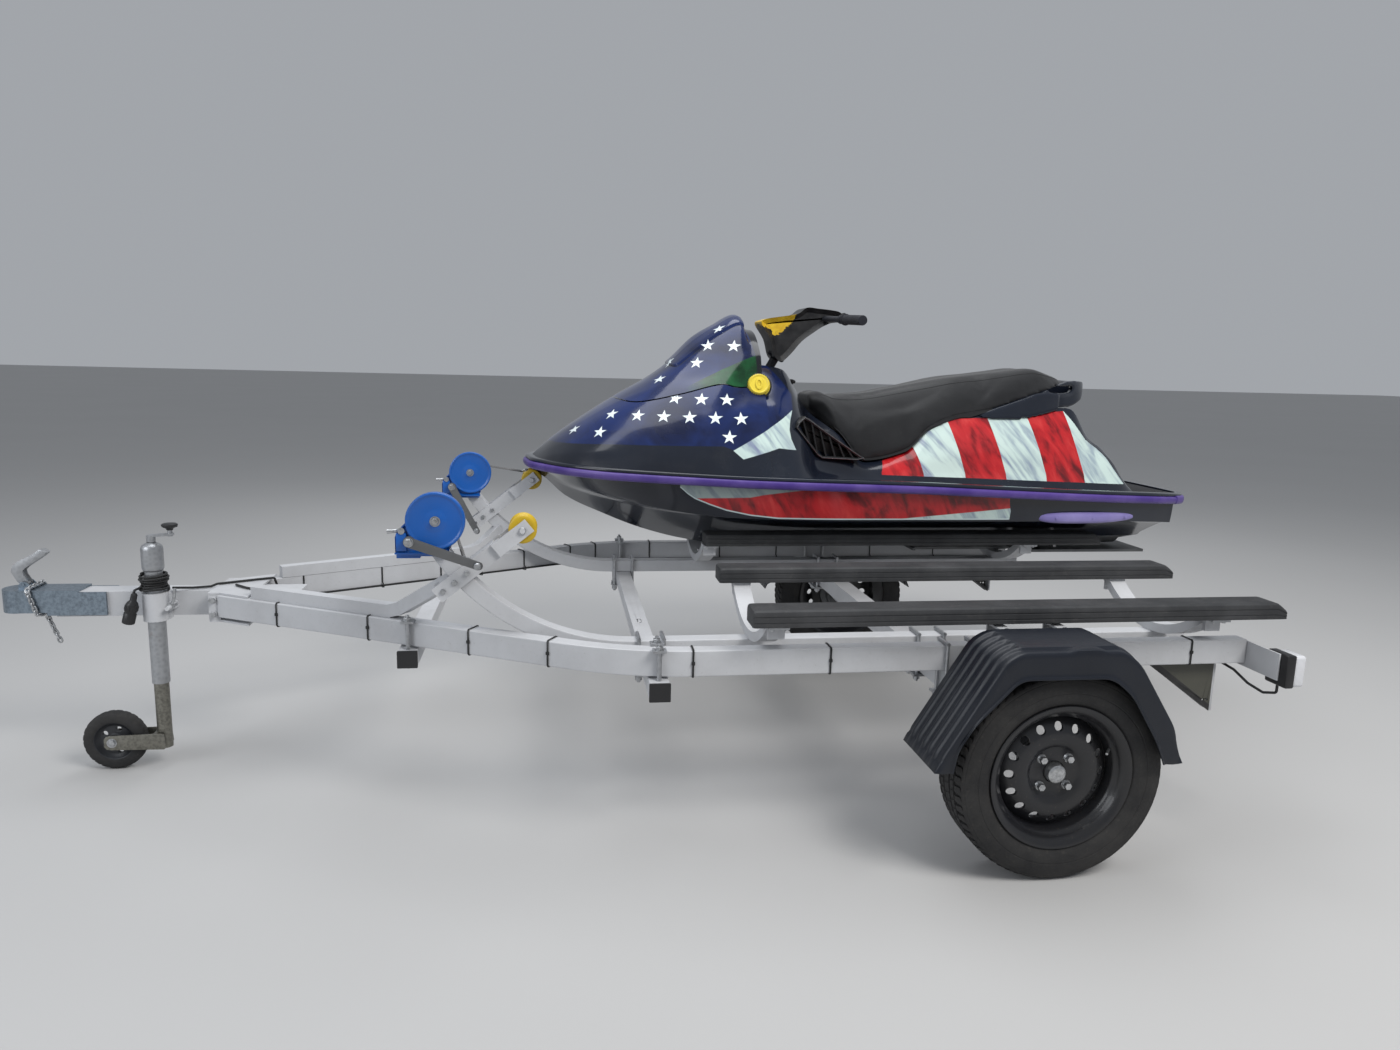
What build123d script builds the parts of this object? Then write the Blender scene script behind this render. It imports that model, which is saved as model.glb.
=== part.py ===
from build123d import *
import os
from math import sin, cos, tan, radians, atan2, degrees, sqrt, pi

# Personal watercraft (single seat, 2.5 m class) on a two-lane road trailer.
# Millimetres. x runs aft, y to starboard, z up. All x values below are measured
# from the trailer's axle line, all y values from its centre plane, z from the
# ground. SHIFT moves x so that the origin is under the middle of the whole box.
SHIFT = 813.5

os.makedirs("parts", exist_ok=True)


def out(name, *shapes):
    solids = []
    for s in shapes:
        solids += list(s.solids()) if not isinstance(s, (list, tuple)) else [q for t in s for q in t.solids()]
    moved = [Pos(SHIFT, 0, 0) * q for q in solids]
    export_step(moved[0] if len(moved) == 1 else Compound(children=moved), "parts/%s.step" % name)


def box(x0, x1, y0, y1, z0, z1):
    return Pos((x0 + x1) / 2, (y0 + y1) / 2, (z0 + z1) / 2) * Box(abs(x1 - x0), abs(y1 - y0), abs(z1 - z0))


def cyl(p, q, r):
    """Round bar from p to q."""
    a, b = Vector(*p), Vector(*q)
    pl = Plane(origin=a, z_dir=b - a)
    return extrude(pl * Circle(r), (b - a).length)


def ring(p, q, ro, ri):
    a, b = Vector(*p), Vector(*q)
    pl = Plane(origin=a, z_dir=b - a)
    return extrude(pl * (Circle(ro) - Circle(ri)), (b - a).length)


def bar(p, q, w, h, up=(0, 0, 1)):
    """Square-section bar from p to q, w across and h along up."""
    a, b = Vector(*p), Vector(*q)
    d = (b - a).normalized()
    side = d.cross(Vector(*up)).normalized()
    return extrude(Plane(origin=a, x_dir=side, z_dir=d) * Rectangle(w, h), (b - a).length)


def mirror_y(shape):
    return mirror(shape, about=Plane.XZ)


def prism_xz(points, y0, y1):
    """Outline in x and z pulled from y0 to y1."""
    f = make_face(Polyline(*[(x, y0, z) for x, z in points], close=True))
    return extrude(f, amount=abs(y1 - y0), dir=(0, 1 if y1 > y0 else -1, 0))


def loft_sections(rows, outline):
    """Ruled body through one closed outline per row; outline gives (y, z)."""
    faces = []
    for row in rows:
        faces.append(make_face(Polyline(*[(row[0], LANE + y, z) for y, z in outline(row)], close=True)))
    return loft(faces, ruled=True)


# ------------------------------------------------------------ driving sizes
LANE = 515.0                      # centre of each of the two lanes, from the middle
ST = (-400.0, 1262.0)             # a point of the steering axis, which leans 30 degrees aft

# trailer frame
RAIL_W, RAIL_Z0, RAIL_Z1, RAIL_Y = 45.0, 465.0, 531.0, 712.5
RAIL_AFT, RAIL_BEND_X, RAIL_ANGLE, RAIL_R = 645.0, -1021.0, 28.8, 650.0
RAIL_FRONT = -2168.0
DRAW_W, DRAW_Z0, DRAW_Z1, DRAW_FRONT, DRAW_AFT = 73.0, 457.0, 530.0, -2640.0, -1960.0
KEEL_W, KEEL_Z0, KEEL_Z1, KEEL_AFT, KEEL_BEND = 49.4, 459.0, 501.0, 600.0, -1000.0
POST_R, POST_ANGLE, POST_TOP = 600.0, 56.0, 22.0
CROSS = [  # x, half length
    (-1595.0, 450.0), (-955.0, 760.0)]
CROSS_W, CROSS_Z0, CROSS_Z1 = 50.0, 414.5, 458.5
AXLE_X, AXLE_W, AXLE_Z0, AXLE_Z1, AXLE_HALF = -175.0, 58.0, 400.0, 456.0, 800.0
# wheels: 13 inch steel rim, low road tyre
WHEEL_R, TYRE_W, WHEEL_Y, RIM_R = 266.6, 148.0, 905.0, 165.1
# bunks
BUNK_W, BUNK_Z0, BUNK_Z1, BUNK_OFF = 90.0, 603.0, 646.6, 238.0
BUNKS = [  # lane sign, x front, x aft
    (-1, -735.0, 700.0), (1, -690.0, 790.0)]
CRADLE_X = (-668.0, 520.0)
CRADLE_W, CRADLE_T = 50.0, 26.0
# mudguards
GUARD_Y0, GUARD_Y1 = 805.0, 1015.0
# winches and bow rollers
WINCH_X, WINCH_Z, WINCH_R = -1502.0, 828.0, 73.0
ROLLER_X, ROLLER_Z, ROLLER_R, ROLLER_HALF = -1289.0, 802.0, 36.0, 33.0
# jockey wheel
JOCKEY_X, JOCKEY_Y, JOCKEY_WX, JOCKEY_R = -2358.0, -66.0, -2493.0, 88.0

# ------------------------------------------------------------ side rails
a_ = radians(RAIL_ANGLE)
tl = RAIL_R * tan(a_ / 2)
bend_start = (RAIL_BEND_X + tl, -RAIL_Y)
bend_end = (RAIL_BEND_X - tl * cos(a_), -RAIL_Y + tl * sin(a_))
mid_ang = a_ / 2
bend_mid = (bend_start[0] - RAIL_R * sin(mid_ang), -RAIL_Y + RAIL_R * (1 - cos(mid_ang)))


def rail_y(x):
    """Centre line of the port rail at x."""
    if x >= bend_start[0]:
        return -RAIL_Y
    if x <= bend_end[0]:
        return -RAIL_Y + (RAIL_BEND_X - x) * tan(a_)
    return -RAIL_Y + RAIL_R - sqrt(RAIL_R ** 2 - (bend_start[0] - x) ** 2)


rail_end = (RAIL_FRONT, rail_y(RAIL_FRONT))
rz = (RAIL_Z0 + RAIL_Z1) / 2
rail_path = Wire([
    Edge.make_line((RAIL_AFT, -RAIL_Y, rz), (*bend_start, rz)),
    Edge.make_three_point_arc((*bend_start, rz), (*bend_mid, rz), (*bend_end, rz)),
    Edge.make_line((*bend_end, rz), (*rail_end, rz))])
rail = sweep(Plane(origin=(RAIL_AFT, -RAIL_Y, rz), x_dir=(0, 1, 0), z_dir=(-1, 0, 0))
             * Rectangle(RAIL_W, RAIL_Z1 - RAIL_Z0), path=rail_path)
out("rail_left", rail)
out("rail_right", mirror_y(rail))

# ------------------------------------------------------------ drawbar, coupler
drawbar = box(DRAW_FRONT, DRAW_AFT, -DRAW_W / 2, DRAW_W / 2, DRAW_Z0, DRAW_Z1)
out("drawbar", drawbar)

# bracket that joins the drawbar to the rails: side plates, top and bottom plates, bolts
BR_X0, BR_X1, BR_Y = -2204.0, -2172.0, 96.0
bracket = []
for s in (-1, 1):
    bracket.append(box(BR_X0, BR_X1, s * (BR_Y - 6), s * BR_Y, DRAW_Z0 - 0.5, DRAW_Z1 + 0.5)
                   + box(BR_X0, BR_X1, s * 37, s * (BR_Y - 6), 486, 502))
plate_out = [(BR_X0, -BR_Y), (BR_X1, -BR_Y), (-2080, -150), (-2080, 150), (BR_X1, BR_Y), (BR_X0, BR_Y)]
top_plate = extrude(Pos(0, 0, DRAW_Z1 + 1.5) * make_face(Polyline(*[(x, y, 0) for x, y in plate_out], close=True)), 6)
bot_plate = extrude(Pos(0, 0, DRAW_Z0 - 7) * make_face(Polyline(*[(x, y, 0) for x, y in plate_out], close=True)), 6)
for x in (-2190.0,):
    for z in (474.0, 517.0):
        for s in (-1, 1):
            bracket.append(cyl((x, s * (BR_Y + 0.3), z), (x, s * (BR_Y + 9), z), 9))
rails = rail + mirror_y(rail)
out("drawbar_bracket", *[q - rails for q in bracket], top_plate, bot_plate)

# coupler: pressed steel head with a ball socket under its nose
NOSE_X, BALL_X, BALL_R = -2792.0, -2745.0, 25.5
head = box(-2745, -2575, -45, 45, 470, 536)
head += Pos(BALL_X, 0, 503) * Cylinder(47, 66)
head -= box(-2660, -2570, -38, 38, 456, 530.5)
head -= cyl((BALL_X, 0, 469), (BALL_X, 0, 506), BALL_R)
head -= box(-2700, -2660, -38, 38, 469, 490)
tail = box(-2660, -2500, -45, -37.3, 462, 530) + box(-2660, -2500, 37.3, 45, 462, 530)
head += tail
for s in (-1, 1):                       # ears that carry the lever's pin
    head += prism_xz([(-2742, 530), (-2742, 548), (-2734, 557), (-2722, 557), (-2714, 548), (-2714, 530)], s * 17, s * 21)
    head += cyl((-2728, s * 16.3, 549), (-2728, s * 24, 549), 4)
out("coupler_body", head)
# raised release lever
LEV_X, LEV_Z = -2728.0, 547.0
lever = prism_xz([(LEV_X - 9, LEV_Z - 4), (LEV_X - 34, LEV_Z + 40), (LEV_X - 22, LEV_Z + 58), (LEV_X + 48, LEV_Z + 102),
                  (LEV_X + 64, LEV_Z + 92), (LEV_X + 2, LEV_Z + 40), (LEV_X + 12, LEV_Z + 2)], -16, 16)
lever += box(LEV_X - 9, LEV_X + 9, -14, 14, 543, 556)
lever += cyl((LEV_X, -13.4, 549), (LEV_X, 13.4, 549), 6)
out("coupler_lever", lever)

# ------------------------------------------------------------ keel beams with winch posts
kz = (KEEL_Z0 + KEEL_Z1) / 2
pa = radians(POST_ANGLE)
post_end = (KEEL_BEND - POST_R * sin(pa), kz + POST_R * (1 - cos(pa)))
post_mid = (KEEL_BEND - POST_R * sin(pa / 2), kz + POST_R * (1 - cos(pa / 2)))
post_top = (post_end[0] - POST_TOP * cos(pa), post_end[1] + POST_TOP * sin(pa))


def keel(y):
    path = Wire([
        Edge.make_line((KEEL_AFT, y, kz), (KEEL_BEND, y, kz)),
        Edge.make_three_point_arc((KEEL_BEND, y, kz), (post_mid[0], y, post_mid[1]), (post_end[0], y, post_end[1])),
        Edge.make_line((post_end[0], y, post_end[1]), (post_top[0], y, post_top[1]))])
    return sweep(Plane(origin=(KEEL_AFT, y, kz), x_dir=(0, 1, 0), z_dir=(-1, 0, 0))
                 * Rectangle(KEEL_W, KEEL_Z1 - KEEL_Z0), path=path)


out("keel_beam_left", keel(-LANE))
out("keel_beam_right", keel(LANE))

# ------------------------------------------------------------ cross members, caps, axle
cross, caps = [], []
for x, half in CROSS:
    cross.append(box(x - CROSS_W / 2, x + CROSS_W / 2, -half, half, CROSS_Z0, CROSS_Z1))
    for s in (-1, 1):
        caps.append(box(x - CROSS_W / 2 - 1.5, x + CROSS_W / 2 + 1.5, s * (half + 0.2), s * (half + 7),
                        CROSS_Z0 - 1.5, CROSS_Z1 + 1.5))
# mid member carries two slotted holes for an accessory
for y in (-205.0, -165.0):
    cross[1] -= cyl((CROSS[1][0], y, CROSS_Z0 - 5), (CROSS[1][0], y, CROSS_Z1 + 5), 5.0)
out("cross_members", *cross)
out("end_caps", *caps)

axle = box(AXLE_X - AXLE_W / 2, AXLE_X + AXLE_W / 2, -AXLE_HALF, AXLE_HALF, AXLE_Z0, AXLE_Z1)
STUB_Z = WHEEL_R
ARM_Y0, ARM_Y1 = 801.0, 821.0
for s in (-1, 1):
    arm = prism_xz([(AXLE_X - 38, 445), (AXLE_X + 15, 466), (30, STUB_Z + 30), (34, STUB_Z - 22), (-12, STUB_Z - 36)],
                   s * ARM_Y0 - (s * 1.5), s * ARM_Y1)
    axle += arm
    axle += cyl((0, s * (ARM_Y1 - 2), STUB_Z), (0, s * 885, STUB_Z), 15.0)
out("axle", axle)

# ------------------------------------------------------------ clamp plates, bolts and U-bolts
clamps = []
for x, half in CROSS:
    for s in (-1, 1):
        ry = -s * rail_y(x)
        yo = 31 if x < -1100 else 26
        plate = None
        for q in (-1, 1):                   # one bolt each side of the rail, with a lug that grips its top edge
            yb = ry + q * s * (yo + 7)
            y_in = ry + q * s * 15.5
            lug = box(x - 17, x + 17, y_in, yb + q * s * 12, RAIL_Z1 + 0.3, RAIL_Z1 + 6.3)
            lug += cyl((x, yb, CROSS_Z1 + 0.3), (x, yb, RAIL_Z1 + 2), 6)
            lug += cyl((x, yb, RAIL_Z1 + 6), (x, yb, RAIL_Z1 + 14), 9)
            if x < -1100 and q < 0:         # inner lug sits below the strut
                continue
            clamps.append(lug)


def ubolt(x, y, half, z_top, z_bot, r=5.0):
    """U-bolt across a beam: two legs and a flat bridge over the top."""
    u = cyl((x, y - half, z_bot), (x, y - half, z_top), r) + cyl((x, y + half, z_bot), (x, y + half, z_top), r)
    u += cyl((x, y - half - r, z_top), (x, y + half + r, z_top), r)
    for q in (-1, 1):
        u += cyl((x, y + q * half, z_bot + 6), (x, y + q * half, z_bot + 15), 9.5)
    return u


for s in (-1, 1):
    # keel beam to mid cross member
    for dx in (-33, 33):
        clamps.append(ubolt(CROSS[1][0] + dx, s * LANE, KEEL_W / 2 + 6, KEEL_Z1 + 5.5, CROSS_Z0 - 24))
    clamps.append(box(CROSS[1][0] - 40, CROSS[1][0] + 40, s * LANE - 40, s * LANE + 40, CROSS_Z0 - 8.5, CROSS_Z0 - 2.5))
    # keel beam and rail to the axle tube
    for y, w, zt in ((s * LANE, KEEL_W, KEEL_Z1), (s * RAIL_Y, RAIL_W, RAIL_Z1)):
        for dx in (-37, 37):
            clamps.append(ubolt(AXLE_X + dx, y, w / 2 + 6, zt + 5.5, AXLE_Z0 - 26))
        clamps.append(box(AXLE_X - 50, AXLE_X + 50, y - 44, y + 44, AXLE_Z0 - 10.5, AXLE_Z0 - 4.5))
fused = []
for s in (-1, 1):
    group = [c for c in clamps if (c.center().Y < 0) == (s < 0)]
    fused.append(group)
plates = [c for g in fused for c in g]
solids = plates[0]
for c in plates[1:]:
    solids += c

# ------------------------------------------------------------ winch struts: run on the rail, then up to the post
STRUT = 35.0
strut_z = RAIL_Z1 + 0.5 + STRUT / 2
STRUTS = [  # side, x where it leaves the rail, x and z where it meets the post, y there
    (-1, -1640.0, -1466.0, 668.0, LANE - 16), (1, -1500.0, -1404.0, 622.0, LANE - 12)]
struts = []
for s, xr, xt, zt, yt in STRUTS:
    p0 = (-2062.0, s * (-rail_y(-2062.0) - 7), strut_z)
    p1 = (xr, s * (-rail_y(xr) - 7), strut_z)
    p2 = (xr + 26, s * (-rail_y(xr + 26) - 7), strut_z + 11)
    p3 = (xt, s * yt, zt)
    dx, dy = p1[0] - p0[0], p1[1] - p0[1]
    ln = sqrt(dx * dx + dy * dy)
    st = bar(p0, p1, STRUT, STRUT)
    st += bar((p1[0] - 10 * dx / ln, p1[1] - 10 * dy / ln, p1[2]), p2, STRUT, STRUT) + bar(p2, p3, STRUT, STRUT)
    struts.append(st)

# ------------------------------------------------------------ bow roller arms
arms = []
arm_a = atan2(ROLLER_Z - 652.0, ROLLER_X + 1478.0)
for s in (-1, 1):
    y = s * LANE
    c_, s_ = cos(arm_a), sin(arm_a)
    back = (-1478.0 - 34 * c_, 652.0 - 34 * s_)
    mid = (ROLLER_X - 62 * c_, ROLLER_Z - 62 * s_)
    tip = (ROLLER_X + 22 * c_, ROLLER_Z + 22 * s_)
    ar = None
    for q in (-1, 1):                       # two flat cheeks beside the post and the roller
        side = y + q * (KEEL_W / 2 + 4.0)
        side2 = y + q * (ROLLER_HALF + 7.0)
        ch = bar((back[0], side, back[1]), (mid[0], side, mid[1]), 6, 42, up=(-s_, 0, c_))
        ch2 = bar((mid[0] - 24 * c_, side2, mid[1] - 24 * s_), (tip[0], side2, tip[1]), 6, 38, up=(-s_, 0, c_))
        ch3 = box(0, 1, 0, 1, 0, 1)
        web = bar((mid[0] - 24 * c_, (side + side2) / 2, mid[1] - 24 * s_), (mid[0] - 6 * c_, (side + side2) / 2, mid[1] - 6 * s_),
                  abs(side2 - side) + 6, 38, up=(-s_, 0, c_))
        part = ch + web + ch2
        ar = part if ar is None else ar + part
    # spacer block ahead of the post joins the two cheeks, pin at the roller
    sp = (-1478.0 + 52 * c_, 652.0 + 52 * s_)
    ar += bar((sp[0], y, sp[1]), (mid[0] - 20 * c_, y, mid[1] - 20 * s_), KEEL_W + 4, 40, up=(-s_, 0, c_))
    ar += cyl((ROLLER_X, y - ROLLER_HALF - 18, ROLLER_Z), (ROLLER_X, y + ROLLER_HALF + 18, ROLLER_Z), 7.0)
    ar -= keel(y)
    arms.append(max(ar.solids(), key=lambda q: q.volume))
out("bow_arms", *arms)
cut = []
for (s, *rest), st, ar in zip(STRUTS, struts, arms):
    st = st - keel(s * LANE) - ar - rail - mirror_y(rail)
    cut.append(max(st.solids(), key=lambda q: q.volume))
out("winch_struts", *cut)
out("clamps", solids - cut[0] - cut[1])

ROLL_PROFILE = [(7.06, -33), (34, -33), (36, -30), (36, -24), (22, -6), (22, 6), (36, 24), (36, 30), (34, 33), (7.06, 33)]
for s, nm in ((-1, "left"), (1, "right")):
    prof = make_face(Polyline(*[(r, 0, h) for r, h in ROLL_PROFILE], close=True))
    roller = revolve(prof, Axis.Z)
    out("bow_roller_" + nm, Pos(ROLLER_X, s * LANE, ROLLER_Z) * (Rot(90, 0, 0) * roller))

# ------------------------------------------------------------ cradles and bunks
ARC_SAG = 96.0
ARC_HALF = 245.0
arc_r = (ARC_HALF ** 2 + ARC_SAG ** 2) / (2 * ARC_SAG)
cradles, bunks = [], []
for s in (-1, 1):
    for x in CRADLE_X:
        y = s * LANE
        zc = KEEL_Z1 + 0.3 + arc_r
        disc = cyl((x - CRADLE_W / 2, y, zc), (x + CRADLE_W / 2, y, zc), arc_r)
        disc -= cyl((x - CRADLE_W, y, zc), (x + CRADLE_W, y, zc), arc_r - CRADLE_T)
        keepb = box(x - CRADLE_W, x + CRADLE_W, y - ARC_HALF, y + ARC_HALF, KEEL_Z1 - 5, BUNK_Z0 - 6)
        arc = disc & keepb
        for q in (-1, 1):                   # bracket under each bunk
            yb = y + q * BUNK_OFF
            arc += box(x - 26, x + 26, yb - 34, yb + 34, BUNK_Z0 - 7.3, BUNK_Z0 - 0.3)
            arc += box(x - 22, x + 22, yb - q * 4 - 5, yb - q * 4 + 5, KEEL_Z1 + 62, BUNK_Z0 - 4)
        cradles.append(arc)
for s, x0, x1 in BUNKS:
    for q in (-1, 1):
        yb = s * LANE + q * BUNK_OFF
        b = box(x0, x1, yb - BUNK_W / 2, yb + BUNK_W / 2, BUNK_Z0, BUNK_Z1)
        b = fillet(b.edges().filter_by(Axis.X), 9)
        bunks.append(b)
out("cradles", *cradles)
out("bunks", *bunks)

# ------------------------------------------------------------ mudguards
GUARD_OUT = [(-341, 310), (-334, 345), (-192, 578), (-150, 602), (112, 602), (160, 566), (268, 400), (284, 310)]
GUARD_IN = [(280, 310), (264, 396), (156, 560), (110, 596), (-148, 596), (-188, 573), (-328, 342), (-335, 310)]
SKIRT = [(-335, 312), (-334, 345), (-192, 578), (-150, 602), (112, 602), (160, 566), (268, 400), (282, 312),
         (231, 312), (209, 364), (132, 486), (78, 529), (-149, 530), (-252, 424), (-288, 372), (-298, 312)]
for s, nm in ((-1, "left"), (1, "right")):
    top = prism_xz(GUARD_OUT + GUARD_IN, s * GUARD_Y0, s * GUARD_Y1)
    skirt = prism_xz(SKIRT, s * (GUARD_Y1 - 6), s * GUARD_Y1)
    out("mudguard_" + nm, top + skirt)

# stays between rail and mudguard, lamp plates, plate gussets
brackets = []
for s in (-1, 1):
    for x in (-95.0, 60.0):
        stay = box(x - 15, x + 15, s * (RAIL_Y + RAIL_W / 2 + 0.4), s * (RAIL_Y + RAIL_W / 2 + 6.4), 470, 595.6)
        stay += box(x - 15, x + 15, s * (RAIL_Y + RAIL_W / 2 + 0.4), s * (GUARD_Y0 + 60), 589.6, 595.6)
        brackets.append(stay)
    brackets.append(box(RAIL_AFT + 0.3, RAIL_AFT + 5.3, s * 690, s * 852, 455, 527))
    gus = prism_xz([(378, 464.4), (572, 464.4), (584, 452), (584, 320), (576, 320), (378, 460)], s * 700, s * 704)
    brackets.append(prism_xz([(380, 464.4), (392, 464.4), (579, 332), (576, 322)], s * 672, s * 699.8))
    brackets.append(box(579.5, 584, s * 672, s * 699.8, 326, 446))
    for x, z in ((556, 352), (568, 352)):
        gus -= cyl((x, s * 690, z), (x, s * 710, z), 3.0)
    brackets.append(gus)
out("rear_brackets", *brackets)

LAMP_Y0, LAMP_Y1, LAMP_Z0, LAMP_Z1 = 802.0, 878.0, 440.0, 529.0
lamps = []
for s in (-1, 1):
    lamps.append(box(RAIL_AFT + 5.8, RAIL_AFT + 24, s * LAMP_Y0, s * LAMP_Y1, LAMP_Z0, LAMP_Z1)
                 + box(RAIL_AFT + 24, RAIL_AFT + 64, s * (LAMP_Y0 + 2), s * (LAMP_Y1 - 2), LAMP_Z0 + 2, LAMP_Z1 - 2))
out("tail_lamps", *lamps)

# ------------------------------------------------------------ road wheels
tyre_profile = [(RIM_R + 0.5, -53.5), (172, -55.6), (184, -59), (190, -66), (206, -73), (232, -74), (252, -68), (263, -60),
                (WHEEL_R, -46), (WHEEL_R, 46), (263, 60), (252, 68), (232, 74), (206, 73), (190, 66), (184, 59),
                (172, 55.6), (RIM_R + 0.5, 53.5)]
tyre = revolve(make_face(Polyline(*[(r, 0, h) for r, h in tyre_profile], close=True)), Axis.Z)
# rim: +h is the outer face; disc set outboard, hub drum behind it
RIM_PROFILE = [(0, 30), (24, 30), (28, 24), (62, 24), (68, 30), (100, 36), (124, 26), (140, 12), (146, 5), (146, 34),
               (152, 42), (158, 50), (166, 60), (179, 66), (183, 65), (183, 60), (171, 56.8), (165.0, 54.5), (165.0, 48),
               (151, 36), (151, -42), (165.0, -50), (165.0, -54.5), (171, -56.8), (183, -60), (183, -65), (179, -66),
               (166, -60), (146, -44), (146, -3), (138, 5), (122, 19), (100, 29), (70, 23), (62, 17), (28, 17), (0, 17)]
rim_parts = revolve(make_face(Polyline(*[(r, 0, h) for r, h in RIM_PROFILE], close=True)), Axis.Z)
for i in range(16):
    t = 2 * pi * i / 16
    rim_parts -= cyl((118 * cos(t), 118 * sin(t), 10), (118 * cos(t), 118 * sin(t), 45), 11.0)
hub = ring((0, 0, -56), (0, 0, 17.6), 58, 15.06) + ring((0, 0, 8), (0, 0, 18.3), 78, 15.06)
rim_parts += hub
for i in range(4):
    t = 2 * pi * (i + 0.5) / 4
    rim_parts += cyl((49 * cos(t), 49 * sin(t), 20), (49 * cos(t), 49 * sin(t), 40), 9.0)
rim_parts += cyl((0, 0, 28), (0, 0, 44), 25)
rim_parts -= cyl((0, 0, -60), (0, 0, -19.5), 15.06)
rim_parts -= cyl((0, 0, -60), (0, 0, -19.5), 15.06)
for s, nm in ((-1, "left"), (1, "right")):
    place = Pos(0, s * WHEEL_Y, WHEEL_R) * Rot(-90 * s, 0, 0)
    out("tyre_" + nm, place * tyre)
    out("rim_" + nm, place * rim_parts)

# ------------------------------------------------------------ winches
# one per lane: cheek plates on the post, gear cover disc on the port side, strap drum, crank
PIN_X, PIN_Z = WINCH_X - 62.0, WINCH_Z - 49.0
frames, straps = [], []
for s, nm in ((-1, "left"), (1, "right")):
    y = s * LANE
    yd = y - 58.0                                       # outer face of the gear cover
    fr = None
    for y0, y1 in ((y - 37, y - 33), (y + 33, y + 37)):
        ch = prism_xz([(WINCH_X - 98, WINCH_Z - 92), (WINCH_X - 92, WINCH_Z - 28), (WINCH_X - 74, WINCH_Z - 12),
                       (WINCH_X - 40, WINCH_Z + 30), (WINCH_X + 10, WINCH_Z + 34), (WINCH_X + 34, WINCH_Z + 4),
                       (WINCH_X + 28, WINCH_Z - 92)], y0, y1)
        fr = ch if fr is None else fr + ch
    fr += box(WINCH_X - 98, WINCH_X - 40, y - 37, y + 37, WINCH_Z - 97, WINCH_Z - 92)
    for q in (-1, 1):                       # packers between the post and the cheeks
        fr += box(WINCH_X - 30, WINCH_X + 24, y + q * (KEEL_W / 2 + 0.3), y + q * 34, WINCH_Z - 91, WINCH_Z - 64)
    cover = cyl((WINCH_X, yd, WINCH_Z), (WINCH_X, y - 37, WINCH_Z), WINCH_R)
    cover += prism_xz([(WINCH_X - 98, WINCH_Z - 80), (WINCH_X - 92, WINCH_Z - 28), (WINCH_X - 66, WINCH_Z - 2),
                       (WINCH_X, WINCH_Z - 10), (WINCH_X + 36, WINCH_Z - 60), (WINCH_X + 28, WINCH_Z - 80)], yd + 8, y - 37)
    cover += cyl((WINCH_X, yd - 8, WINCH_Z), (WINCH_X, yd + 1, WINCH_Z), 9)
    fr += cover
    fr -= cyl((PIN_X, yd - 30, PIN_Z), (PIN_X, y + 60, PIN_Z), 8.06)
    fr += cyl((WINCH_X, y - 40, WINCH_Z), (WINCH_X, y + 44, WINCH_Z), 8)
    fr -= keel(y)
    fr = max(fr.solids(), key=lambda q: q.volume)
    frames.append(fr)
    drum = ring((WINCH_X, y - 30, WINCH_Z), (WINCH_X, y - 26, WINCH_Z), 44, 8.06)
    drum += ring((WINCH_X, y + 26, WINCH_Z), (WINCH_X, y + 30, WINCH_Z), 44, 8.06)
    drum += ring((WINCH_X, y - 27, WINCH_Z), (WINCH_X, y + 27, WINCH_Z), 34, 8.06)
    out("winch_drum_" + nm, drum)
    # crank: near lane's arm hangs aft, far lane's arm hangs steeply
    ang = radians(-20.0 if s < 0 else -62.0)
    L = 190.0
    ya = yd - 16.0
    crank = cyl((PIN_X, y + 44, PIN_Z), (PIN_X, ya - 6, PIN_Z), 8.0)
    crank += cyl((PIN_X, yd - 6, PIN_Z), (PIN_X, ya - 4, PIN_Z), 14.0)
    crank += bar((PIN_X - 10 * cos(ang), ya, PIN_Z - 10 * sin(ang)), (PIN_X + L * cos(ang), ya, PIN_Z + L * sin(ang)), 6, 26,
                 up=(-sin(ang), 0, cos(ang)))
    crank += cyl((PIN_X + (L - 14) * cos(ang), ya + 6, PIN_Z + (L - 14) * sin(ang)),
                 (PIN_X + (L - 14) * cos(ang), ya - 16, PIN_Z + (L - 14) * sin(ang)), 9.0)
    out("winch_crank_" + nm, crank)
out("winch_frames", *frames)

# straps: the starboard one is pulled to the bow eye, the port one down to a hook on its arm
STRAPS = [  # side, start x and z at the drum, end x and z
    (1, -1469.0, 851.0, -1322.0, 828.0), (-1, -1463.0, 814.0, -1438.0, 723.0)]
STRAP_W, STRAP_T = 46.0, 3.0
out("winch_straps", *[bar((x0, s * LANE, z0), (x1, s * LANE, z1), STRAP_W, STRAP_T, up=(z0 - z1, 0, x1 - x0))
                      for s, x0, z0, x1, z1 in STRAPS])

# ------------------------------------------------------------ jockey wheel
jx, jy = JOCKEY_X, JOCKEY_Y
clampb = box(jx - 36, jx + 36, -62, -36.9, 452, 535) + ring((jx, jy, 452), (jx, jy, 535), 34, 24.3)
clampb += box(jx + 30, jx + 52, jy - 6, -36.9, 484, 504)
clampb += cyl((jx + 46, jy - 5, 494), (jx + 46, jy - 44, 494), 6)
clampb -= cyl((jx, jy, 440), (jx, jy, 545), 24.3)
clampb -= box(jx - 80, jx + 80, -36.8, 0, 440, 545)
out("jockey_clamp", clampb)
TUBE_TOP, TUBE_BOT = 676.0, 262.0
tube = ring((jx, jy, TUBE_BOT), (jx, jy, TUBE_TOP), 24.0, 21.0)
tube += ring((jx, jy, 600), (jx, jy, TUBE_TOP - 1), 30.0, 23.9)
tube += ring((jx, jy, TUBE_TOP - 1), (jx, jy, TUBE_TOP + 6), 30.0, 9.06)
out("jockey_tube", tube)
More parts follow.
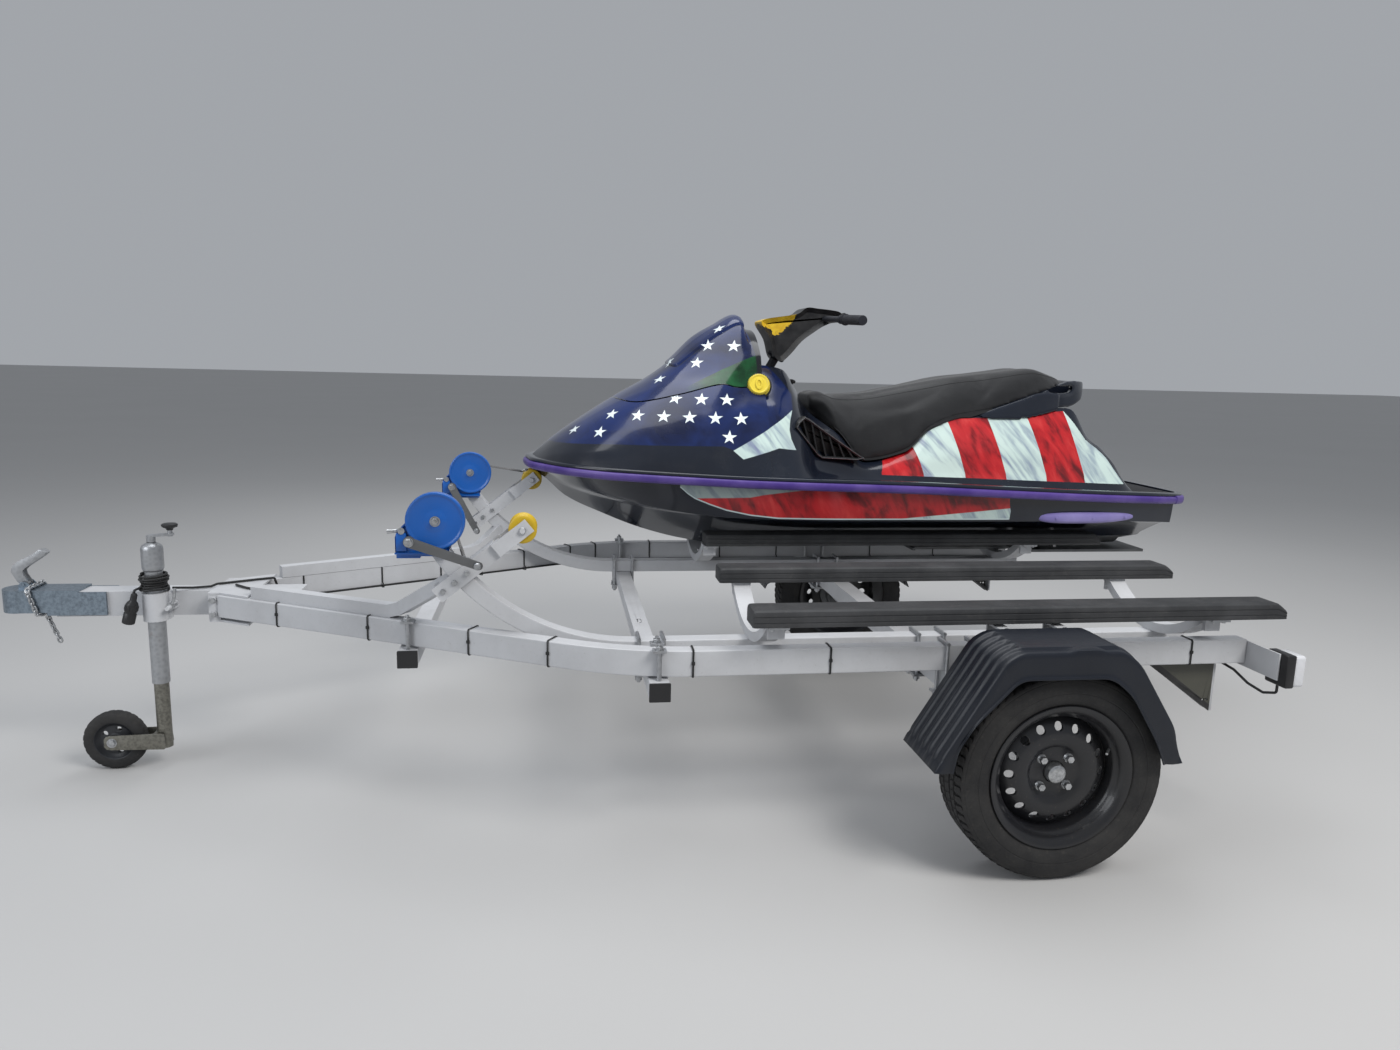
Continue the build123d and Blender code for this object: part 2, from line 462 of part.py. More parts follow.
# screw nut inside the tube, carries the sliding stem
NUT_Z = 440.0
out("jockey_nut", ring((jx, jy, NUT_Z), (jx, jy, NUT_Z + 22), 20.4, 8.6))
FORK_Z = 84.0
stem = ring((jx, jy, FORK_Z - 22), (jx, jy, NUT_Z - 0.4), 20.4, 16.0)
stem += ring((jx, jy, NUT_Z - 8), (jx, jy, NUT_Z - 0.4), 20.4, 9.5)
wx = JOCKEY_WX
for s in (-1, 1):
    stem += prism_xz([(wx - 22, JOCKEY_R - 21), (wx - 22, JOCKEY_R + 21), (jx + 4, JOCKEY_R + 24), (jx + 12, JOCKEY_R - 24)],
                     jy + s * 27, jy + s * 32)
stem += box(jx - 24, jx - 12, jy - 32, jy + 32, JOCKEY_R - 22, JOCKEY_R + 24)
stem += cyl((wx, jy - 40, JOCKEY_R), (wx, jy + 40, JOCKEY_R), 8.0)
out("jockey_stem", stem)
JT = [(8.06, -21), (52, -21), (60, -19), (80, -18), (JOCKEY_R - 2, -14), (JOCKEY_R, -9), (JOCKEY_R, 9), (JOCKEY_R - 2, 14),
      (80, 18), (60, 19), (52, 21), (8.06, 21)]
jw = revolve(make_face(Polyline(*[(r, 0, h) for r, h in JT], close=True)), Axis.Z)
out("jockey_roadwheel", Pos(wx, jy, JOCKEY_R) * (Rot(90, 0, 0) * jw))
screw = cyl((jx, jy, 300), (jx, jy, TUBE_TOP + 22), 8.0)
screw += cyl((jx, jy, TUBE_TOP + 8), (jx, jy, TUBE_TOP + 26), 12.0)
screw += bar((jx - 10, jy, TUBE_TOP + 22), (jx + 62, jy, TUBE_TOP + 28), 20, 8)
screw += cyl((jx + 52, jy, TUBE_TOP + 24), (jx + 52, jy, TUBE_TOP + 46), 10)
screw += cyl((jx + 52, jy, TUBE_TOP + 46), (jx + 52, jy, TUBE_TOP + 62), 22)
out("jockey_crank", screw)

# ------------------------------------------------------------ lighting cable, held all the way
CAB = 3.5
coil = ring((jx, jy, 537), (jx, jy, 597), 41, 24.4)
out("cable_coil", coil)
plug = cyl((jx - 62, jy - 40, 452), (jx - 44, jy - 40, 520), 17) + cyl((jx - 44, jy - 40, 519), (jx - 39, jy - 40, 538), 9)
out("cable_plug", plug)


def cable(points, bend):
    path = FilletPolyline(*points, radius=bend)
    start = Vector(*points[0])
    return sweep(Plane(origin=start, z_dir=Vector(*points[1]) - start) * Circle(CAB), path=path)


def along_rail(s):
    """Points along a rail's inner lower edge, round its clamp bolts, out under it and up to the lamp."""
    rows = [(-2000, 31.5), (-1200, 31.5), (-1010, 31.5), (-985, 50), (-925, 50), (-890, 31.5),
            (-260, 31.5), (-235, 50), (-115, 50), (-90, 31.5), (590, 31.5)]
    pts = [(x, s * (-rail_y(x) - d), 469.0) for x, d in rows]
    return pts + [(606, s * 692, 456), (618, s * 730, 446), (634, s * 768, 420), (650, s * 806, 407), (664, s * 836, 416),
                  (664, s * 836, 439.2)]


main_run = [(jx + 46, jy + 8, 545), (-2270, -20, 535.5), (-2224, -4, 535.5), (-2208, 0, 542), (-2110, 55, 542), (-2068, 80, 541),
            (-2052, 90, 480)] + along_rail(1)
branch = [(-2150, -16, 542), (-2110, -55, 542), (-2068, -80, 541), (-2052, -90, 480)] + along_rail(-1)
out("light_cable", cable(main_run, 7.5), cable(branch, 7.5))

# ------------------------------------------------------------ watercraft
# hull sections: x, keel z, inner chine half width and z, outer chine, gunwale
HULL = [
    (-1300, 846, 5, 850, 12, 853, 50, 867),
    (-1241, 806, 40, 826, 62, 838, 195, 866),
    (-1173, 744, 90, 790, 130, 806, 270, 864),
    (-1034, 677, 165, 758, 228, 772, 350, 861),
    (-893, 622, 222, 736, 300, 748, 392, 857),
    (-746, 583, 270, 722, 356, 730, 425, 853),
    (-560, 556, 308, 714, 398, 720, 450, 849),
    (-232, 552, 330, 711, 425, 716, 474, 842),
    (203, 552, 332, 711.7, 424, 715, 462, 827),
    (682, 552, 325, 708.5, 402, 712, 424, 802),
    (928, 552, 300, 697, 352, 702, 370, 788),
    (1035, 554, 278, 690, 318, 694, 330, 780)]


def hull_outline(r):
    x, zk, wi, zi, wo, zo, ws, zs = r
    return [(0, zk), (wi, zi), (wo, zo), (ws, zs), (-ws, zs), (-wo, zo), (-wi, zi)]


hull0 = loft_sections(HULL, hull_outline)
FOOT_Z = 732.0
hull = hull0
foot_pts = [(-190, 300), (-150, 415), (203, 402), (682, 366), (948, 318), (948, 286), (-190, 286)]
for s in (-1, 1):
    f = make_face(Polyline(*[(x, LANE + s * y, FOOT_Z) for x, y in foot_pts], close=True))
    hull -= extrude(f, amount=200, dir=(0, 0, 1))
# engine bay, intake duct and pump recess
BAY = (-235.0, 330.0, 165.0, 640.0)
hull -= box(BAY[0], BAY[1], LANE - BAY[2], LANE + BAY[2], BAY[3], 1000)
PUMP_Z, PUMP_R, PUMP_X0, PUMP_X1 = 642.0, 72.0, 700.0, 1000.0
duct = prism_xz([(150, 500), (480, 500), (520, 566), (705, 572), (705, 712), (600, 712)], LANE - 62, LANE + 62)
recess = box(700, 1200, LANE - 108, LANE + 108, 500, 745)
shaft_bore = cyl((195, LANE, PUMP_Z), (500, LANE, PUMP_Z), 15)
hull = hull - duct - recess - shaft_bore
hull = max(hull.solids(), key=lambda q: q.volume)
out("hull", hull)

# upper body sections: x, then half width and z up the side
# (base, knuckle, crease, seam, visor edge, visor crown) and ridge z
DECK = [
    (-1290, 52, 866, 44, 872, 34, 877, 24, 882, 16, 886, 8, 889, 890),
    (-1220, 196, 863, 160, 902, 118, 926, 80, 940, 52, 947, 26, 951, 952),
    (-1129, 280, 861, 246, 920, 196, 962, 140, 992, 92, 1008, 46, 1016, 1018),
    (-985, 352, 858, 318, 930, 268, 1000, 205, 1062, 140, 1092, 72, 1106, 1112),
    (-890, 382, 855, 350, 940, 298, 1026, 240, 1090, 175, 1132, 92, 1158, 1167),
    (-800, 400, 853, 368, 948, 314, 1045, 258, 1118, 198, 1165, 110, 1212, 1232),
    (-707, 418, 850, 386, 955, 330, 1062, 272, 1146, 214, 1186, 110, 1290, 1322),
    (-640, 430, 849, 396, 958, 338, 1072, 276, 1160, 224, 1212, 108, 1340, 1362),
    (-564, 440, 848, 405, 960, 345, 1078, 272, 1156, 226, 1242, 100, 1380, 1400),
    (-500, 442, 846, 402, 958, 340, 1080, 262, 1160, 216, 1262, 92, 1352, 1368)]


def deck_outline(r):
    x, w0, z0, w1, z1, w2, z2, w3, z3, w4, z4, w5, z5, zr = r
    half = [(w0, z0), (w1, z1), (w2, z2), (w3, z3), (w4, z4), (w5, z5)]
    return half + [(0, zr)] + [(-w, z) for w, z in reversed(half)]


fore = loft_sections(DECK, deck_outline)
# seam of the front cover: everything above this line is the opening cover
SEAM = [(-1000, 1104), (-925, 1096), (-788, 1126), (-655, 1162), (-590, 1154), (-480, 1160)]
above = prism_xz(SEAM + [(-480, 1500), (-1000, 1500)], LANE - 500, LANE + 500)
above_clear = prism_xz([(x, z - 4) for x, z in SEAM] + [(-480, 1500), (-1004, 1500)], LANE - 500, LANE + 500)
COVER_T = 7.0
inner_rows = []
for r in DECK:
    w = list(r)
    for i in (1, 3, 5, 7, 9, 11):
        w[i] = max(3.0 + (11 - i), w[i] - 9.0)
    for i in (2, 4, 6, 8, 10, 12):
        w[i] = w[i] - 6.0
    w[13] -= 8.0
    inner_rows.append(tuple(w))
inner = loft_sections(inner_rows, deck_outline)
inner_cut = inner & box(-960, -511, LANE - 480, LANE + 480, 800, 1500)
cover = (fore & above) - inner_cut - box(-504, -400, LANE - 480, LANE + 480, 1000, 1500)
cover = max(cover.solids(), key=lambda q: q.volume)
out("front_cover", cover)

body = fore - above_clear
# bin under the cover
body -= box(-905, -560, LANE - 175, LANE + 175, 930, 1300)

# pod and saddle sections: x, half width and z up the side (base, knuckle, crease, shoulder), then flat top
PED = [
    (-503, 440, 846, 400, 956, 336, 1079, 230, 1150, 120, 1228),
    (-460, 434, 845, 392, 953, 326, 1078, 224, 1150, 110, 1226),
    (-400, 420, 844, 372, 938, 296, 1068, 206, 1146, 100, 1214),
    (-350, 390, 843, 340, 905, 280, 1018, 196, 1090, 98, 1150),
    (-315, 360, 842, 314, 880, 266, 974, 186, 1030, 96, 1088),
    (-200, 300, 840, 284, 856, 262, 900, 226, 950, 190, 985),
    (-110, 284, 837, 275, 846, 252, 870, 228, 884, 205, 893),
    (40, 282, 832, 272, 845, 252, 880, 230, 905, 205, 926),
    (137, 280, 828, 268, 850, 246, 920, 222, 970, 196, 1012),
    (250, 280, 824, 266, 850, 242, 935, 215, 1000, 186, 1054),
    (620, 276, 804, 262, 840, 230, 950, 198, 1030, 160, 1096),
    (686, 272, 801, 258, 832, 224, 936, 194, 1022, 158, 1096),
    (783, 262, 797, 250, 820, 216, 900, 188, 950, 156, 981),
    (838, 256, 793, 244, 812, 210, 880, 182, 925, 152, 947),
    (876, 250, 791, 238, 806, 204, 860, 178, 895, 149, 910),
    (911, 244, 789, 230, 799, 200, 830, 174, 850, 146, 861),
    (938, 238, 787, 222, 794, 196, 806, 172, 814, 144, 821)]


def ped_outline(r):
    x = r[0]
    half = [(r[i], r[i + 1]) for i in (1, 3, 5, 7, 9)]
    return half + [(-w, z) for w, z in reversed(half)]


ped = loft_sections(PED, ped_outline)
deck = body + ped
deck -= prism_xz([(x, z - 4) for x, z in SEAM[:-1]] + [(-499, 1152), (-499, 1500), (-1004, 1500)], LANE - 500, LANE + 500)
deck -= hull0
deck -= box(BAY[0], BAY[1], LANE - BAY[2], LANE + BAY[2], BAY[3], 1300) & box(-235, 330, 0, 1100, 600, 1060)
deck -= cyl((ST[0] - 104 * 0.5, LANE, ST[1] - 104 * 0.866), (ST[0] + 80 * 0.5, LANE, ST[1] + 80 * 0.866), 16.3)
deck = max(deck.solids(), key=lambda q: q.volume)
out("deck", deck)

# bumper rail: plate around the gunwale, less the hull and deck
BUMP = [  # x, outer half width, centre z
    (-1323, 30, 874), (-1300, 112, 872), (-1241, 212, 870), (-1173, 292, 868), (-1034, 372, 863), (-893, 412, 859),
    (-746, 444, 855), (-560, 474, 850), (-232, 499, 844), (0, 500, 838), (203, 494, 829), (440, 480, 818), (682, 452, 806),
    (928, 396, 793), (1035, 344, 785), (1102, 290, 779), (1165, 200, 773)]


def bump_outline(r):
    x, w, z = r
    return [(w - 4, z - 21), (w, z - 10), (w, z + 12), (w - 8, z + 19), (-w + 8, z + 19), (-w, z + 12), (-w, z - 10), (-w + 4, z - 21)]


bump = loft_sections(BUMP, bump_outline)
IN = [(x, max(8, w - 36), z) for x, w, z in BUMP[1:-1]] + [(1128, 226, 776)]


def in_outline(r):
    x, w, z = r
    return [(w, z - 60), (w, z + 60), (-w, z + 60), (-w, z - 60)]


hole = loft_sections(IN, in_outline)
bump = bump - hole - hull0 - deck
bump = max(bump.solids(), key=lambda q: q.volume)
out("bumper", bump)
# stern platform inside the bumper's tail
plat = loft_sections([(1035.3, 318, 780), (1102, 248, 778), (1124, 226, 777)],
                     lambda r: [(r[1], r[2] - 16), (r[1], r[2] + 8), (-r[1], r[2] + 8), (-r[1], r[2] - 16)])
plat = plat - bump - hull0 - deck
plat = max(plat.solids(), key=lambda q: q.volume)
out("stern_platform", plat)

# sponsons on the hull sides near the stern
sp = []
for s in (-1, 1):
    rows = [(455, 392, 9), (520, 404, 20), (780, 384, 20), (856, 366, 11)]
    faces = []
    for x, w, h in rows:
        z = 728 if x < 800 else 726
        faces.append(make_face(Polyline((x, LANE + s * (w - 30), z - h), (x, LANE + s * (w + 34), z - h * 0.6),
                                        (x, LANE + s * (w + 34), z + h * 0.6), (x, LANE + s * (w - 30), z + h), close=True)))
    q = loft(faces, ruled=True) - hull0
    sp.append(max(q.solids(), key=lambda t: t.volume))
out("sponsons", *sp)

# side vents
vents = []
for s in (-1, 1):
    v = prism_xz([(-402, 1026), (-366, 1064), (-128, 912), (-160, 905), (-296, 912)], LANE + s * 230, LANE + s * 330)
    v = v - deck - hull0
    v = max(v.solids(), key=lambda t: t.volume)
    v = v & loft_sections([(-420, 345, 1000), (-300, 300, 1000), (-120, 278, 1000)],
                          lambda r: [(r[1], 700), (r[1], 1200), (-r[1], 1200), (-r[1], 700)])
    vents.append(max(v.solids(), key=lambda t: t.volume))
out("side_vents", *vents)

# fuel cap on the port shoulder of the upper body
CAP = (-519.0, LANE - 260.0, 1156.0)
capn = Vector(-0.1, -0.92, 0.36).normalized()
capv = extrude(Plane(origin=Vector(*CAP) - capn * 30, z_dir=capn) * Circle(31), 60) - fore - ped
capv = max(capv.solids(), key=lambda t: t.volume)
out("fuel_cap", capv)

# engine, pump, plate, grate
engine = box(-180, 190, LANE - 125, LANE + 125, 655, 850)
out("engine", engine)
pump = ring((700.5, LANE, PUMP_Z), (PUMP_X1, LANE, PUMP_Z), PUMP_R + 9, PUMP_R)
pump += box(700.5, 712, LANE - 107.5, LANE + 107.5, 562, 744) - cyl((690, LANE, PUMP_Z), (730, LANE, PUMP_Z), PUMP_R)
for a in range(6):                                       # stator vanes behind the impeller
    t = radians(a * 60)
    pump += bar((860, LANE + 24 * cos(t), PUMP_Z + 24 * sin(t)), (960, LANE + 24 * cos(t), PUMP_Z + 24 * sin(t)), 4, 4)
    pump += extrude(Plane(origin=(860, LANE, PUMP_Z), x_dir=(0, cos(t), sin(t)), z_dir=(1, 0, 0)) * Pos(48, 0) * Rectangle(50, 4), 100)
pump += cyl((858, LANE, PUMP_Z), (962, LANE, PUMP_Z), 26)
out("jet_pump", pump)
out("ride_plate", box(560, 1085, LANE - 105, LANE + 105, 541, 551.5) - duct - hull)
grate = None
for y in (-36, -12, 12, 36):
    g = box(150, 560, LANE + y - 3, LANE + y + 3, 541, 551.5)
    grate = g if grate is None else grate + g
grate += box(150, 162, LANE - 61.5, LANE + 61.5, 541, 551.5)
grate -= hull
out("intake_grate", *[g for g in grate.solids() if g.volume > 500])
NOZ_X = 1016.0
noz = revolve(make_face(Polyline((60, 0, 0), (66, 0, 0), (52, 0, 100), (46, 0, 100), close=True)), Axis.Z)
noz = Pos(PUMP_X1 + 6, LANE, PUMP_Z) * (Rot(0, 90, 0) * noz)
out("jet_nozzle", noz)
imp = cyl((760, LANE, PUMP_Z), (848, LANE, PUMP_Z), 26) + cyl((215, LANE, PUMP_Z), (762, LANE, PUMP_Z), 10)
for a in range(3):
    t = a * 120
    bl = Rot(t, 0, 0) * (Pos(0, 0, 45) * (Rot(0, 0, 48) * Box(90, 5, 52)))
    imp += (Pos(804, LANE, PUMP_Z) * bl) & cyl((765, LANE, PUMP_Z), (843, LANE, PUMP_Z), PUMP_R - 5)
out("impeller", imp)

# ------------------------------------------------------------ seat
# x, bottom half width, bottom z, side half width, side z, top half width, top z
SEAT = [
    (-296, 96, 1088, 104, 1112, 78, 1131),
    (-262, 120, 1060, 130, 1110, 84, 1139),
    (-200, 192, 994, 176, 1060, 92, 1122),
    (-110, 214, 899, 178, 1040, 96, 1126),
    (40, 214, 932, 168, 1060, 100, 1152),
    (137, 204, 1018, 170, 1092, 108, 1172),
    (250, 194, 1046, 176, 1120, 116, 1194),
    (352, 190, 1078, 172, 1136, 115, 1206),
    (440, 184, 1108, 167, 1152, 114, 1218),
    (555, 172, 1146, 158, 1174, 112, 1232),
    (640, 150, 1174, 140, 1188, 92, 1214),
    (700, 108, 1184, 98, 1191, 68, 1198)]


def seat_outline(r):
    x, w0, z0, w1, z1, w2, z2 = r
    half = [(w0, z0 + 2), (w1, z1), (w2, z2)]
    return half + [(-w, z) for w, z in reversed(half)]


seat = loft_sections(SEAT, seat_outline)
ped_clear = loft_sections([(r[0], r[1], r[2], r[3] + 3, r[4], r[5] + 3, r[6], r[7] + 3, r[8] + 2, r[9] + 3, r[10] + 3) for r in PED], ped_outline)
seat -= ped_clear
seat = max(seat.solids(), key=lambda q: q.volume)
out("seat", seat)
# moulding under the rear of the seat, and the grab handle looped behind it
MOULD = [(300, 188, 1054, 1064), (350, 194, 1050, 1082), (388, 197, 1046, 1096), (436, 197, 1042, 1112), (495, 194, 1050, 1132),
         (560, 187, 1066, 1152), (606, 180, 1078, 1153), (640, 172, 1087, 1152)]
handle = loft_sections(MOULD, lambda r: [(r[1] - 4, r[2]), (r[1], r[2] + 3), (r[1] - 6, r[3]), (6 - r[1], r[3]), (-r[1], r[2] + 3), (4 - r[1], r[2])])
loop_side = [(560, 1100), (590, 1100), (640, 1087), (685, 1096), (735, 1108), (786, 1126), (808, 1148), (815, 1172), (810, 1188), (788, 1196),
             (731, 1197), (640, 1204), (560, 1204)]
loop = prism_xz(loop_side, LANE - 170, LANE + 170)
loop -= prism_xz([(596, 1155), (670, 1152), (714, 1158), (724, 1168), (714, 1178), (596, 1178)], LANE - 180, LANE + 180)
outer = [(560, 178), (640, 160), (700, 128), (752, 96), (790, 60), (811, 24), (815, 0)]
inner = [(500, 140), (640, 124), (700, 98), (742, 70), (770, 40), (783, 0)]
for line, keep in ((outer, True), (inner, False)):
    ring_pts = line + [(x, -w) for x, w in reversed(line[:-1])]
    f = extrude(make_face(Polyline(*[(x, LANE + w, 1000) for x, w in ring_pts], close=True)), amount=300, dir=(0, 0, 1))
    loop = loop & f if keep else loop - f
handle += loop
handle -= seat
handle -= ped_clear
handle = max(handle.solids(), key=lambda q: q.volume)
out("grab_handle", handle)

# ------------------------------------------------------------ handlebar
PAD = [(-466, 1366), (-440, 1396), (-330, 1414), (-288, 1436), (-200, 1428), (-160, 1412), (-170, 1392), (-214, 1364),
       (-300, 1318), (-352, 1262), (-392, 1246), (-432, 1322)]
pad = prism_xz(PAD, LANE - 62, LANE + 62)
pad = fillet(pad.edges().filter_by(Axis.Y), 6)
pad += cyl((ST[0] - 8 * 0.5, LANE, ST[1] - 8 * 0.866), (ST[0] + 90 * 0.5, LANE, ST[1] + 90 * 0.866), 34)
pad += cyl((ST[0] - 96 * 0.5, LANE, ST[1] - 96 * 0.866), (ST[0] + 60 * 0.5, LANE, ST[1] + 60 * 0.866), 16)
for s in (-1, 1):
    pad += cyl((-236, LANE + s * 55, 1398), (-214, LANE + s * 230, 1390), 11)
out("handlebar", pad)
gr = []
for s in (-1, 1):
    gr.append(cyl((-214, LANE + s * 230.5, 1390), (-196, LANE + s * 372, 1383), 17))
out("grips", *gr)
print("post top", post_top, "arc r", arc_r)
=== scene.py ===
import math
import random

import bmesh
import bpy
import numpy as np
from mathutils import Matrix, Vector
from mathutils.bvhtree import BVHTree


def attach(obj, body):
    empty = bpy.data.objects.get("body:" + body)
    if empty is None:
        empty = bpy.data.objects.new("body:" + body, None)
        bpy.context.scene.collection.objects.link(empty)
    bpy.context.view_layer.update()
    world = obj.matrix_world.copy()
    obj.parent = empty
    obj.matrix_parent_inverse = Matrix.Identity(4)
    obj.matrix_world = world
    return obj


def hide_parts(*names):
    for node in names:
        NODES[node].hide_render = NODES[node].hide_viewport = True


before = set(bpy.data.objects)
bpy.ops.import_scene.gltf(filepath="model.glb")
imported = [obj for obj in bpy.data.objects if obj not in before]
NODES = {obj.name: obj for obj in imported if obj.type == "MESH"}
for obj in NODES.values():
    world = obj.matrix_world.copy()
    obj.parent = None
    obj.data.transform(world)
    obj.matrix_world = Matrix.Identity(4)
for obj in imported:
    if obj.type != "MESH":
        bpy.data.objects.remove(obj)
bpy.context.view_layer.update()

SC = bpy.context.scene
MM = 0.001
SH = 813.5          # x of the axle line in the row frame, mm
LANE = 515.0        # half the distance between the two lanes, mm
rng = random.Random(7)


# ================================================================ small tools
def V(x, y, z):
    return Vector(((x + SH) * MM, y * MM, z * MM))


def shade(ob, deg=35.0):
    me = ob.data
    bm = bmesh.new()
    bm.from_mesh(me)
    lim = math.radians(deg)
    for f in bm.faces:
        f.smooth = True
    for e in bm.edges:
        if len(e.link_faces) == 2:
            e.smooth = e.calc_face_angle(0.0) < lim
        else:
            e.smooth = True
    bm.to_mesh(me)
    bm.free()


def new_object(name, verts, faces, mm=True):
    me = bpy.data.meshes.new(name)
    pts = [V(*v) for v in verts] if mm else [Vector(v) for v in verts]
    me.from_pydata([tuple(p) for p in pts], [], [list(f) for f in faces])
    me.validate(verbose=False)
    ob = bpy.data.objects.new(name, me)
    SC.collection.objects.link(ob)
    bm = bmesh.new()
    bm.from_mesh(me)
    bmesh.ops.remove_doubles(bm, verts=bm.verts, dist=1e-6)
    bmesh.ops.recalc_face_normals(bm, faces=bm.faces)
    bm.to_mesh(me)
    bm.free()
    return ob


def place(ob, mat, body="trailer", repl=(), deg=35.0, smooth=True):
    ob.data.materials.clear()
    ob.data.materials.append(mat)
    if smooth:
        shade(ob, deg)
    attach(ob, body)
    if repl:
        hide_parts(*repl)
    return ob


def joined(name, parts):
    """One object out of several (verts, faces) lists."""
    verts, faces = [], []
    for vs, fs in parts:
        k = len(verts)
        verts += [tuple(v) for v in vs]
        faces += [[i + k for i in f] for f in fs]
    return new_object(name, verts, faces)


def grid_faces(nu, nv, close_u=False, close_v=False):
    out = []
    for i in range(nu if close_u else nu - 1):
        for j in range(nv if close_v else nv - 1):
            a, b = i * nv + j, i * nv + (j + 1) % nv
            c, d = ((i + 1) % nu) * nv + (j + 1) % nv, ((i + 1) % nu) * nv + j
            out.append((a, b, c, d))
    return out


def rings(ring_list, cap=True, close_u=False):
    """(verts, faces) of rings of equal length, joined in order, ends closed."""
    n = len(ring_list[0])
    verts = [tuple(p) for r in ring_list for p in r]
    faces = grid_faces(len(ring_list), n, close_u, True)
    if cap and not close_u:
        faces.append(tuple(range(n)))
        faces.append(tuple(reversed(range(len(verts) - n, len(verts)))))
    return verts, faces


def frame_of(d, up=(0, 0, 1)):
    d = Vector(d).normalized()
    u = Vector(up)
    if abs(d.dot(u)) > 0.97:
        u = Vector((1, 0, 0)) if abs(d.x) < 0.9 else Vector((0, 1, 0))
    s = d.cross(u).normalized()
    return s, s.cross(d).normalized()


def lathe(profile, centre, axis, n=48):
    """Solid of revolution: profile is (radius, height) pairs along axis."""
    s, u = frame_of(axis)
    a = Vector(axis).normalized()
    c = Vector(centre)
    out = []
    for r, h in profile:
        out.append([tuple(c + a * h + s * (max(r, 0.001) * math.cos(2 * math.pi * k / n)) + u * (max(r, 0.001) * math.sin(2 * math.pi * k / n)))
                    for k in range(n)])
    return rings(out)


def tube(points, r, n=14, cap=True, up=(0, 0, 1)):
    """Round tube along points (list of 3-tuples)."""
    pts = [Vector(p) for p in points]
    out = []
    s = None
    for i, p in enumerate(pts):
        d = (pts[min(i + 1, len(pts) - 1)] - pts[max(i - 1, 0)]).normalized()
        if s is None:
            s, u = frame_of(d, up)
        else:
            s = (s - d * s.dot(d)).normalized()
            u = s.cross(d).normalized()
        rr = r[i] if isinstance(r, (list, tuple)) else r
        out.append([tuple(p + s * (rr * math.cos(2 * math.pi * k / n)) + u * (rr * math.sin(2 * math.pi * k / n))) for k in range(n)])
    return rings(out, cap)


def spline(points, per=8):
    """Catmull-Rom through points, as a list of 3-tuples."""
    p = [np.array(q, float) for q in points]
    out = []
    for i in range(len(p) - 1):
        a, b, c, d = p[max(i - 1, 0)], p[i], p[i + 1], p[min(i + 2, len(p) - 1)]
        for k in range(per):
            t = k / per
            out.append(tuple(0.5 * ((2 * b) + (c - a) * t + (2 * a - 5 * b + 4 * c - d) * t * t + (3 * b - a - 3 * c + d) * t ** 3)))
    out.append(tuple(p[-1]))
    return out


def rbox(x0, x1, y0, y1, z0, z1, r=2.0, seg=3):
    """Box with rounded edges, as (verts, faces)."""
    bm = bmesh.new()
    bmesh.ops.create_cube(bm, size=1.0)
    for v in bm.verts:
        v.co = Vector(((x0 + x1) / 2 + v.co.x * abs(x1 - x0), (y0 + y1) / 2 + v.co.y * abs(y1 - y0), (z0 + z1) / 2 + v.co.z * abs(z1 - z0)))
    r = min(r, 0.45 * min(abs(x1 - x0), abs(y1 - y0), abs(z1 - z0)))
    bmesh.ops.bevel(bm, geom=list(bm.edges), offset=r, segments=seg, profile=0.5, affect="EDGES")
    bm.verts.index_update()
    vs = [tuple(v.co) for v in bm.verts]
    fs = [[v.index for v in f.verts] for f in bm.faces]
    bm.free()
    return vs, fs


def turned(part, centre, m):
    """(verts, faces) turned by matrix m about centre."""
    c = Vector(centre)
    return [tuple(c + m @ (Vector(v) - c)) for v in part[0]], part[1]


def moved(part, d):
    return [(v[0] + d[0], v[1] + d[1], v[2] + d[2]) for v in part[0]], part[1]


def mirrored(part, about=0.0):
    return [(v[0], 2 * about - v[1], v[2]) for v in part[0]], [list(reversed(f)) for f in part[1]]


def prism(points, y0, y1, bevel=0.0):
    """XZ outline pulled along y, edges rounded by bevel."""
    bm = bmesh.new()
    vs = [bm.verts.new((x, y0, z)) for x, z in points]
    f = bm.faces.new(vs)
    ret = bmesh.ops.extrude_face_region(bm, geom=[f])
    for v in [g for g in ret["geom"] if isinstance(g, bmesh.types.BMVert)]:
        v.co.y = y1
    bmesh.ops.recalc_face_normals(bm, faces=bm.faces)
    if bevel > 0:
        edges = [e for e in bm.edges if len(e.link_faces) == 2 and e.calc_face_angle(0) > 0.35]
        bmesh.ops.bevel(bm, geom=edges, offset=bevel, segments=2, profile=0.5, affect="EDGES", clamp_overlap=True)
    bm.verts.index_update()
    out = [tuple(v.co) for v in bm.verts], [[v.index for v in f.verts] for f in bm.faces]
    bm.free()
    return out


def hexnut(centre, axis, across, high, n=6):
    r = across / math.sqrt(3)
    return lathe([(0, 0), (r * 0.94, 0), (r, high * 0.12), (r, high * 0.85), (r * 0.9, high), (0, high)], centre, axis, n)


def pchip(x, y, q):
    x, y, q = np.asarray(x, float), np.asarray(y, float), np.asarray(q, float)
    h = np.diff(x)
    d = np.diff(y) / h
    m = np.zeros_like(y)
    for i in range(1, len(x) - 1):
        if d[i - 1] * d[i] > 0:
            w1, w2 = 2 * h[i] + h[i - 1], h[i] + 2 * h[i - 1]
            m[i] = (w1 + w2) / (w1 / d[i - 1] + w2 / d[i])
    m[0], m[-1] = d[0], d[-1]
    k = np.clip(np.searchsorted(x, q, side="right") - 1, 0, len(x) - 2)
    t = (q - x[k]) / h[k]
    return ((2 * t ** 3 - 3 * t ** 2 + 1) * y[k] + (t ** 3 - 2 * t ** 2 + t) * h[k] * m[k]
            + (-2 * t ** 3 + 3 * t ** 2) * y[k + 1] + (t ** 3 - t ** 2) * h[k] * m[k + 1])


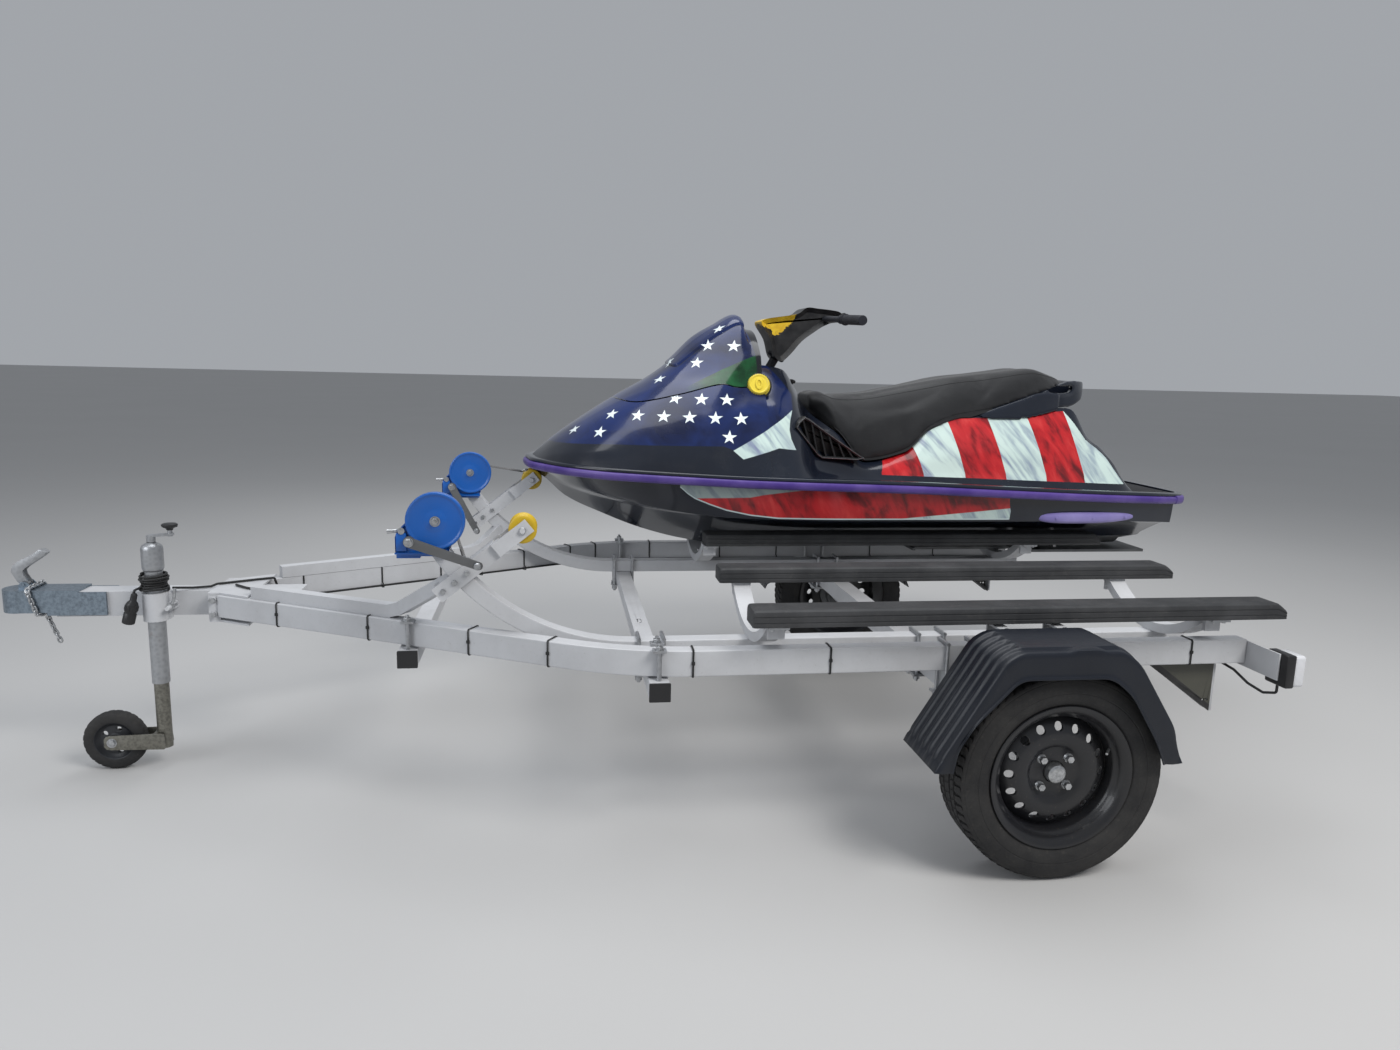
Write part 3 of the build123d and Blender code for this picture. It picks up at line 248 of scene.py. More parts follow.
def across(pts, per, corner, mirror_end=True):
    """Smooth line through (w, z) points; corner[i] from 0 smooth to 1 sharp. The last point is on the centre line."""
    p = [np.array(q, float) for q in pts]
    ext = p + ([np.array((-p[-2][0], p[-2][1]))] if mirror_end else [])
    out = []
    for i in range(len(p) - 1):
        a, b = p[i], p[i + 1]
        L = np.linalg.norm(b - a)
        ta = b - a if i == 0 else None
        if ta is None:
            la, lb = np.linalg.norm(p[i] - p[i - 1]) + 1e-9, L + 1e-9
            t = ((p[i] - p[i - 1]) / la * lb + (b - a) / lb * la) / (la + lb) * L
            ta = (b - a) * corner[i] + t * (1 - corner[i])
        if i + 2 < len(ext):
            la, lb = L + 1e-9, np.linalg.norm(ext[i + 2] - b) + 1e-9
            t = ((b - a) / la * lb + (ext[i + 2] - b) / lb * la) / (la + lb) * L
            c = corner[i + 1] if i + 1 < len(corner) else 0.0
            tb = (b - a) * c + t * (1 - c)
        else:
            tb = b - a
        n = per[i] if isinstance(per, (list, tuple)) else per
        for k in range(n):
            t = k / n
            out.append((2 * t ** 3 - 3 * t ** 2 + 1) * a + (t ** 3 - 2 * t ** 2 + t) * ta
                       + (-2 * t ** 3 + 3 * t ** 2) * b + (t ** 3 - t ** 2) * tb)
    out.append(p[-1])
    return out


def section_body(rows, xs, per, corner, lane=LANE):
    """Closed smooth body through rows (x, w0, z0, w1, z1 ... , [w_last = 0], z_last)."""
    x = [r[0] for r in rows]
    n = (len(rows[0]) - 1) // 2
    W = [pchip(x, [r[1 + 2 * i] for r in rows], xs) for i in range(n)]
    Z = [pchip(x, [r[2 + 2 * i] for r in rows], xs) for i in range(n)]
    out = []
    for k, q in enumerate(xs):
        half = across([(W[i][k], Z[i][k]) for i in range(n)], per, corner)
        ring = [(q, lane - w, z) for w, z in half] + [(q, lane + w, z) for w, z in reversed(half[:-1])]
        out.append(ring)
    return out


def boolean(ob, other, op="DIFFERENCE"):
    md = ob.modifiers.new("cut", "BOOLEAN")
    md.operation = op
    md.solver = "EXACT"
    md.object = other
    dg = bpy.context.evaluated_depsgraph_get()
    me = bpy.data.meshes.new_from_object(ob.evaluated_get(dg))
    ob.modifiers.clear()
    old = ob.data
    ob.data = me
    bpy.data.meshes.remove(old)
    bm = bmesh.new()
    bm.from_mesh(me)
    bmesh.ops.remove_doubles(bm, verts=bm.verts, dist=2e-5)
    bmesh.ops.dissolve_degenerate(bm, edges=bm.edges, dist=1e-6)
    bm.to_mesh(me)
    bm.free()
    return ob


def cut_with(ob, *parts, op="DIFFERENCE"):
    for vs, fs in parts:
        tool = new_object("tool", vs, fs)
        boolean(ob, tool, op)
        bpy.data.objects.remove(tool, do_unlink=True)
    return ob


def block(x0, x1, y0, y1, z0, z1):
    vs = [(x, y, z) for x in (x0, x1) for y in (y0, y1) for z in (z0, z1)]
    return vs, [(0, 1, 3, 2), (4, 6, 7, 5), (0, 4, 5, 1), (2, 3, 7, 6), (0, 2, 6, 4), (1, 5, 7, 3)]


# ================================================================ materials
class Mat:
    def __init__(self, name):
        self.m = bpy.data.materials.new(name)
        self.m.use_nodes = True
        self.t = self.m.node_tree
        self.t.nodes.clear()
        self.o = self.t.nodes.new("ShaderNodeOutputMaterial")
        self.b = self.t.nodes.new("ShaderNodeBsdfPrincipled")
        self.t.links.new(self.b.outputs["BSDF"], self.o.inputs["Surface"])
        self.p = self.t.nodes.new("ShaderNodeTexCoord").outputs["Object"]

    def put(self, sock, v):
        if v is None:
            return
        if isinstance(v, bpy.types.NodeSocket):
            self.t.links.new(v, sock)
        elif isinstance(v, (tuple, list)) and len(v) == 3 and len(sock.default_value) == 4:
            sock.default_value = (*v, 1.0)
        else:
            sock.default_value = v

    def math(self, op, a, b=None, c=None, clamp=False):
        n = self.t.nodes.new("ShaderNodeMath")
        n.operation = op
        n.use_clamp = clamp
        for s, v in zip(n.inputs, (a, b, c)):
            self.put(s, v)
        return n.outputs[0]

    def vmath(self, op, a, b=None):
        n = self.t.nodes.new("ShaderNodeVectorMath")
        n.operation = op
        self.put(n.inputs[0], a)
        if b is not None:
            self.put(n.inputs[1], b)
        return n.outputs[0]

    def noise(self, scale, detail=4.0, rough=0.55, vec=None, dist=0.0):
        n = self.t.nodes.new("ShaderNodeTexNoise")
        self.put(n.inputs["Vector"], vec or self.p)
        n.inputs["Scale"].default_value = scale
        n.inputs["Detail"].default_value = detail
        n.inputs["Roughness"].default_value = rough
        n.inputs["Distortion"].default_value = dist
        return n.outputs["Fac"]

    def voronoi(self, scale, vec=None, feature="F1"):
        n = self.t.nodes.new("ShaderNodeTexVoronoi")
        n.feature = feature
        self.put(n.inputs["Vector"], vec or self.p)
        n.inputs["Scale"].default_value = scale
        return n.outputs["Distance"]

    def wave(self, scale, direction="X", vec=None, dist=0.0, detail=2.0, dscale=1.0):
        n = self.t.nodes.new("ShaderNodeTexWave")
        n.bands_direction = direction
        self.put(n.inputs["Vector"], vec or self.p)
        n.inputs["Scale"].default_value = scale
        n.inputs["Distortion"].default_value = dist
        n.inputs["Detail"].default_value = detail
        n.inputs["Detail Scale"].default_value = dscale
        return n.outputs["Fac"]

    def stretch(self, sx, sy, sz, vec=None):
        return self.vmath("MULTIPLY", vec or self.p, (sx, sy, sz))

    def mix(self, f, a, b, kind="MIX"):
        n = self.t.nodes.new("ShaderNodeMix")
        n.data_type = "RGBA"
        n.blend_type = kind
        self.put(n.inputs["Factor"], f)
        self.put([s for s in n.inputs if s.name == "A" and s.type == "RGBA"][0], a)
        self.put([s for s in n.inputs if s.name == "B" and s.type == "RGBA"][0], b)
        return [s for s in n.outputs if s.type == "RGBA"][0]

    def span(self, v, a0, a1, b0=0.0, b1=1.0, smooth=False):
        n = self.t.nodes.new("ShaderNodeMapRange")
        n.clamp = True
        if smooth:
            n.interpolation_type = "SMOOTHSTEP"
        for s, q in zip(n.inputs, (v, a0, a1, b0, b1)):
            self.put(s, q)
        return n.outputs[0]

    def bump(self, height, dist, strength=1.0, normal=None):
        n = self.t.nodes.new("ShaderNodeBump")
        n.inputs["Strength"].default_value = strength
        n.inputs["Distance"].default_value = dist
        self.put(n.inputs["Height"], height)
        if normal is not None:
            self.put(n.inputs["Normal"], normal)
        return n.outputs[0]

    def mm(self):
        """x from the axle, |y - lane|, z in millimetres, and the signed y."""
        v = self.vmath("MULTIPLY", self.p, (1000.0, 1000.0, 1000.0))
        v = self.vmath("SUBTRACT", v, (SH, LANE, 0.0))
        n = self.t.nodes.new("ShaderNodeSeparateXYZ")
        self.put(n.inputs[0], v)
        return n.outputs[0], self.math("ABSOLUTE", n.outputs[1]), n.outputs[2], n.outputs[1]

    def line(self, v, pts):
        """Piecewise straight function of v through (v, value) points."""
        v0, v1 = pts[0][0], pts[-1][0]
        lo, hi = min(p[1] for p in pts), max(p[1] for p in pts)
        hi = hi if hi > lo else lo + 1.0
        t = self.span(v, v0, v1)
        n = self.t.nodes.new("ShaderNodeFloatCurve")
        c = n.mapping.curves[0]
        pp = [((p[0] - v0) / (v1 - v0), (p[1] - lo) / (hi - lo)) for p in pts]
        c.points[0].location = pp[0]
        c.points[1].location = pp[-1]
        for q in pp[1:-1]:
            c.points.new(*q)
        for q in c.points:
            q.handle_type = "VECTOR"
        n.mapping.update()
        self.put(n.inputs["Value"], t)
        return self.math("MULTIPLY_ADD", n.outputs[0], hi - lo, lo)

    def over(self, a, b, soft=1.2):
        """1 where a is above b, with an edge soft wide."""
        return self.math("MULTIPLY_ADD", self.math("SUBTRACT", a, b), 1.0 / soft, 0.5, clamp=True)

    def both(self, *fs):
        v = fs[0]
        for f in fs[1:]:
            v = self.math("MULTIPLY", v, f)
        return v

    def done(self, color=None, rough=None, metal=None, normal=None, coat=None, coat_rough=0.05, ior=None, spec=None, sheen=None):
        b = self.b.inputs
        self.put(b["Base Color"], color)
        self.put(b["Roughness"], rough)
        self.put(b["Metallic"], metal)
        self.put(b["Normal"], normal)
        if coat is not None:
            self.put(b["Coat Weight"], coat)
            self.put(b["Coat Roughness"], coat_rough)
        if spec is not None:
            self.put(b["Specular IOR Level"], spec)
        if sheen is not None:
            self.put(b["Sheen Weight"], sheen)
        return self.m


def paint(name, col, dark, rough=0.38, grain=1.0, dirt=0.5, metal=0.0, coat=0.0):
    """Sprayed or powder-coated steel: orange peel, faint clouds of grime and dulled spots."""
    m = Mat(name)
    cloud = m.noise(5.0, 5.0, 0.6)
    fine = m.noise(38.0, 6.0, 0.65)
    speck = m.span(m.noise(160.0, 3.0, 0.5), 0.66, 0.74)
    f = m.math("MULTIPLY", m.span(cloud, 0.42, 0.72), dirt)
    c = m.mix(f, col, dark)
    c = m.mix(m.math("MULTIPLY", m.span(fine, 0.5, 0.8), 0.16 * dirt), c, tuple(v * 0.55 for v in dark))
    c = m.mix(m.math("MULTIPLY", speck, 0.35 * dirt), c, (0.16, 0.13, 0.10))
    r = m.math("MULTIPLY_ADD", fine, 0.22, rough - 0.06)
    nrm = m.bump(m.noise(240.0 * grain, 3.0, 0.5), 0.00025, 0.5)
    return m.done(c, r, metal, nrm, coat=coat or None)


def galvanised():
    m = Mat("galvanised_steel")
    cell = m.voronoi(90.0)
    cloud = m.noise(9.0, 6.0, 0.62)
    c = m.mix(m.span(cell, 0.1, 0.7), (0.35, 0.36, 0.375), (0.43, 0.44, 0.455))
    c = m.mix(m.math("MULTIPLY", m.span(cloud, 0.5, 0.78), 0.35), c, (0.22, 0.21, 0.19))
    c = m.mix(m.math("MULTIPLY", m.span(m.noise(26.0, 5.0, 0.7), 0.62, 0.75), 0.4), c, (0.20, 0.10, 0.05))
    r = m.span(cloud, 0.3, 0.8, 0.34, 0.62)
    return m.done(c, r, 0.85, m.bump(m.noise(180.0, 4.0, 0.6), 0.0004, 0.6))


def plain_steel(name="zinc_bolts", col=(0.55, 0.56, 0.57), rough=0.3):
    m = Mat(name)
    n = m.noise(120.0, 4.0, 0.6)
    c = m.mix(m.span(n, 0.4, 0.75), col, tuple(v * 0.55 for v in col))
    return m.done(c, m.math("MULTIPLY_ADD", n, 0.25, rough - 0.08), 0.95, m.bump(n, 0.0002, 0.4))


def plastic(name, col, rough=0.45, grain=420.0, depth=0.00012, fade=0.35, spec=0.5, tint=None):
    m = Mat(name)
    cl = m.noise(7.0, 5.0, 0.6)
    c = m.mix(m.math("MULTIPLY", m.span(cl, 0.4, 0.75), fade), col, tint or tuple(min(1.0, v * 1.9 + 0.006) for v in col))
    dust = m.span(m.noise(60.0, 6.0, 0.7), 0.58, 0.8)
    c = m.mix(m.math("MULTIPLY", dust, 0.10 * fade), c, (0.25, 0.23, 0.20))
    r = m.math("MULTIPLY_ADD", m.noise(30.0, 4.0, 0.6), 0.22, rough - 0.1)
    return m.done(c, r, 0.0, m.bump(m.noise(grain, 2.0, 0.5), depth, 0.7), spec=spec)


def rubber_tyre():
    m = Mat("tyre_rubber")
    cl = m.noise(10.0, 6.0, 0.65)
    fine = m.noise(90.0, 5.0, 0.6)
    c = m.mix(m.span(cl, 0.35, 0.75), (0.016, 0.016, 0.017), (0.035, 0.034, 0.033))
    c = m.mix(m.math("MULTIPLY", m.span(fine, 0.56, 0.8), 0.28), c, (0.11, 0.10, 0.09))
    return m.done(c, m.span(fine, 0.3, 0.7, 0.62, 0.85), 0.0, m.bump(m.noise(260.0, 4.0, 0.6), 0.0003, 0.6), spec=0.35)


BLACKBLUE = (0.0065, 0.0085, 0.015)


def flag_red(m, x, z):
    """Printed cloth red with soft folds."""
    lean = m.math("MULTIPLY_ADD", z, 0.55, x)
    q = m.t.nodes.new("ShaderNodeCombineXYZ")
    m.put(q.inputs[0], m.math("MULTIPLY", lean, 0.0105))
    m.put(q.inputs[1], m.math("MULTIPLY", z, 0.0042))
    folds = m.noise(1.0, 3.0, 0.5, vec=q.outputs[0], dist=1.6)
    fine = m.noise(3.4, 3.0, 0.6, vec=q.outputs[0], dist=1.0)
    f = m.math("MULTIPLY_ADD", fine, 0.30, m.math("MULTIPLY", folds, 0.72))
    c = m.mix(m.span(f, 0.34, 0.56, smooth=True), (0.100, 0.005, 0.008), (0.42, 0.013, 0.017))
    return m.mix(m.math("MULTIPLY", m.span(f, 0.56, 0.70), 0.55), c, (0.62, 0.06, 0.055))


def flag_white(m, x, z):
    lean = m.math("MULTIPLY_ADD", z, 0.75, x)
    q = m.t.nodes.new("ShaderNodeCombineXYZ")
    m.put(q.inputs[0], m.math("MULTIPLY", lean, 0.014))
    m.put(q.inputs[1], m.math("MULTIPLY", z, 0.0036))
    folds = m.noise(1.0, 3.0, 0.5, vec=q.outputs[0], dist=1.8)
    fine = m.noise(3.2, 3.0, 0.6, vec=q.outputs[0], dist=1.2)
    f = m.math("MULTIPLY_ADD", fine, 0.28, m.math("MULTIPLY", folds, 0.74))
    c = m.mix(m.span(f, 0.36, 0.58, smooth=True), (0.27, 0.34, 0.395), (0.50, 0.62, 0.59))
    return m.mix(m.math("MULTIPLY", m.span(f, 0.30, 0.39, 1.0, 0.0), 0.7), c, (0.15, 0.16, 0.30))


def body_gloss(name, kind):
    """Black-blue gelcoat; kind chooses which printed decoration it carries."""
    m = Mat(name)
    x, ay, z, sy = m.mm()
    tone = m.noise(3.0, 3.0, 0.5)
    c = m.mix(m.span(tone, 0.35, 0.7), BLACKBLUE, (0.010, 0.014, 0.024))
    if kind in ("deck", "cover"):
        blue = m.mix(m.span(m.noise(4.5, 4.0, 0.55, dist=0.8), 0.36, 0.66), (0.0026, 0.0065, 0.034), (0.0075, 0.021, 0.105))
        zb = m.line(x, BLUE_LOW)
        f = m.over(z, zb, 2.0)
        f = m.both(f, m.over(m.line(z, BLUE_AFT), x, 3.0))
        if kind == "deck":
            up, low, aft = m.line(x, PANEL_UP), m.line(x, PANEL_LOW), m.line(z, PANEL_AFT)
            f = m.both(f, m.over(z, m.line(x, PANEL_TOP_EDGE), 1.5))
            c = m.mix(f, c, blue)
            g = m.both(m.over(z, low, 1.5), m.over(up, z, 1.5), m.over(aft, x, 1.5))
            c = m.mix(g, c, flag_white(m, x, z))
            # saddle sides: leaning red and white stripes
            side = m.both(m.over(x, m.line(z, SADDLE_FRONT), 1.5), m.over(m.line(z, SADDLE_AFT), x, 1.5), m.over(z, m.line(x, SADDLE_LOW), 1.5),
                          m.over(m.line(x, SADDLE_TOP), z, 1.5))
            on = 0.0
            for i, edge in enumerate(STRIPES):
                e = m.over(x, m.line(z, edge), 1.2)
                on = m.math("ADD", on, e) if i % 2 == 0 else m.math("SUBTRACT", on, e)
            cloth = m.mix(on, flag_white(m, x, z), flag_red(m, x, z))
            c = m.mix(side, c, cloth)
        else:
            c = m.mix(f, c, blue)
            green = m.mix(m.span(m.noise(14.0, 4.0, 0.6), 0.35, 0.7), (0.0015, 0.020, 0.006), (0.006, 0.075, 0.022))
            gz = m.line(x, GREEN_TOP)
            g = m.both(m.over(gz, z, 2.0), m.span(x, -770.0, -700.0), m.span(ay, 150.0, 175.0))
            c = m.mix(g, c, green)
            rim = m.over(x, m.line(z, COVER_RIM), 3.0)
            c = m.mix(rim, c, (0.006, 0.007, 0.010))
    if kind == "hull":
        low, end = m.line(x, DECAL_LOW), m.line(z, DECAL_AFT)
        f = m.both(m.over(z, low, 1.5), m.over(end, x, 2.0), m.over(x, -799.0, 1.0), m.over(ay, 200.0, 1.0))
        cloth = flag_red(m, x, z)
        # white print at the top of the decal, mixed half with near black as painted shadow of the bumper
        cloth = m.mix(m.both(m.over(z, m.line(x, DECAL_WHITE_TOP), 3.0)), cloth, m.mix(0.5, flag_white(m, x, z), (0.06, 0.06, 0.08)))
        cloth = m.mix(m.over(m.line(x, DECAL_WAVE), z, 2.0), cloth, flag_white(m, x, z))
        cloth = m.mix(m.over(m.math("ADD", low, 4.5), z, 1.5), cloth, (0.5, 0.6, 0.6))
        c = m.mix(f, c, cloth)
    # dust and wipe marks
    dust = m.span(m.noise(11.0, 7.0, 0.7), 0.5, 0.85)
    c = m.mix(m.math("MULTIPLY", dust, 0.03), c, (0.30, 0.29, 0.28))
    r = m.math("MULTIPLY_ADD", m.noise(14.0, 6.0, 0.7), 0.18, 0.08)
    scr = m.noise(1.0, 5.0, 0.7, vec=m.vmath("MULTIPLY", m.p, (30.0, 30.0, 240.0)))
    nrm = m.bump(m.noise(55.0, 2.0, 0.4), 0.0002, 0.25, m.bump(scr, 0.00004, 0.3))
    return m.done(c, r, 0.0, nrm, coat=0.35, coat_rough=0.05, spec=0.38)


# places of the printed decoration, mm (x from the axle, z from the ground)
BLUE_LOW = [(-1300, 932), (-1235, 944), (-1000, 955), (-656, 961), (-625, 950), (-593, 921), (-300, 921)]
BLUE_AFT = [(900, -395), (1000, -400), (1075, -402), (1130, -392), (1180, -420), (1240, -470), (1330, -505), (1420, -520)]
PANEL_TOP_EDGE = [(-1300, 900), (-632, 900), (-625, 948), (-520, 1008), (-405, 1078), (-300, 1120)]
PANEL_UP = [(-640, 940), (-625, 948), (-520, 1008), (-405, 1078), (-300, 1130)]
PANEL_LOW = [(-640, 952), (-625, 948), (-593, 921), (-468, 957), (-402, 949), (-300, 949)]
PANEL_AFT = [(900, -402), (950, -404), (985, -420), (1015, -424), (1045, -418), (1078, -404), (1200, -404)]
SADDLE_FRONT = [(820, -60), (862, -62), (906, -40), (1000, 70), (1100, 200)]
SADDLE_AFT = [(760, 926), (825, 902), (867, 872), (915, 838), (952, 800), (985, 746), (1050, 694), (1101, 650)]
SADDLE_LOW = [(-200, 862), (-71, 856), (300, 846), (700, 832), (905, 822)]
SADDLE_TOP = [(-100, 880), (-30, 905), (27, 938), (60, 968), (117, 1018), (180, 1042), (240, 1054), (420, 1062), (620, 1084), (700, 1090)]
STRIPES = [[(780, -60 + 157 * k), (862, -64 + 157 * k), (950, -86 + 157 * k), (1100, -128 + 157 * k)] for k in range(6)]
GREEN_TOP = [(-780, 1140), (-740, 1160), (-640, 1210), (-560, 1246), (-490, 1272)]
COVER_RIM = [(1140, -520), (1260, -522), (1330, -532), (1400, -552)]
DECAL_LOW = [(-800, 826), (-771, 801), (-747, 785), (-696, 765), (-642, 747), (-560, 731), (-468, 722), (-331, 721.5), (390, 721.5)]
DECAL_AFT = [(700, 352), (753, 348), (775, 340), (793, 335), (900, 330)]
DECAL_WHITE_TOP = [(-800, 800), (-752, 787), (-699, 790), (-568, 796), (-524, 806), (-472, 814), (-373, 828), (-330, 870), (390, 900)]
DECAL_WAVE = [(-800, 700), (-160, 714), (390, 768)]

M_FRAME = paint("frame_paint", (0.46, 0.47, 0.49), (0.33, 0.33, 0.34), 0.40, dirt=0.5)
M_GALV = galvanised()
M_ZINC = plain_steel()
M_BLUE = paint("winch_blue", (0.004, 0.085, 0.36), (0.003, 0.05, 0.20), 0.3, dirt=0.4, coat=0.3)
M_RIM = paint("rim_black", (0.007, 0.0075, 0.010), (0.015, 0.0145, 0.014), 0.32, dirt=0.6, coat=0.2)
M_GUARD = plastic("guard_plastic", (0.0048, 0.0066, 0.0115), 0.40, 300.0, 0.0003, 0.25)
M_BLACK = plastic("black_plastic", (0.012, 0.012, 0.013), 0.42)
M_CAP = plastic("end_cap_plastic", (0.012, 0.012, 0.013), 0.5)
M_YELLOW = plastic("yellow_plastic", (0.50, 0.34, 0.014), 0.38, 300.0, 0.0002, 0.5, tint=(0.30, 0.18, 0.015))
M_CAPYEL = plastic("filler_yellow", (0.72, 0.58, 0.060), 0.34, 300.0, 0.0002, 0.5, tint=(0.50, 0.36, 0.03))
M_TYRE = rubber_tyre()
M_CABLE = plastic("cable_jacket", (0.010, 0.010, 0.010), 0.5, 500.0, 0.0001)
M_PURPLE = plastic("purple_bumper", (0.054, 0.028, 0.185), 0.4, 260.0, 0.0002, 0.6, tint=(0.15, 0.10, 0.33))
M_LAV = plastic("lavender_plastic", (0.175, 0.15, 0.365), 0.4, 260.0, 0.0002, 0.6, tint=(0.30, 0.27, 0.52))
M_GRIP = plastic("grip_rubber", (0.012, 0.013, 0.018), 0.6, 500.0, 0.0003)
M_ALLOY = paint("cast_alloy", (0.30, 0.30, 0.31), (0.16, 0.16, 0.16), 0.45, metal=0.8, dirt=0.6)


def bunk_rubber():
    m = Mat("bunk_rubber")
    cl = m.noise(8.0, 5.0, 0.6)
    rib = m.noise(1.0, 3.0, 0.5, vec=m.stretch(6.0, 260.0, 260.0))
    c = m.mix(m.span(cl, 0.35, 0.75), (0.026, 0.027, 0.029), (0.052, 0.053, 0.056))
    c = m.mix(m.math("MULTIPLY", m.span(m.noise(50.0, 6.0, 0.7), 0.55, 0.8), 0.25), c, (0.14, 0.13, 0.12))
    return m.done(c, 0.62, 0.0, m.bump(rib, 0.0006, 0.5), spec=0.4)


M_BUNK = bunk_rubber()


def webbing():
    m = Mat("strap_webbing")
    w = m.wave(260.0, "Y", dist=0.0)
    v = m.wave(300.0, "X")
    k = m.math("MULTIPLY", w, v)
    c = m.mix(k, (0.018, 0.018, 0.020), (0.075, 0.074, 0.075))
    c = m.mix(m.math("MULTIPLY", m.span(m.noise(20.0, 5.0, 0.6), 0.5, 0.8), 0.4), c, (0.16, 0.15, 0.13))
    return m.done(c, 0.85, 0.0, m.bump(k, 0.0006, 0.8), spec=0.2, sheen=0.3)


M_STRAP = webbing()


def seat_vinyl():
    m = Mat("seat_vinyl")
    grain = m.voronoi(700.0, feature="F1")
    wr = m.noise(1.0, 5.0, 0.6, vec=m.stretch(12.0, 26.0, 12.0), dist=0.5)
    cl = m.noise(6.0, 4.0, 0.6)
    c = m.mix(m.span(cl, 0.35, 0.7), (0.0085, 0.0088, 0.0098), (0.017, 0.0175, 0.019))
    c = m.mix(m.math("MULTIPLY", m.span(m.noise(40.0, 6.0, 0.7), 0.6, 0.85), 0.10), c, (0.20, 0.19, 0.17))
    n = m.bump(m.span(grain, 0.0, 0.6), 0.00035, 0.55, m.bump(wr, 0.0016, 0.35))
    return m.done(c, m.span(cl, 0.3, 0.8, 0.46, 0.60), 0.0, n, spec=0.42, sheen=0.12)


M_SEAT = seat_vinyl()
M_DECK = body_gloss("deck_gloss", "deck")
M_COVER = body_gloss("cover_gloss", "cover")
M_HULL = body_gloss("hull_gloss", "hull")
M_GLOSS = body_gloss("black_gloss", "plain")


def bracket_paint_and_shade():
    """Light grey plates; below the rails the plate stays are coloured black and dark olive as painted shade under the
    rails.
    """
    m = Mat("bracket_paint_and_shade")
    x, ay, z, sy = m.mm()
    n = m.noise(38.0, 6.0, 0.65)
    grey = m.mix(m.math("MULTIPLY", m.span(m.noise(5.0, 5.0, 0.6), 0.42, 0.72), 0.5), (0.46, 0.47, 0.49), (0.33, 0.33, 0.34))
    black = m.mix(m.span(n, 0.4, 0.75), (0.012, 0.012, 0.013), (0.035, 0.034, 0.033))
    # painted shade: below the rails the stays go dark olive, and black under the diagonal flange line
    f = m.both(m.over(464.9, z, 1.0), m.over(x, 370.0, 1.0), m.over(577.0, x, 1.0))
    shade_olive = m.mix(n, (0.050, 0.050, 0.040), (0.075, 0.074, 0.060))
    plate = m.over(z, m.line(x, [(378, 482), (576, 338)]), 2.0)
    c = m.mix(f, grey, m.mix(plate, black, shade_olive))
    return m.done(c, m.math("MULTIPLY_ADD", n, 0.2, 0.34), 0.0, m.bump(m.noise(240.0, 3.0, 0.5), 0.00025, 0.5))


M_BRACKET = bracket_paint_and_shade()


def lens_plastic():
    m = Mat("clear_lens")
    x, ay, z, sy = m.mm()
    w = m.wave(150.0, "Y")
    v = m.wave(110.0, "Z")
    ribs = m.wave(95.0, "X")
    k = m.math("MULTIPLY", w, v)
    c = m.mix(m.math("MULTIPLY", ribs, 0.7), (0.66, 0.67, 0.70), (0.40, 0.41, 0.44))
    c = m.mix(m.math("MULTIPLY", m.span(m.noise(30.0, 5.0, 0.6), 0.5, 0.8), 0.3), c, (0.35, 0.34, 0.33))
    red = m.mix(k, (0.42, 0.010, 0.008), (0.20, 0.005, 0.004))
    amber = m.mix(k, (0.62, 0.20, 0.010), (0.35, 0.10, 0.006))
    rear = m.over(x, 706.2, 0.8)
    face = m.mix(m.over(z, 486.0, 0.6), amber, red)
    face = m.mix(m.over(456.0, z, 0.6), face, c)
    return m.done(m.mix(rear, c, face), 0.12, 0.0, m.bump(k, 0.0006, 0.5, m.bump(ribs, 0.0005, 0.6)), coat=0.5)


M_LENS = lens_plastic()


def star_print():
    m = Mat("white_print")
    n = m.noise(40.0, 4.0, 0.6)
    c = m.mix(m.span(n, 0.35, 0.7), (0.66, 0.76, 0.80), (0.82, 0.86, 0.84))
    return m.done(c, m.math("MULTIPLY_ADD", n, 0.15, 0.12), 0.0, None, coat=0.8)


M_STAR = star_print()


def handle_cover():
    """Black moulding whose top front is a worn yellow patch with a ragged edge."""
    m = Mat("bar_cover")
    x, ay, z, sy = m.mm()
    rag = m.math("MULTIPLY_ADD", m.noise(60.0, 5.0, 0.75), 62.0, -31.0)
    edge = m.line(x, [(-480, 1382), (-464, 1364), (-434, 1358), (-427, 1340), (-403, 1344), (-374, 1368), (-353, 1386), (-336, 1440)])
    f = m.both(m.over(m.math("ADD", z, rag), edge, 1.0), m.over(m.math("ADD", rag, -345.0), x, 1.0))
    n = m.noise(30.0, 4.0, 0.6)
    black = m.mix(m.span(n, 0.35, 0.75), (0.010, 0.010, 0.011), (0.028, 0.028, 0.029))
    yel = m.mix(m.span(n, 0.35, 0.7), (0.72, 0.50, 0.03), (0.54, 0.33, 0.02))
    c = m.mix(f, black, yel)
    return m.done(c, m.math("MULTIPLY_ADD", n, 0.2, 0.30), 0.0, m.bump(m.noise(300.0, 2.0, 0.5), 0.00015, 0.6))


M_BARCOVER = handle_cover()
M_METAL_DARK = paint("engine_castings", (0.16, 0.165, 0.17), (0.06, 0.06, 0.06), 0.5, metal=0.6, dirt=0.8)
M_MAT = plastic("traction_mat", (0.020, 0.020, 0.022), 0.7, 160.0, 0.0012)

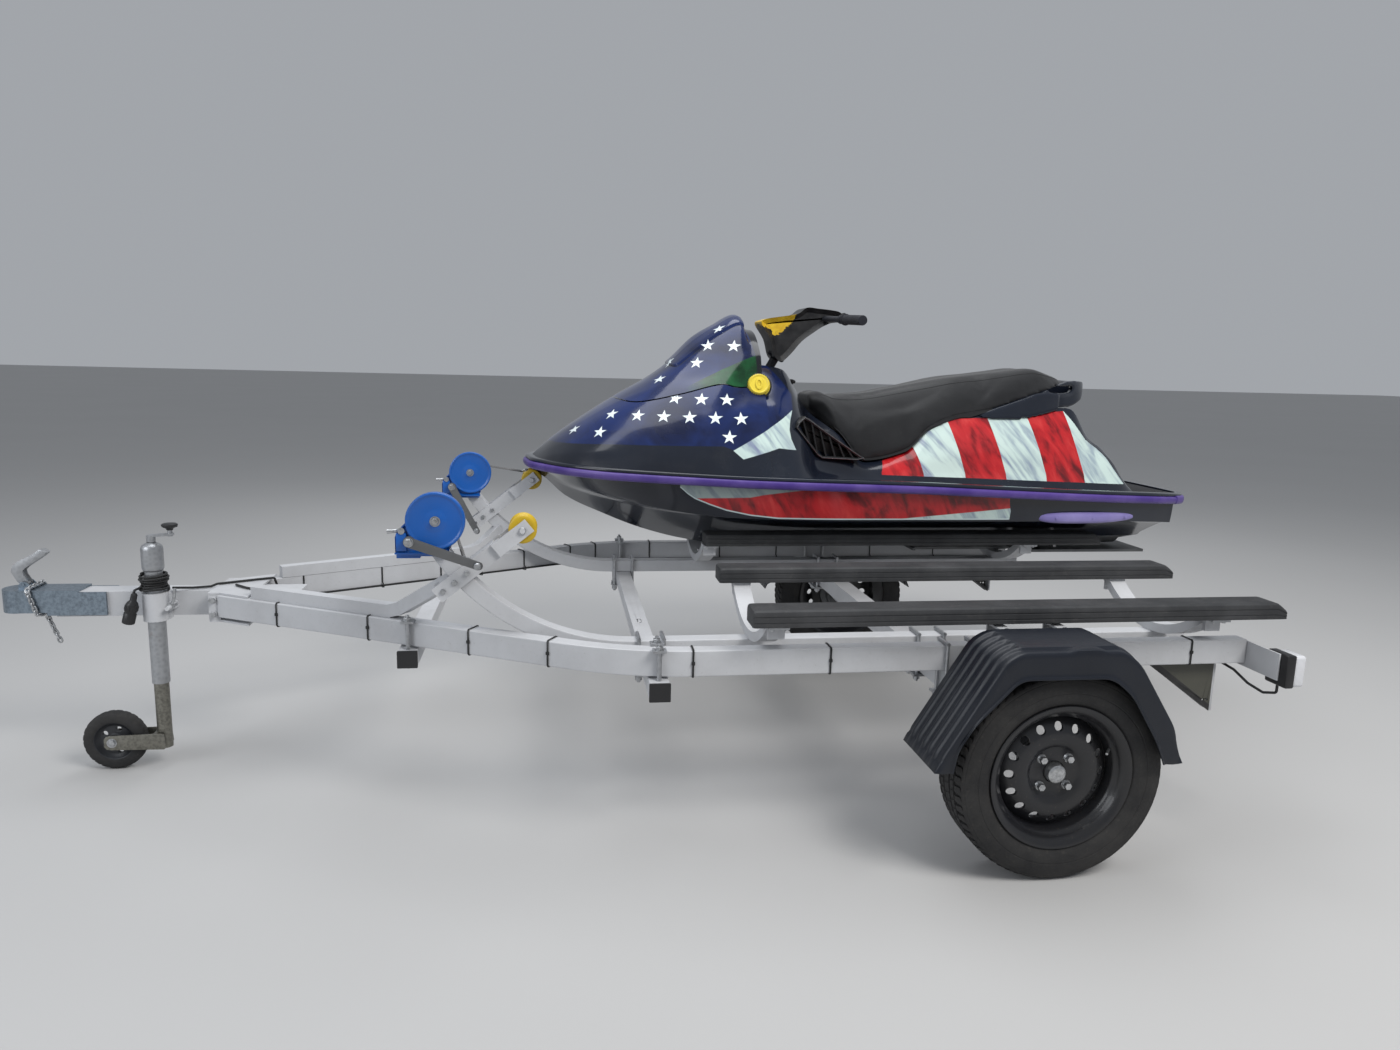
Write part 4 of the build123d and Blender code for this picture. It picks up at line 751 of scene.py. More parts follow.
# ================================================================ watercraft tables, mm
HULL = [
    (-1300, 50, 867, 12, 853, 5, 850, 0, 846), (-1241, 195, 866, 62, 838, 40, 826, 0, 806),
    (-1173, 270, 864, 130, 806, 90, 790, 0, 744), (-1034, 350, 861, 228, 772, 165, 758, 0, 677),
    (-893, 392, 857, 300, 748, 222, 736, 0, 622), (-746, 425, 853, 356, 730, 270, 722, 0, 583),
    (-560, 450, 849, 398, 720, 308, 714, 0, 556), (-232, 474, 842, 425, 716, 330, 711, 0, 552),
    (203, 462, 827, 424, 715, 332, 711.7, 0, 552), (682, 424, 802, 402, 712, 325, 708.5, 0, 552),
    (928, 370, 788, 352, 702, 300, 697, 0, 552), (1035, 330, 780, 318, 694, 278, 690, 0, 554)]
DECK = [
    (-1290, 52, 866, 44, 872, 34, 877, 24, 882, 16, 886, 8, 889, 0, 890),
    (-1220, 196, 863, 160, 902, 118, 926, 80, 940, 52, 947, 26, 951, 0, 952),
    (-1129, 280, 861, 246, 920, 196, 962, 140, 992, 92, 1008, 46, 1016, 0, 1018),
    (-985, 352, 858, 318, 930, 268, 1000, 205, 1062, 140, 1092, 72, 1106, 0, 1112),
    (-890, 382, 855, 350, 940, 298, 1026, 240, 1090, 175, 1132, 92, 1158, 0, 1167),
    (-800, 400, 853, 368, 948, 314, 1045, 258, 1118, 198, 1165, 110, 1212, 0, 1232),
    (-707, 418, 850, 386, 955, 330, 1062, 272, 1146, 214, 1186, 110, 1290, 0, 1322),
    (-640, 430, 849, 396, 958, 338, 1072, 276, 1160, 224, 1212, 108, 1340, 0, 1362),
    (-564, 440, 848, 405, 960, 345, 1078, 272, 1156, 226, 1242, 100, 1380, 0, 1400),
    (-553, 440, 848, 405, 960, 344, 1078, 271, 1157, 225, 1245, 99, 1378, 0, 1396),
    (-538, 441, 847, 404, 959, 343, 1079, 268, 1158, 222, 1250, 97, 1344, 0, 1359),
    (-500, 442, 846, 402, 958, 340, 1080, 262, 1160, 216, 1258, 92, 1336, 0, 1352)]
PED = [
    (-503, 440, 846, 400, 956, 336, 1079, 230, 1150, 120, 1228), (-460, 434, 845, 392, 953, 326, 1078, 224, 1150, 110, 1226),
    (-400, 420, 844, 372, 938, 296, 1068, 206, 1146, 100, 1214), (-350, 390, 843, 340, 905, 280, 1018, 196, 1090, 98, 1150),
    (-315, 360, 842, 314, 880, 266, 974, 186, 1030, 96, 1088), (-200, 300, 840, 284, 856, 262, 900, 226, 950, 190, 985),
    (-110, 284, 837, 275, 846, 252, 870, 228, 884, 205, 893), (40, 282, 832, 272, 845, 252, 880, 230, 905, 205, 926),
    (137, 280, 828, 268, 850, 246, 920, 222, 970, 196, 1012), (250, 280, 824, 266, 850, 242, 935, 215, 1000, 186, 1054),
    (620, 276, 804, 262, 840, 230, 950, 198, 1030, 160, 1096), (686, 272, 801, 258, 832, 224, 936, 194, 1022, 158, 1096),
    (783, 262, 797, 250, 820, 216, 900, 188, 950, 156, 981), (838, 256, 793, 244, 812, 210, 880, 182, 925, 152, 947),
    (876, 250, 791, 238, 806, 204, 860, 178, 895, 149, 910), (911, 244, 789, 230, 799, 200, 830, 174, 850, 146, 861),
    (938, 238, 787, 222, 794, 196, 806, 172, 814, 144, 821)]
SEAM = [(-1000, 1104), (-925, 1096), (-788, 1126), (-655, 1162), (-590, 1154), (-480, 1160)]
BUMP = [
    (-1323, 30, 874), (-1300, 112, 872), (-1241, 212, 870), (-1173, 292, 868), (-1034, 372, 863), (-893, 412, 859),
    (-746, 444, 855), (-560, 474, 850), (-232, 499, 844), (0, 500, 838), (203, 494, 829), (440, 480, 818), (682, 452, 806),
    (928, 396, 793), (1035, 344, 785), (1102, 290, 779), (1165, 200, 773)]
SEAT = [
    (-296, 96, 1088, 104, 1112, 78, 1131), (-262, 120, 1060, 130, 1110, 84, 1139), (-200, 192, 994, 176, 1060, 92, 1122),
    (-110, 214, 899, 178, 1040, 96, 1126), (40, 214, 932, 168, 1060, 100, 1152), (137, 204, 1018, 170, 1092, 108, 1172),
    (250, 194, 1046, 176, 1120, 116, 1194), (352, 190, 1078, 172, 1136, 115, 1206), (440, 184, 1108, 167, 1152, 114, 1218),
    (555, 172, 1146, 158, 1174, 112, 1232), (640, 150, 1174, 140, 1188, 92, 1214), (700, 108, 1184, 98, 1191, 68, 1198)]
STX, STZ = -400.0, 1262.0


def even(a, b, n):
    return [a + (b - a) * i / (n - 1) for i in range(n)]


def slab(points, y0, y1):
    """Flat-sided prism for cutting, from an XZ outline."""
    n = len(points)
    vs = [(x, y0, z) for x, z in points] + [(x, y1, z) for x, z in points]
    fs = [tuple(range(n)), tuple(reversed(range(n, 2 * n)))] + [(i, i + n, (i + 1) % n + n, (i + 1) % n) for i in range(n)]
    return vs, fs


def seam_line(dz=0.0):
    return [(x, z + dz) for x, _, z in spline([(a, 0, b) for a, b in SEAM], 8)]


# ---------------------------------------------------------------- hull
hull = new_object("hull_shell", *rings(section_body(HULL, even(-1300, 1035, 110), [6, 4, 10], [1.0, 0.85, 0.85, 1.0])))
foot = [(-190, 300), (-160, 392), (-130, 414), (203, 402), (682, 366), (930, 320), (948, 300), (948, 286), (-190, 286)]
for s in (-1, 1):
    n = len(foot)
    vs = [(x, LANE + s * w, 732.0) for x, w in foot] + [(x, LANE + s * w, 1000.0) for x, w in foot]
    fs = [tuple(range(n)), tuple(range(n, 2 * n))] + [(i, i + n, (i + 1) % n + n, (i + 1) % n) for i in range(n)]
    cut_with(hull, (vs, fs))
cut_with(hull, block(-235, 330, LANE - 165, LANE + 165, 640, 1000),
         slab([(150, 500), (480, 500), (520, 566), (705, 572), (705, 712), (600, 712)], LANE - 62, LANE + 62),
         block(700, 1200, LANE - 108, LANE + 108, 500, 745),
         lathe([(15, 0), (15, 305)], (195, LANE, 642), (1, 0, 0), 24))
md = hull.modifiers.new("edge", "BEVEL")
md.width, md.segments, md.limit_method, md.angle_limit = 0.003, 2, "ANGLE", math.radians(38)
place(hull, M_HULL, repl=["hull"], deg=32)

# ---------------------------------------------------------------- upper body and its front cover
FX = even(-1290, -500, 84)
FPER, FCOR = [7, 7, 7, 5, 8, 5], [1.0, 0.35, 0.35, 0.05, 0.55, 0.0, 0.0]
fore_rings = section_body(DECK, FX, FPER, FCOR)
ped_rows = [(*r, 0, r[10]) for r in PED]
PX = even(-503, 938, 132)
ped_rings = section_body(ped_rows, PX, [5, 6, 5, 6, 6], [1.0, 0.4, 0.35, 0.45, 0.8, 0.0])
above = slab(seam_line() + [(-470, 1160), (-470, 1500), (-1000, 1500)], LANE - 500, LANE + 500)
above_clear = slab(seam_line(-4.0) + [(-470, 1156), (-470, 1500), (-1004, 1500), (-1004, 1100)], LANE - 500, LANE + 500)

cover = new_object("cover_shell", *rings(fore_rings))
boolean_tool = new_object("tool", *above)
boolean(cover, boolean_tool, "INTERSECT")
bpy.data.objects.remove(boolean_tool, do_unlink=True)
inner_rows = []
for r in DECK:
    w = list(r)
    for i in (1, 3, 5, 7, 9, 11):
        w[i] = max(3.0 + (11 - i), w[i] - 9.0)
    for i in (2, 4, 6, 8, 10, 12):
        w[i] = w[i] - 6.0
    w[14] -= 8.0
    inner_rows.append(tuple(w))
cut_with(cover, rings(section_body(inner_rows, even(-960, -511, 40), FPER, FCOR)),
         block(-504, -400, LANE - 480, LANE + 480, 1000, 1500))
md = cover.modifiers.new("edge", "BEVEL")
md.width, md.segments, md.limit_method, md.angle_limit = 0.0025, 2, "ANGLE", math.radians(40)
place(cover, M_COVER, "front_cover", ["front_cover"], deg=34)

# raised visor on the cover's crown: a plate laid over the finished surface, with a dark gap line round it
bpy.context.view_layer.update()
hood = BVHTree.FromObject(cover, bpy.context.evaluated_depsgraph_get())


def on_hood(x, w):
    h = hood.ray_cast(V(x, LANE + w, 1600), Vector((0, 0, -1)))
    return (h[0], h[1]) if h[0] is not None else (None, None)


NXV, NWV = 54, 46
top_, foot_ = [], []
for i in range(NXV + 1):
    x = -806.0 + 259.0 * (i / NXV)
    lead = max(0.0, (-770.0 - x) / 38.0)
    wm = 131.0 * max(0.02, 1 - lead ** 3.0) ** 0.5 - 9.0 * max(0.0, (x + 620.0) / 75.0) ** 2
    rt, rb = [], []
    for j in range(NWV + 1):
        u = 2.0 * j / NWV - 1
        w = wm * (u - 0.12 * math.sin(math.pi * u))
        p_, n_ = on_hood(x, w)
        e = min(1.0, (1 - abs(u)) * wm / 7.0, (i / NXV) * 259.0 / 9.0, (1 - i / NXV) * 259.0 / 5.0)
        rib = 0.9 * math.exp(-((abs(w) - 62.0 - 0.05 * (x + 700)) / 5.0) ** 2) + 0.7 * math.exp(-((abs(w) - 104.0) / 4.0) ** 2)
        h = 6.4 * math.sqrt(max(0.0, 1 - (1 - e) ** 2)) + rib * e
        rt.append(tuple((p_ * 1000 + n_ * h - Vector((SH, 0, 0)))))
        rb.append(tuple((p_ * 1000 - n_ * 2.0 - Vector((SH, 0, 0)))))
    top_.append(rt)
    foot_.append(rb)
nr, nc = NXV + 1, NWV + 1
vs = [q for r in top_ for q in r] + [q for r in foot_ for q in r]
fs = grid_faces(nr, nc) + [tuple(k + nr * nc for k in reversed(f)) for f in grid_faces(nr, nc)]
rim_ = [j for j in range(nc)] + [i * nc + nc - 1 for i in range(1, nr)] + [(nr - 1) * nc + j for j in range(nc - 2, -1, -1)] + [i * nc for i in range(nr - 2, 0, -1)]
for k in range(len(rim_)):
    a, b = rim_[k], rim_[(k + 1) % len(rim_)]
    fs.append((b, a, a + nr * nc, b + nr * nc))
visor = new_object("hood_visor", vs, fs)
place(visor, M_COVER, "front_cover", deg=30)
line = [(*((Vector(vs[k]) * 0.5 + Vector(vs[k + nr * nc]) * 0.5)),) for k in rim_]
seal = []
for k, q in enumerate(line):
    a, b = Vector(line[k - 1]), Vector(line[(k + 1) % len(line)])
    d = (b - a).normalized() if (b - a).length > 1e-6 else Vector((1, 0, 0))
    s1, u1 = frame_of(d)
    seal.append([tuple(Vector(q) + s1 * (1.5 * math.cos(t)) + u1 * (1.5 * math.sin(t))) for t in np.linspace(0, 2 * math.pi, 8, endpoint=False)])
place(joined("visor_seal", [rings(seal, close_u=True)]), M_BLACK, "front_cover", deg=60)

deck = new_object("upper_body", *rings(fore_rings))
cut_with(deck, above_clear)
cut_with(deck, rings(ped_rings), op="UNION")
cut_with(deck, slab(seam_line(-4.0)[:-9] + [(-499, 1152), (-499, 1500), (-1004, 1500), (-1004, 1100)], LANE - 500, LANE + 500),
         block(-905, -560, LANE - 175, LANE + 175, 930, 1300),
         block(-235, 330, LANE - 165, LANE + 165, 640, 1060),
         lathe([(16.3, -104), (16.3, 80)], (STX, LANE, STZ), (0.5, 0, 0.866), 24))
md = deck.modifiers.new("edge", "BEVEL")
md.width, md.segments, md.limit_method, md.angle_limit = 0.003, 2, "ANGLE", math.radians(40)
place(deck, M_DECK, repl=["deck"], deg=34)


# ---------------------------------------------------------------- bumper all round the gunwale
def loop_of(rows, inset=0.0, n=150):
    """Closed plan loop through the outer edge of rows: (x, y, z) with its outward direction."""
    x = [r[0] for r in rows]
    t = np.concatenate([[0.0], np.cumsum(np.hypot(np.diff(x), np.diff([r[1] for r in rows])))])
    q = np.linspace(0, t[-1], n)
    X, W, Z = pchip(t, x, q), pchip(t, [r[1] for r in rows], q), pchip(t, [r[2] for r in rows], q)
    side = [(a, -b, c) for a, b, c in zip(X, W, Z)]
    stern = [(X[-1] + 4.0 * math.sin(math.pi * k / 10), -W[-1] + 2 * W[-1] * k / 10, Z[-1]) for k in range(1, 10)]
    nose = [(X[0] - 1.5, W[0] * k / 2, Z[0]) for k in (1, 0, -1)]
    pts = side + stern + [(a, b * -1, c) for a, b, c in reversed(side)] + nose
    out = []
    for i, p in enumerate(pts):
        a, b = np.array(pts[i - 1]), np.array(pts[(i + 1) % len(pts)])
        d = b - a
        nrm = np.array((d[1], -d[0], 0.0))
        out.append((np.array((p[0], p[1] + LANE, p[2])), -nrm / np.linalg.norm(nrm)))
    c = np.mean([p for p, _ in out], axis=0)
    if np.dot(out[n // 2][1], out[n // 2][0] - c) < 0:
        out = [(p, -m) for p, m in out]
    return out


BUMP_IN = [(-1318, 26, 874)] + [(x, w - 1.0, z) for x, w, z in BUMP[1:-1]] + [(1160, 199, 773)]
loop = loop_of(BUMP_IN)


def ring_about(profile, mat, name, repl=()):
    rr = [[tuple(p + m * o + np.array((0, 0, h))) for o, h in profile] for p, m in loop]
    ob = new_object(name, *rings(rr, close_u=True))
    return place(ob, mat, repl=repl, deg=50)


PURPLE = [(-32, -20), (-16, -20.5), (-9, -20), (-4.5, -17.5), (-1.6, -12.5), (-0.4, -6), (-0.4, -1), (-2.0, 3.0), (-6.0, 6.0), (-12, 7.0), (-32, 7.0)]
STRIP = [(-33, 6.5), (-12, 6.5), (-9.5, 7.5), (-8.5, 10.0), (-9.2, 14.5), (-12.0, 17.6), (-17, 18.8), (-33, 18.8)]
ring_about(PURPLE, M_PURPLE, "bumper_band", ["bumper"])
ring_about(STRIP, M_GLOSS, "gunwale_strip")

# stern corner mouldings over the band
parts = []
for s in (-1, 1):
    sub = [(p, m) for p, m in loop if p[0] > 1040 and (p[1] - LANE) * s > 150]
    sub.sort(key=lambda q: q[0][0])
    prof = [(-30, -21.2), (-16, -21.6), (-8, -21.0), (-3.4, -18), (-0.6, -12.5), (0.4, -6), (0.4, 2), (-1.5, 7.5), (-5, 10.0), (-12, 11.0), (-30, 11.0)]
    rr = [[tuple(p + m * o + np.array((0, 0, h))) for o, h in prof] for p, m in sub]
    parts.append(rings(rr))
place(joined("bumper_corners", parts), M_PURPLE, deg=50)

# ---------------------------------------------------------------- stern platform, mats
plat = []
for x, w, z in ((1026, 324, 781), (1062, 292, 780), (1096, 258, 779), (1119, 236, 778), (1127, 224, 776)):
    top = 7.0 if x < 1120 else 2.0
    plat.append([(x, LANE - w, z - 15), (x, LANE - w, z + top - 5), (x, LANE - w + 6, z + top), (x, LANE + w - 6, z + top), (x, LANE + w, z + top - 5), (x, LANE + w, z - 15)])
place(new_object("stern_deck", *rings(plat)), M_GLOSS, repl=["stern_platform"])
parts = []
for s in (-1, 1):                       # ribbed foot mats
    for k in range(46):
        x = -120 + k * 22.0
        wo = float(pchip([-190, -150, 203, 682, 948], [300, 410, 396, 360, 312], [x])[0]) - 12
        if wo > 306:
            parts.append(rbox(x, x + 14, LANE + s * 296, LANE + s * wo, 731.0, 736.5, 2.0, 1))
for k in range(8):                      # and the mat on the stern deck
    x = 948 + k * 21.0
    zt = float(np.interp(x, [905, 928, 1035, 1119], [789.5, 788, 787.5, 785]))
    w = float(np.interp(x, [905, 1035, 1096], [200, 262, 232]))
    parts.append(rbox(x, x + 13.5, LANE - w, LANE + w, zt - 4, zt + 3.2, 2.0, 1))
place(joined("traction_mats", parts), M_MAT, deg=30)

# ---------------------------------------------------------------- sponsons
parts = []
for s in (-1, 1):
    rr = []
    for k in range(33):
        t = k / 32
        x = 455 + 401 * t
        body = math.sqrt(max(0.0, 1 - abs(2 * t - 1) ** 5)) * (0.42 + 0.58 * math.sin(math.pi * min(1, 0.25 + t * 0.75)) ** 0.5)
        hull_w = float(np.interp(x, [203, 682, 948], [424, 402, 352])) - 6
        outw = hull_w + 6 + 29.0 * body
        h = 3.0 + 17.0 * body
        zc = 726.0 + 2.0 * (1 - t)
        ring = []
        for j in range(20):
            a = 2 * math.pi * j / 20
            ring.append((x, LANE + s * ((hull_w + outw) / 2 + (outw - hull_w) / 2 * math.copysign(abs(math.cos(a)) ** 0.75, math.cos(a))),
                         zc + h * math.copysign(abs(math.sin(a)) ** 0.8, math.sin(a))))
        rr.append(ring)
    parts.append(rings(rr))
    for x in (520, 660, 800):
        w = float(np.interp(x, [203, 682, 948], [424, 402, 352])) + 27
        parts.append(lathe([(0, 0), (5, 0), (5.5, 1.0), (4.4, 2.6), (0, 3.2)], (x, LANE + s * w, 727), (0, s, 0), 16))
place(joined("side_sponsons", parts), M_LAV, repl=["sponsons"], deg=45)


# ---------------------------------------------------------------- side vents
def vent_w(x):
    return float(np.interp(x, [-420, -300, -120], [343, 298, 276]))


parts_f, parts_shade = [], []
vent = [(-400, 1022), (-392, 1040), (-366, 1060), (-345, 1050), (-132, 914), (-160, 907), (-292, 914), (-312, 926)]
for s in (-1, 1):
    def vp(x, z, d=0.0):
        return (x, LANE + s * (vent_w(x) + d), z)
    n = len(vent)
    cx, cz = sum(p[0] for p in vent) / n, sum(p[1] for p in vent) / n
    dense = []
    for i in range(n):
        a, b = vent[i], vent[(i + 1) % n]
        for k in range(6):
            dense.append((a[0] + (b[0] - a[0]) * k / 6, a[1] + (b[1] - a[1]) * k / 6))
    N = len(dense)

    def inset(pts, d):
        out = []
        for i in range(len(pts)):
            a, b = pts[i - 1], pts[(i + 1) % len(pts)]
            tx, tz = b[0] - a[0], b[1] - a[1]
            L = math.hypot(tx, tz) or 1
            nx, nz = tz / L, -tx / L
            if (cx - pts[i][0]) * nx + (cz - pts[i][1]) * nz < 0:
                nx, nz = -nx, -nz
            out.append((pts[i][0] + nx * d, pts[i][1] + nz * d))
        return out
    i1, i2, i3 = inset(dense, 1.5), inset(dense, 6.5), inset(dense, 9.0)
    lip = [[vp(x, z, -44) for x, z in dense], [vp(x, z, -2.5) for x, z in dense], [vp(x, z, 0.0) for x, z in i1],
           [vp(x, z, 0.0) for x, z in i2], [vp(x, z, -2.0) for x, z in i3], [vp(x, z, -26) for x, z in i3]]
    vs = [p for r in lip for p in r]
    fs = grid_faces(6, N, False, True) + [tuple(range(N))]
    parts_f.append((vs, fs))
    # painted shade: a near-black sheet closes the floor of each vent pocket
    parts_shade.append(([vp(x, z, -25) for x, z in i3], [tuple(range(N))]))
    for k in range(6):                  # louvres lean with the front edge
        x0 = -352 + k * 34.0
        top = (x0 - 20, float(np.interp(x0 - 20, [-400, -366, -345, -132], [1030, 1058, 1050, 914])) - 8)
        bot = (x0 + 6, float(np.interp(x0 + 6, [-400, -312, -292, -160, -132], [1022, 926, 914, 907, 914])) + 8)
        if top[1] - bot[1] < 14:
            continue
        d = Vector((bot[0] - top[0], 0, bot[1] - top[1])).normalized()
        side = Vector((d.z, 0, -d.x))
        rr = []
        for q in (top, bot):
            base = Vector(vp(q[0], q[1], -6))
            rr.append([tuple(base + side * u + Vector((0, s * v, 0))) for u, v in ((-9, -14), (-2.5, 2), (0.5, 3), (2.5, 1.5), (-3, -14))])
        parts_f.append(rings(rr))
place(joined("vent_frames", parts_f), M_BLACK, repl=["side_vents"], deg=40)
# the near-black sheets in the vent pockets stand for the shade inside the vents
ob = joined("vent_shade_sheets", parts_shade)
place(ob, plastic("vent_painted_shade", (0.004, 0.004, 0.004), 0.8, 900.0, 0.0006))
# thin pale outline round each vent, as a strip of trim
parts = []
for s in (-1, 1):
    line = [(x, LANE + s * (vent_w(x) + 0.4), z) for x, z in inset(dense, 3.6)]
    parts.append(rings([[tuple(Vector(line[i]) + Vector((0, s * 1.5 * math.sin(a), 1.5 * math.cos(a)))) for a in np.linspace(0, 2 * math.pi, 8, endpoint=False)]
                        for i in range(len(line))], close_u=True))
place(joined("vent_trim", parts), plain_steel("vent_trim_grey", (0.37, 0.38, 0.39), 0.4))

# ---------------------------------------------------------------- fuel cap
cap_c = Vector((-519.0, LANE - 260.0, 1156.0))
cap_n = Vector((-0.1, -0.92, 0.36)).normalized()
ring_c = [lathe([(0, -10), (45, -10), (46.5, 0), (46.5, 2.6), (44.5, 4.2), (41.5, 4.4), (40.5, 2.0), (0, 2.0)], cap_c, cap_n, 64)]
place(joined("filler_ring", ring_c), M_BLACK, deg=35)
parts = [lathe([(0, -8), (38, -8), (38.5, 3), (40, 5.0), (40, 9.0), (38.6, 11.5), (37.0, 12.5), (36.5, 22), (35.2, 26.0), (32, 28.6), (29.5, 27.6),
                (27, 25.6), (0, 24.6)], cap_c, cap_n, 72)]
s_, u_ = frame_of(cap_n)
m3 = Matrix((s_, u_, cap_n)).transposed()
grip = [[(12.5 * f * math.cos(a), 21.0 * f * math.sin(a), z) for a in np.linspace(0, 2 * math.pi, 36, endpoint=False)] for f, z in ((1.0, 22.0), (1.0, 28.4), (0.93, 30.0), (0.62, 30.0), (0.55, 28.6), (0.53, 25.2))]
g_v, g_f = rings(grip)
parts.append(([tuple(cap_c + m3 @ Vector(v)) for v in g_v], g_f))
for k in range(30):
    a = 2 * math.pi * k / 30
    c = rbox(35.6, 38.2, -1.6, 1.6, 12.5, 22.5, 0.8, 1)
    r = Matrix.Rotation(a, 3, "Z")
    parts.append(([tuple(cap_c + m3 @ (r @ Vector(v))) for v in c[0]], c[1]))
place(joined("filler_cap", parts), M_CAPYEL, repl=["fuel_cap"], deg=35)

# ---------------------------------------------------------------- handlebar
AX = Vector((0.5, 0, 0.866)).normalized()
O = Vector((STX, LANE, STZ))


def puffed(points, y0, y1, r, n=5, per=5, smooth_outline=True):
    """Rounded slab: smooth XZ outline, edges rounded by r."""
    pts = points
    if smooth_outline:
        q = [(x, 0, z) for x, z in points]
        q = [q[-1]] + q + [q[0], q[1]]
        sp = spline(q, per)
        pts = [(x, z) for x, _, z in sp[per:-(2 * per) - 1 + per]]
    area = sum(pts[i - 1][0] * pts[i][1] - pts[i][0] * pts[i - 1][1] for i in range(len(pts)))
    sgn = 1.0 if area > 0 else -1.0

    def shrink(d):
        out = []
        for i in range(len(pts)):
            a, b = pts[i - 1], pts[(i + 1) % len(pts)]
            tx, tz = b[0] - a[0], b[1] - a[1]
            L = math.hypot(tx, tz) or 1
            out.append((pts[i][0] - sgn * tz / L * d, pts[i][1] + sgn * tx / L * d))
        return out
    rr = []
    for k in range(n + 1):
        t = math.pi / 2 * k / n
        rr.append([(x, y0 + r * (1 - math.cos(math.pi / 2 - t)), z) for x, z in shrink(r * (1 - math.sin(t)))])
    for k in range(n, -1, -1):
        t = math.pi / 2 * k / n
        rr.append([(x, y1 - r * (1 - math.cos(math.pi / 2 - t)), z) for x, z in shrink(r * (1 - math.sin(t)))])
    return rings(rr)


PAD = [(-472, 1376), (-454, 1392), (-400, 1402), (-340, 1413), (-306, 1436), (-265, 1434), (-215, 1430), (-184, 1424), (-168, 1408), (-180, 1390), (-214, 1384),
       (-246, 1370), (-276, 1350), (-321, 1316), (-360, 1270), (-392, 1244), (-420, 1262), (-438, 1322)]
place(joined("bar_cover", [puffed(PAD, LANE - 61, LANE + 61, 17, 6, 4)]), M_BARCOVER, "handlebar", ["handlebar"], deg=40)
bell = [(0.0, -98), (15.8, -98), (15.8, -12), (30, -9), (34, -4)]
for k in range(6):
    bell += [(33.0, -2 + k * 13.0), (34.0, 2 + k * 13.0), (31.0, 7 + k * 13.0), (29.0, 10 + k * 13.0)]
bell += [(30, 76), (26, 84), (0, 86)]
parts = [lathe(bell, O, AX, 40)]
for s in (-1, 1):
    parts.append(tube([(-236, LANE + s * 52, 1398), (-214, LANE + s * 232, 1390)], 11, 20))
    parts.append(lathe([(11, 0), (15.5, 1), (16, 14), (15, 17), (11, 18)], (-219, LANE + s * 196, 1391.6), (0.12, s, -0.045), 24))
place(joined("bar_and_boot", parts), M_GRIP, "handlebar", deg=35)
# throttle lever on the starboard bar, stop button on the port bar
lever = [(-214, LANE + 216, 1384), (-240, LANE + 232, 1378), (-262, LANE + 262, 1374), (-268, LANE + 300, 1372), (-266, LANE + 318, 1371)]
parts = [tube(spline(lever, 5), [5.0] * 21, 10), lathe([(0, 0), (9, 0), (10, 2), (10, 12), (8, 15), (0, 16)], (-213, LANE - 205, 1398), (-0.2, 0, 1), 20),
         rbox(-224, -200, LANE + 203, LANE + 226, 1376, 1404, 5, 3)]
place(joined("bar_controls", parts), M_BLACK, "handlebar", deg=35)
parts = []
for s in (-1, 1):
    prof = [(0, 0), (14, 0), (20, 0.8), (20, 4.5), (16.5, 6.0)]
    k = 9.0
    while k < 128:
        prof += [(15.4, k), (16.8, k + 1.2), (16.8, k + 3.8), (15.4, k + 5.0)]
        k += 6.4
    prof += [(16.6, 134), (17.0, 138), (16.0, 142), (12, 143.2), (0, 143.4)]
    d = Vector((18, s * 141.5, -7)).normalized()
    parts.append(lathe(prof, (-214, LANE + s * 230.5, 1390), d, 28))
place(joined("hand_grips", parts), M_GRIP, "handlebar", ["grips"], deg=38)
# far enough forward for the tipped seat to pass it
knob_z = BVHTree.FromObject(deck, bpy.context.evaluated_depsgraph_get()).ray_cast(Vector(((-354 + SH) * MM, (LANE - 58) * MM, 1.6)), Vector((0, 0, -1)))[0].z / MM
parts = [lathe([(0, -14), (9, -14), (9, 0), (5, 1), (5, 9), (11, 11), (12.5, 15), (11.5, 20), (7, 22.5), (0, 23)], (-354, LANE - 58, knob_z), (0.25, -0.1, 0.96), 24)]
place(joined("pull_knob", parts), M_BLACK, deg=35)

# ---------------------------------------------------------------- seat
seat_rows = [(r[0], r[1], r[2] + 2, r[3], r[4], r[5], r[6], 0, r[6] + (4 if r[0] > -280 else 1)) for r in SEAT]


def ped_grown(d):
    return [(r[0], r[1], r[2], r[3] + d, r[4], r[5] + d, r[6], r[7] + d, r[8] + d * 0.8, r[9] + d, r[10] + d, 0, r[10] + d) for r in PED]


def seat_solid(name, xs, d, shrink=0.0):
    rows = [(r[0], r[1] - shrink, r[2], r[3] - shrink, r[4] - shrink * 0.4, r[5] - shrink, r[6] - shrink, 0, r[8] - shrink) for r in seat_rows]
    ob = new_object(name, *rings(section_body(rows, xs, [8, 8, 6], [1.0, 0.15, 0.25, 0.0])))
    cut_with(ob, rings(section_body(ped_grown(d), PX, [3, 4, 4, 4, 4], [1.0, 0.4, 0.35, 0.45, 0.8, 0.0])))
    return ob


base = seat_solid("seat_base", even(-292, 697, 80), 3.2, 3.0)
tool = new_object("tool", *rings(section_body(ped_grown(15.0), PX, [3, 4, 4, 4, 4], [1.0, 0.4, 0.35, 0.45, 0.8, 0.0])))
boolean(base, tool, "INTERSECT")
bpy.data.objects.remove(tool, do_unlink=True)
place(base, M_BLACK, "seat", deg=35)

cushion = seat_solid("seat_cushion", even(-294, 699, 90), 8.0, 3.5)


def voxel(ob, size):
    md = ob.modifiers.new("vox", "REMESH")
    md.mode = "VOXEL"
    md.voxel_size = size
    md.use_smooth_shade = True
    dg = bpy.context.evaluated_depsgraph_get()
    me = bpy.data.meshes.new_from_object(ob.evaluated_get(dg))
    ob.modifiers.clear()
    ob.data = me
    return ob


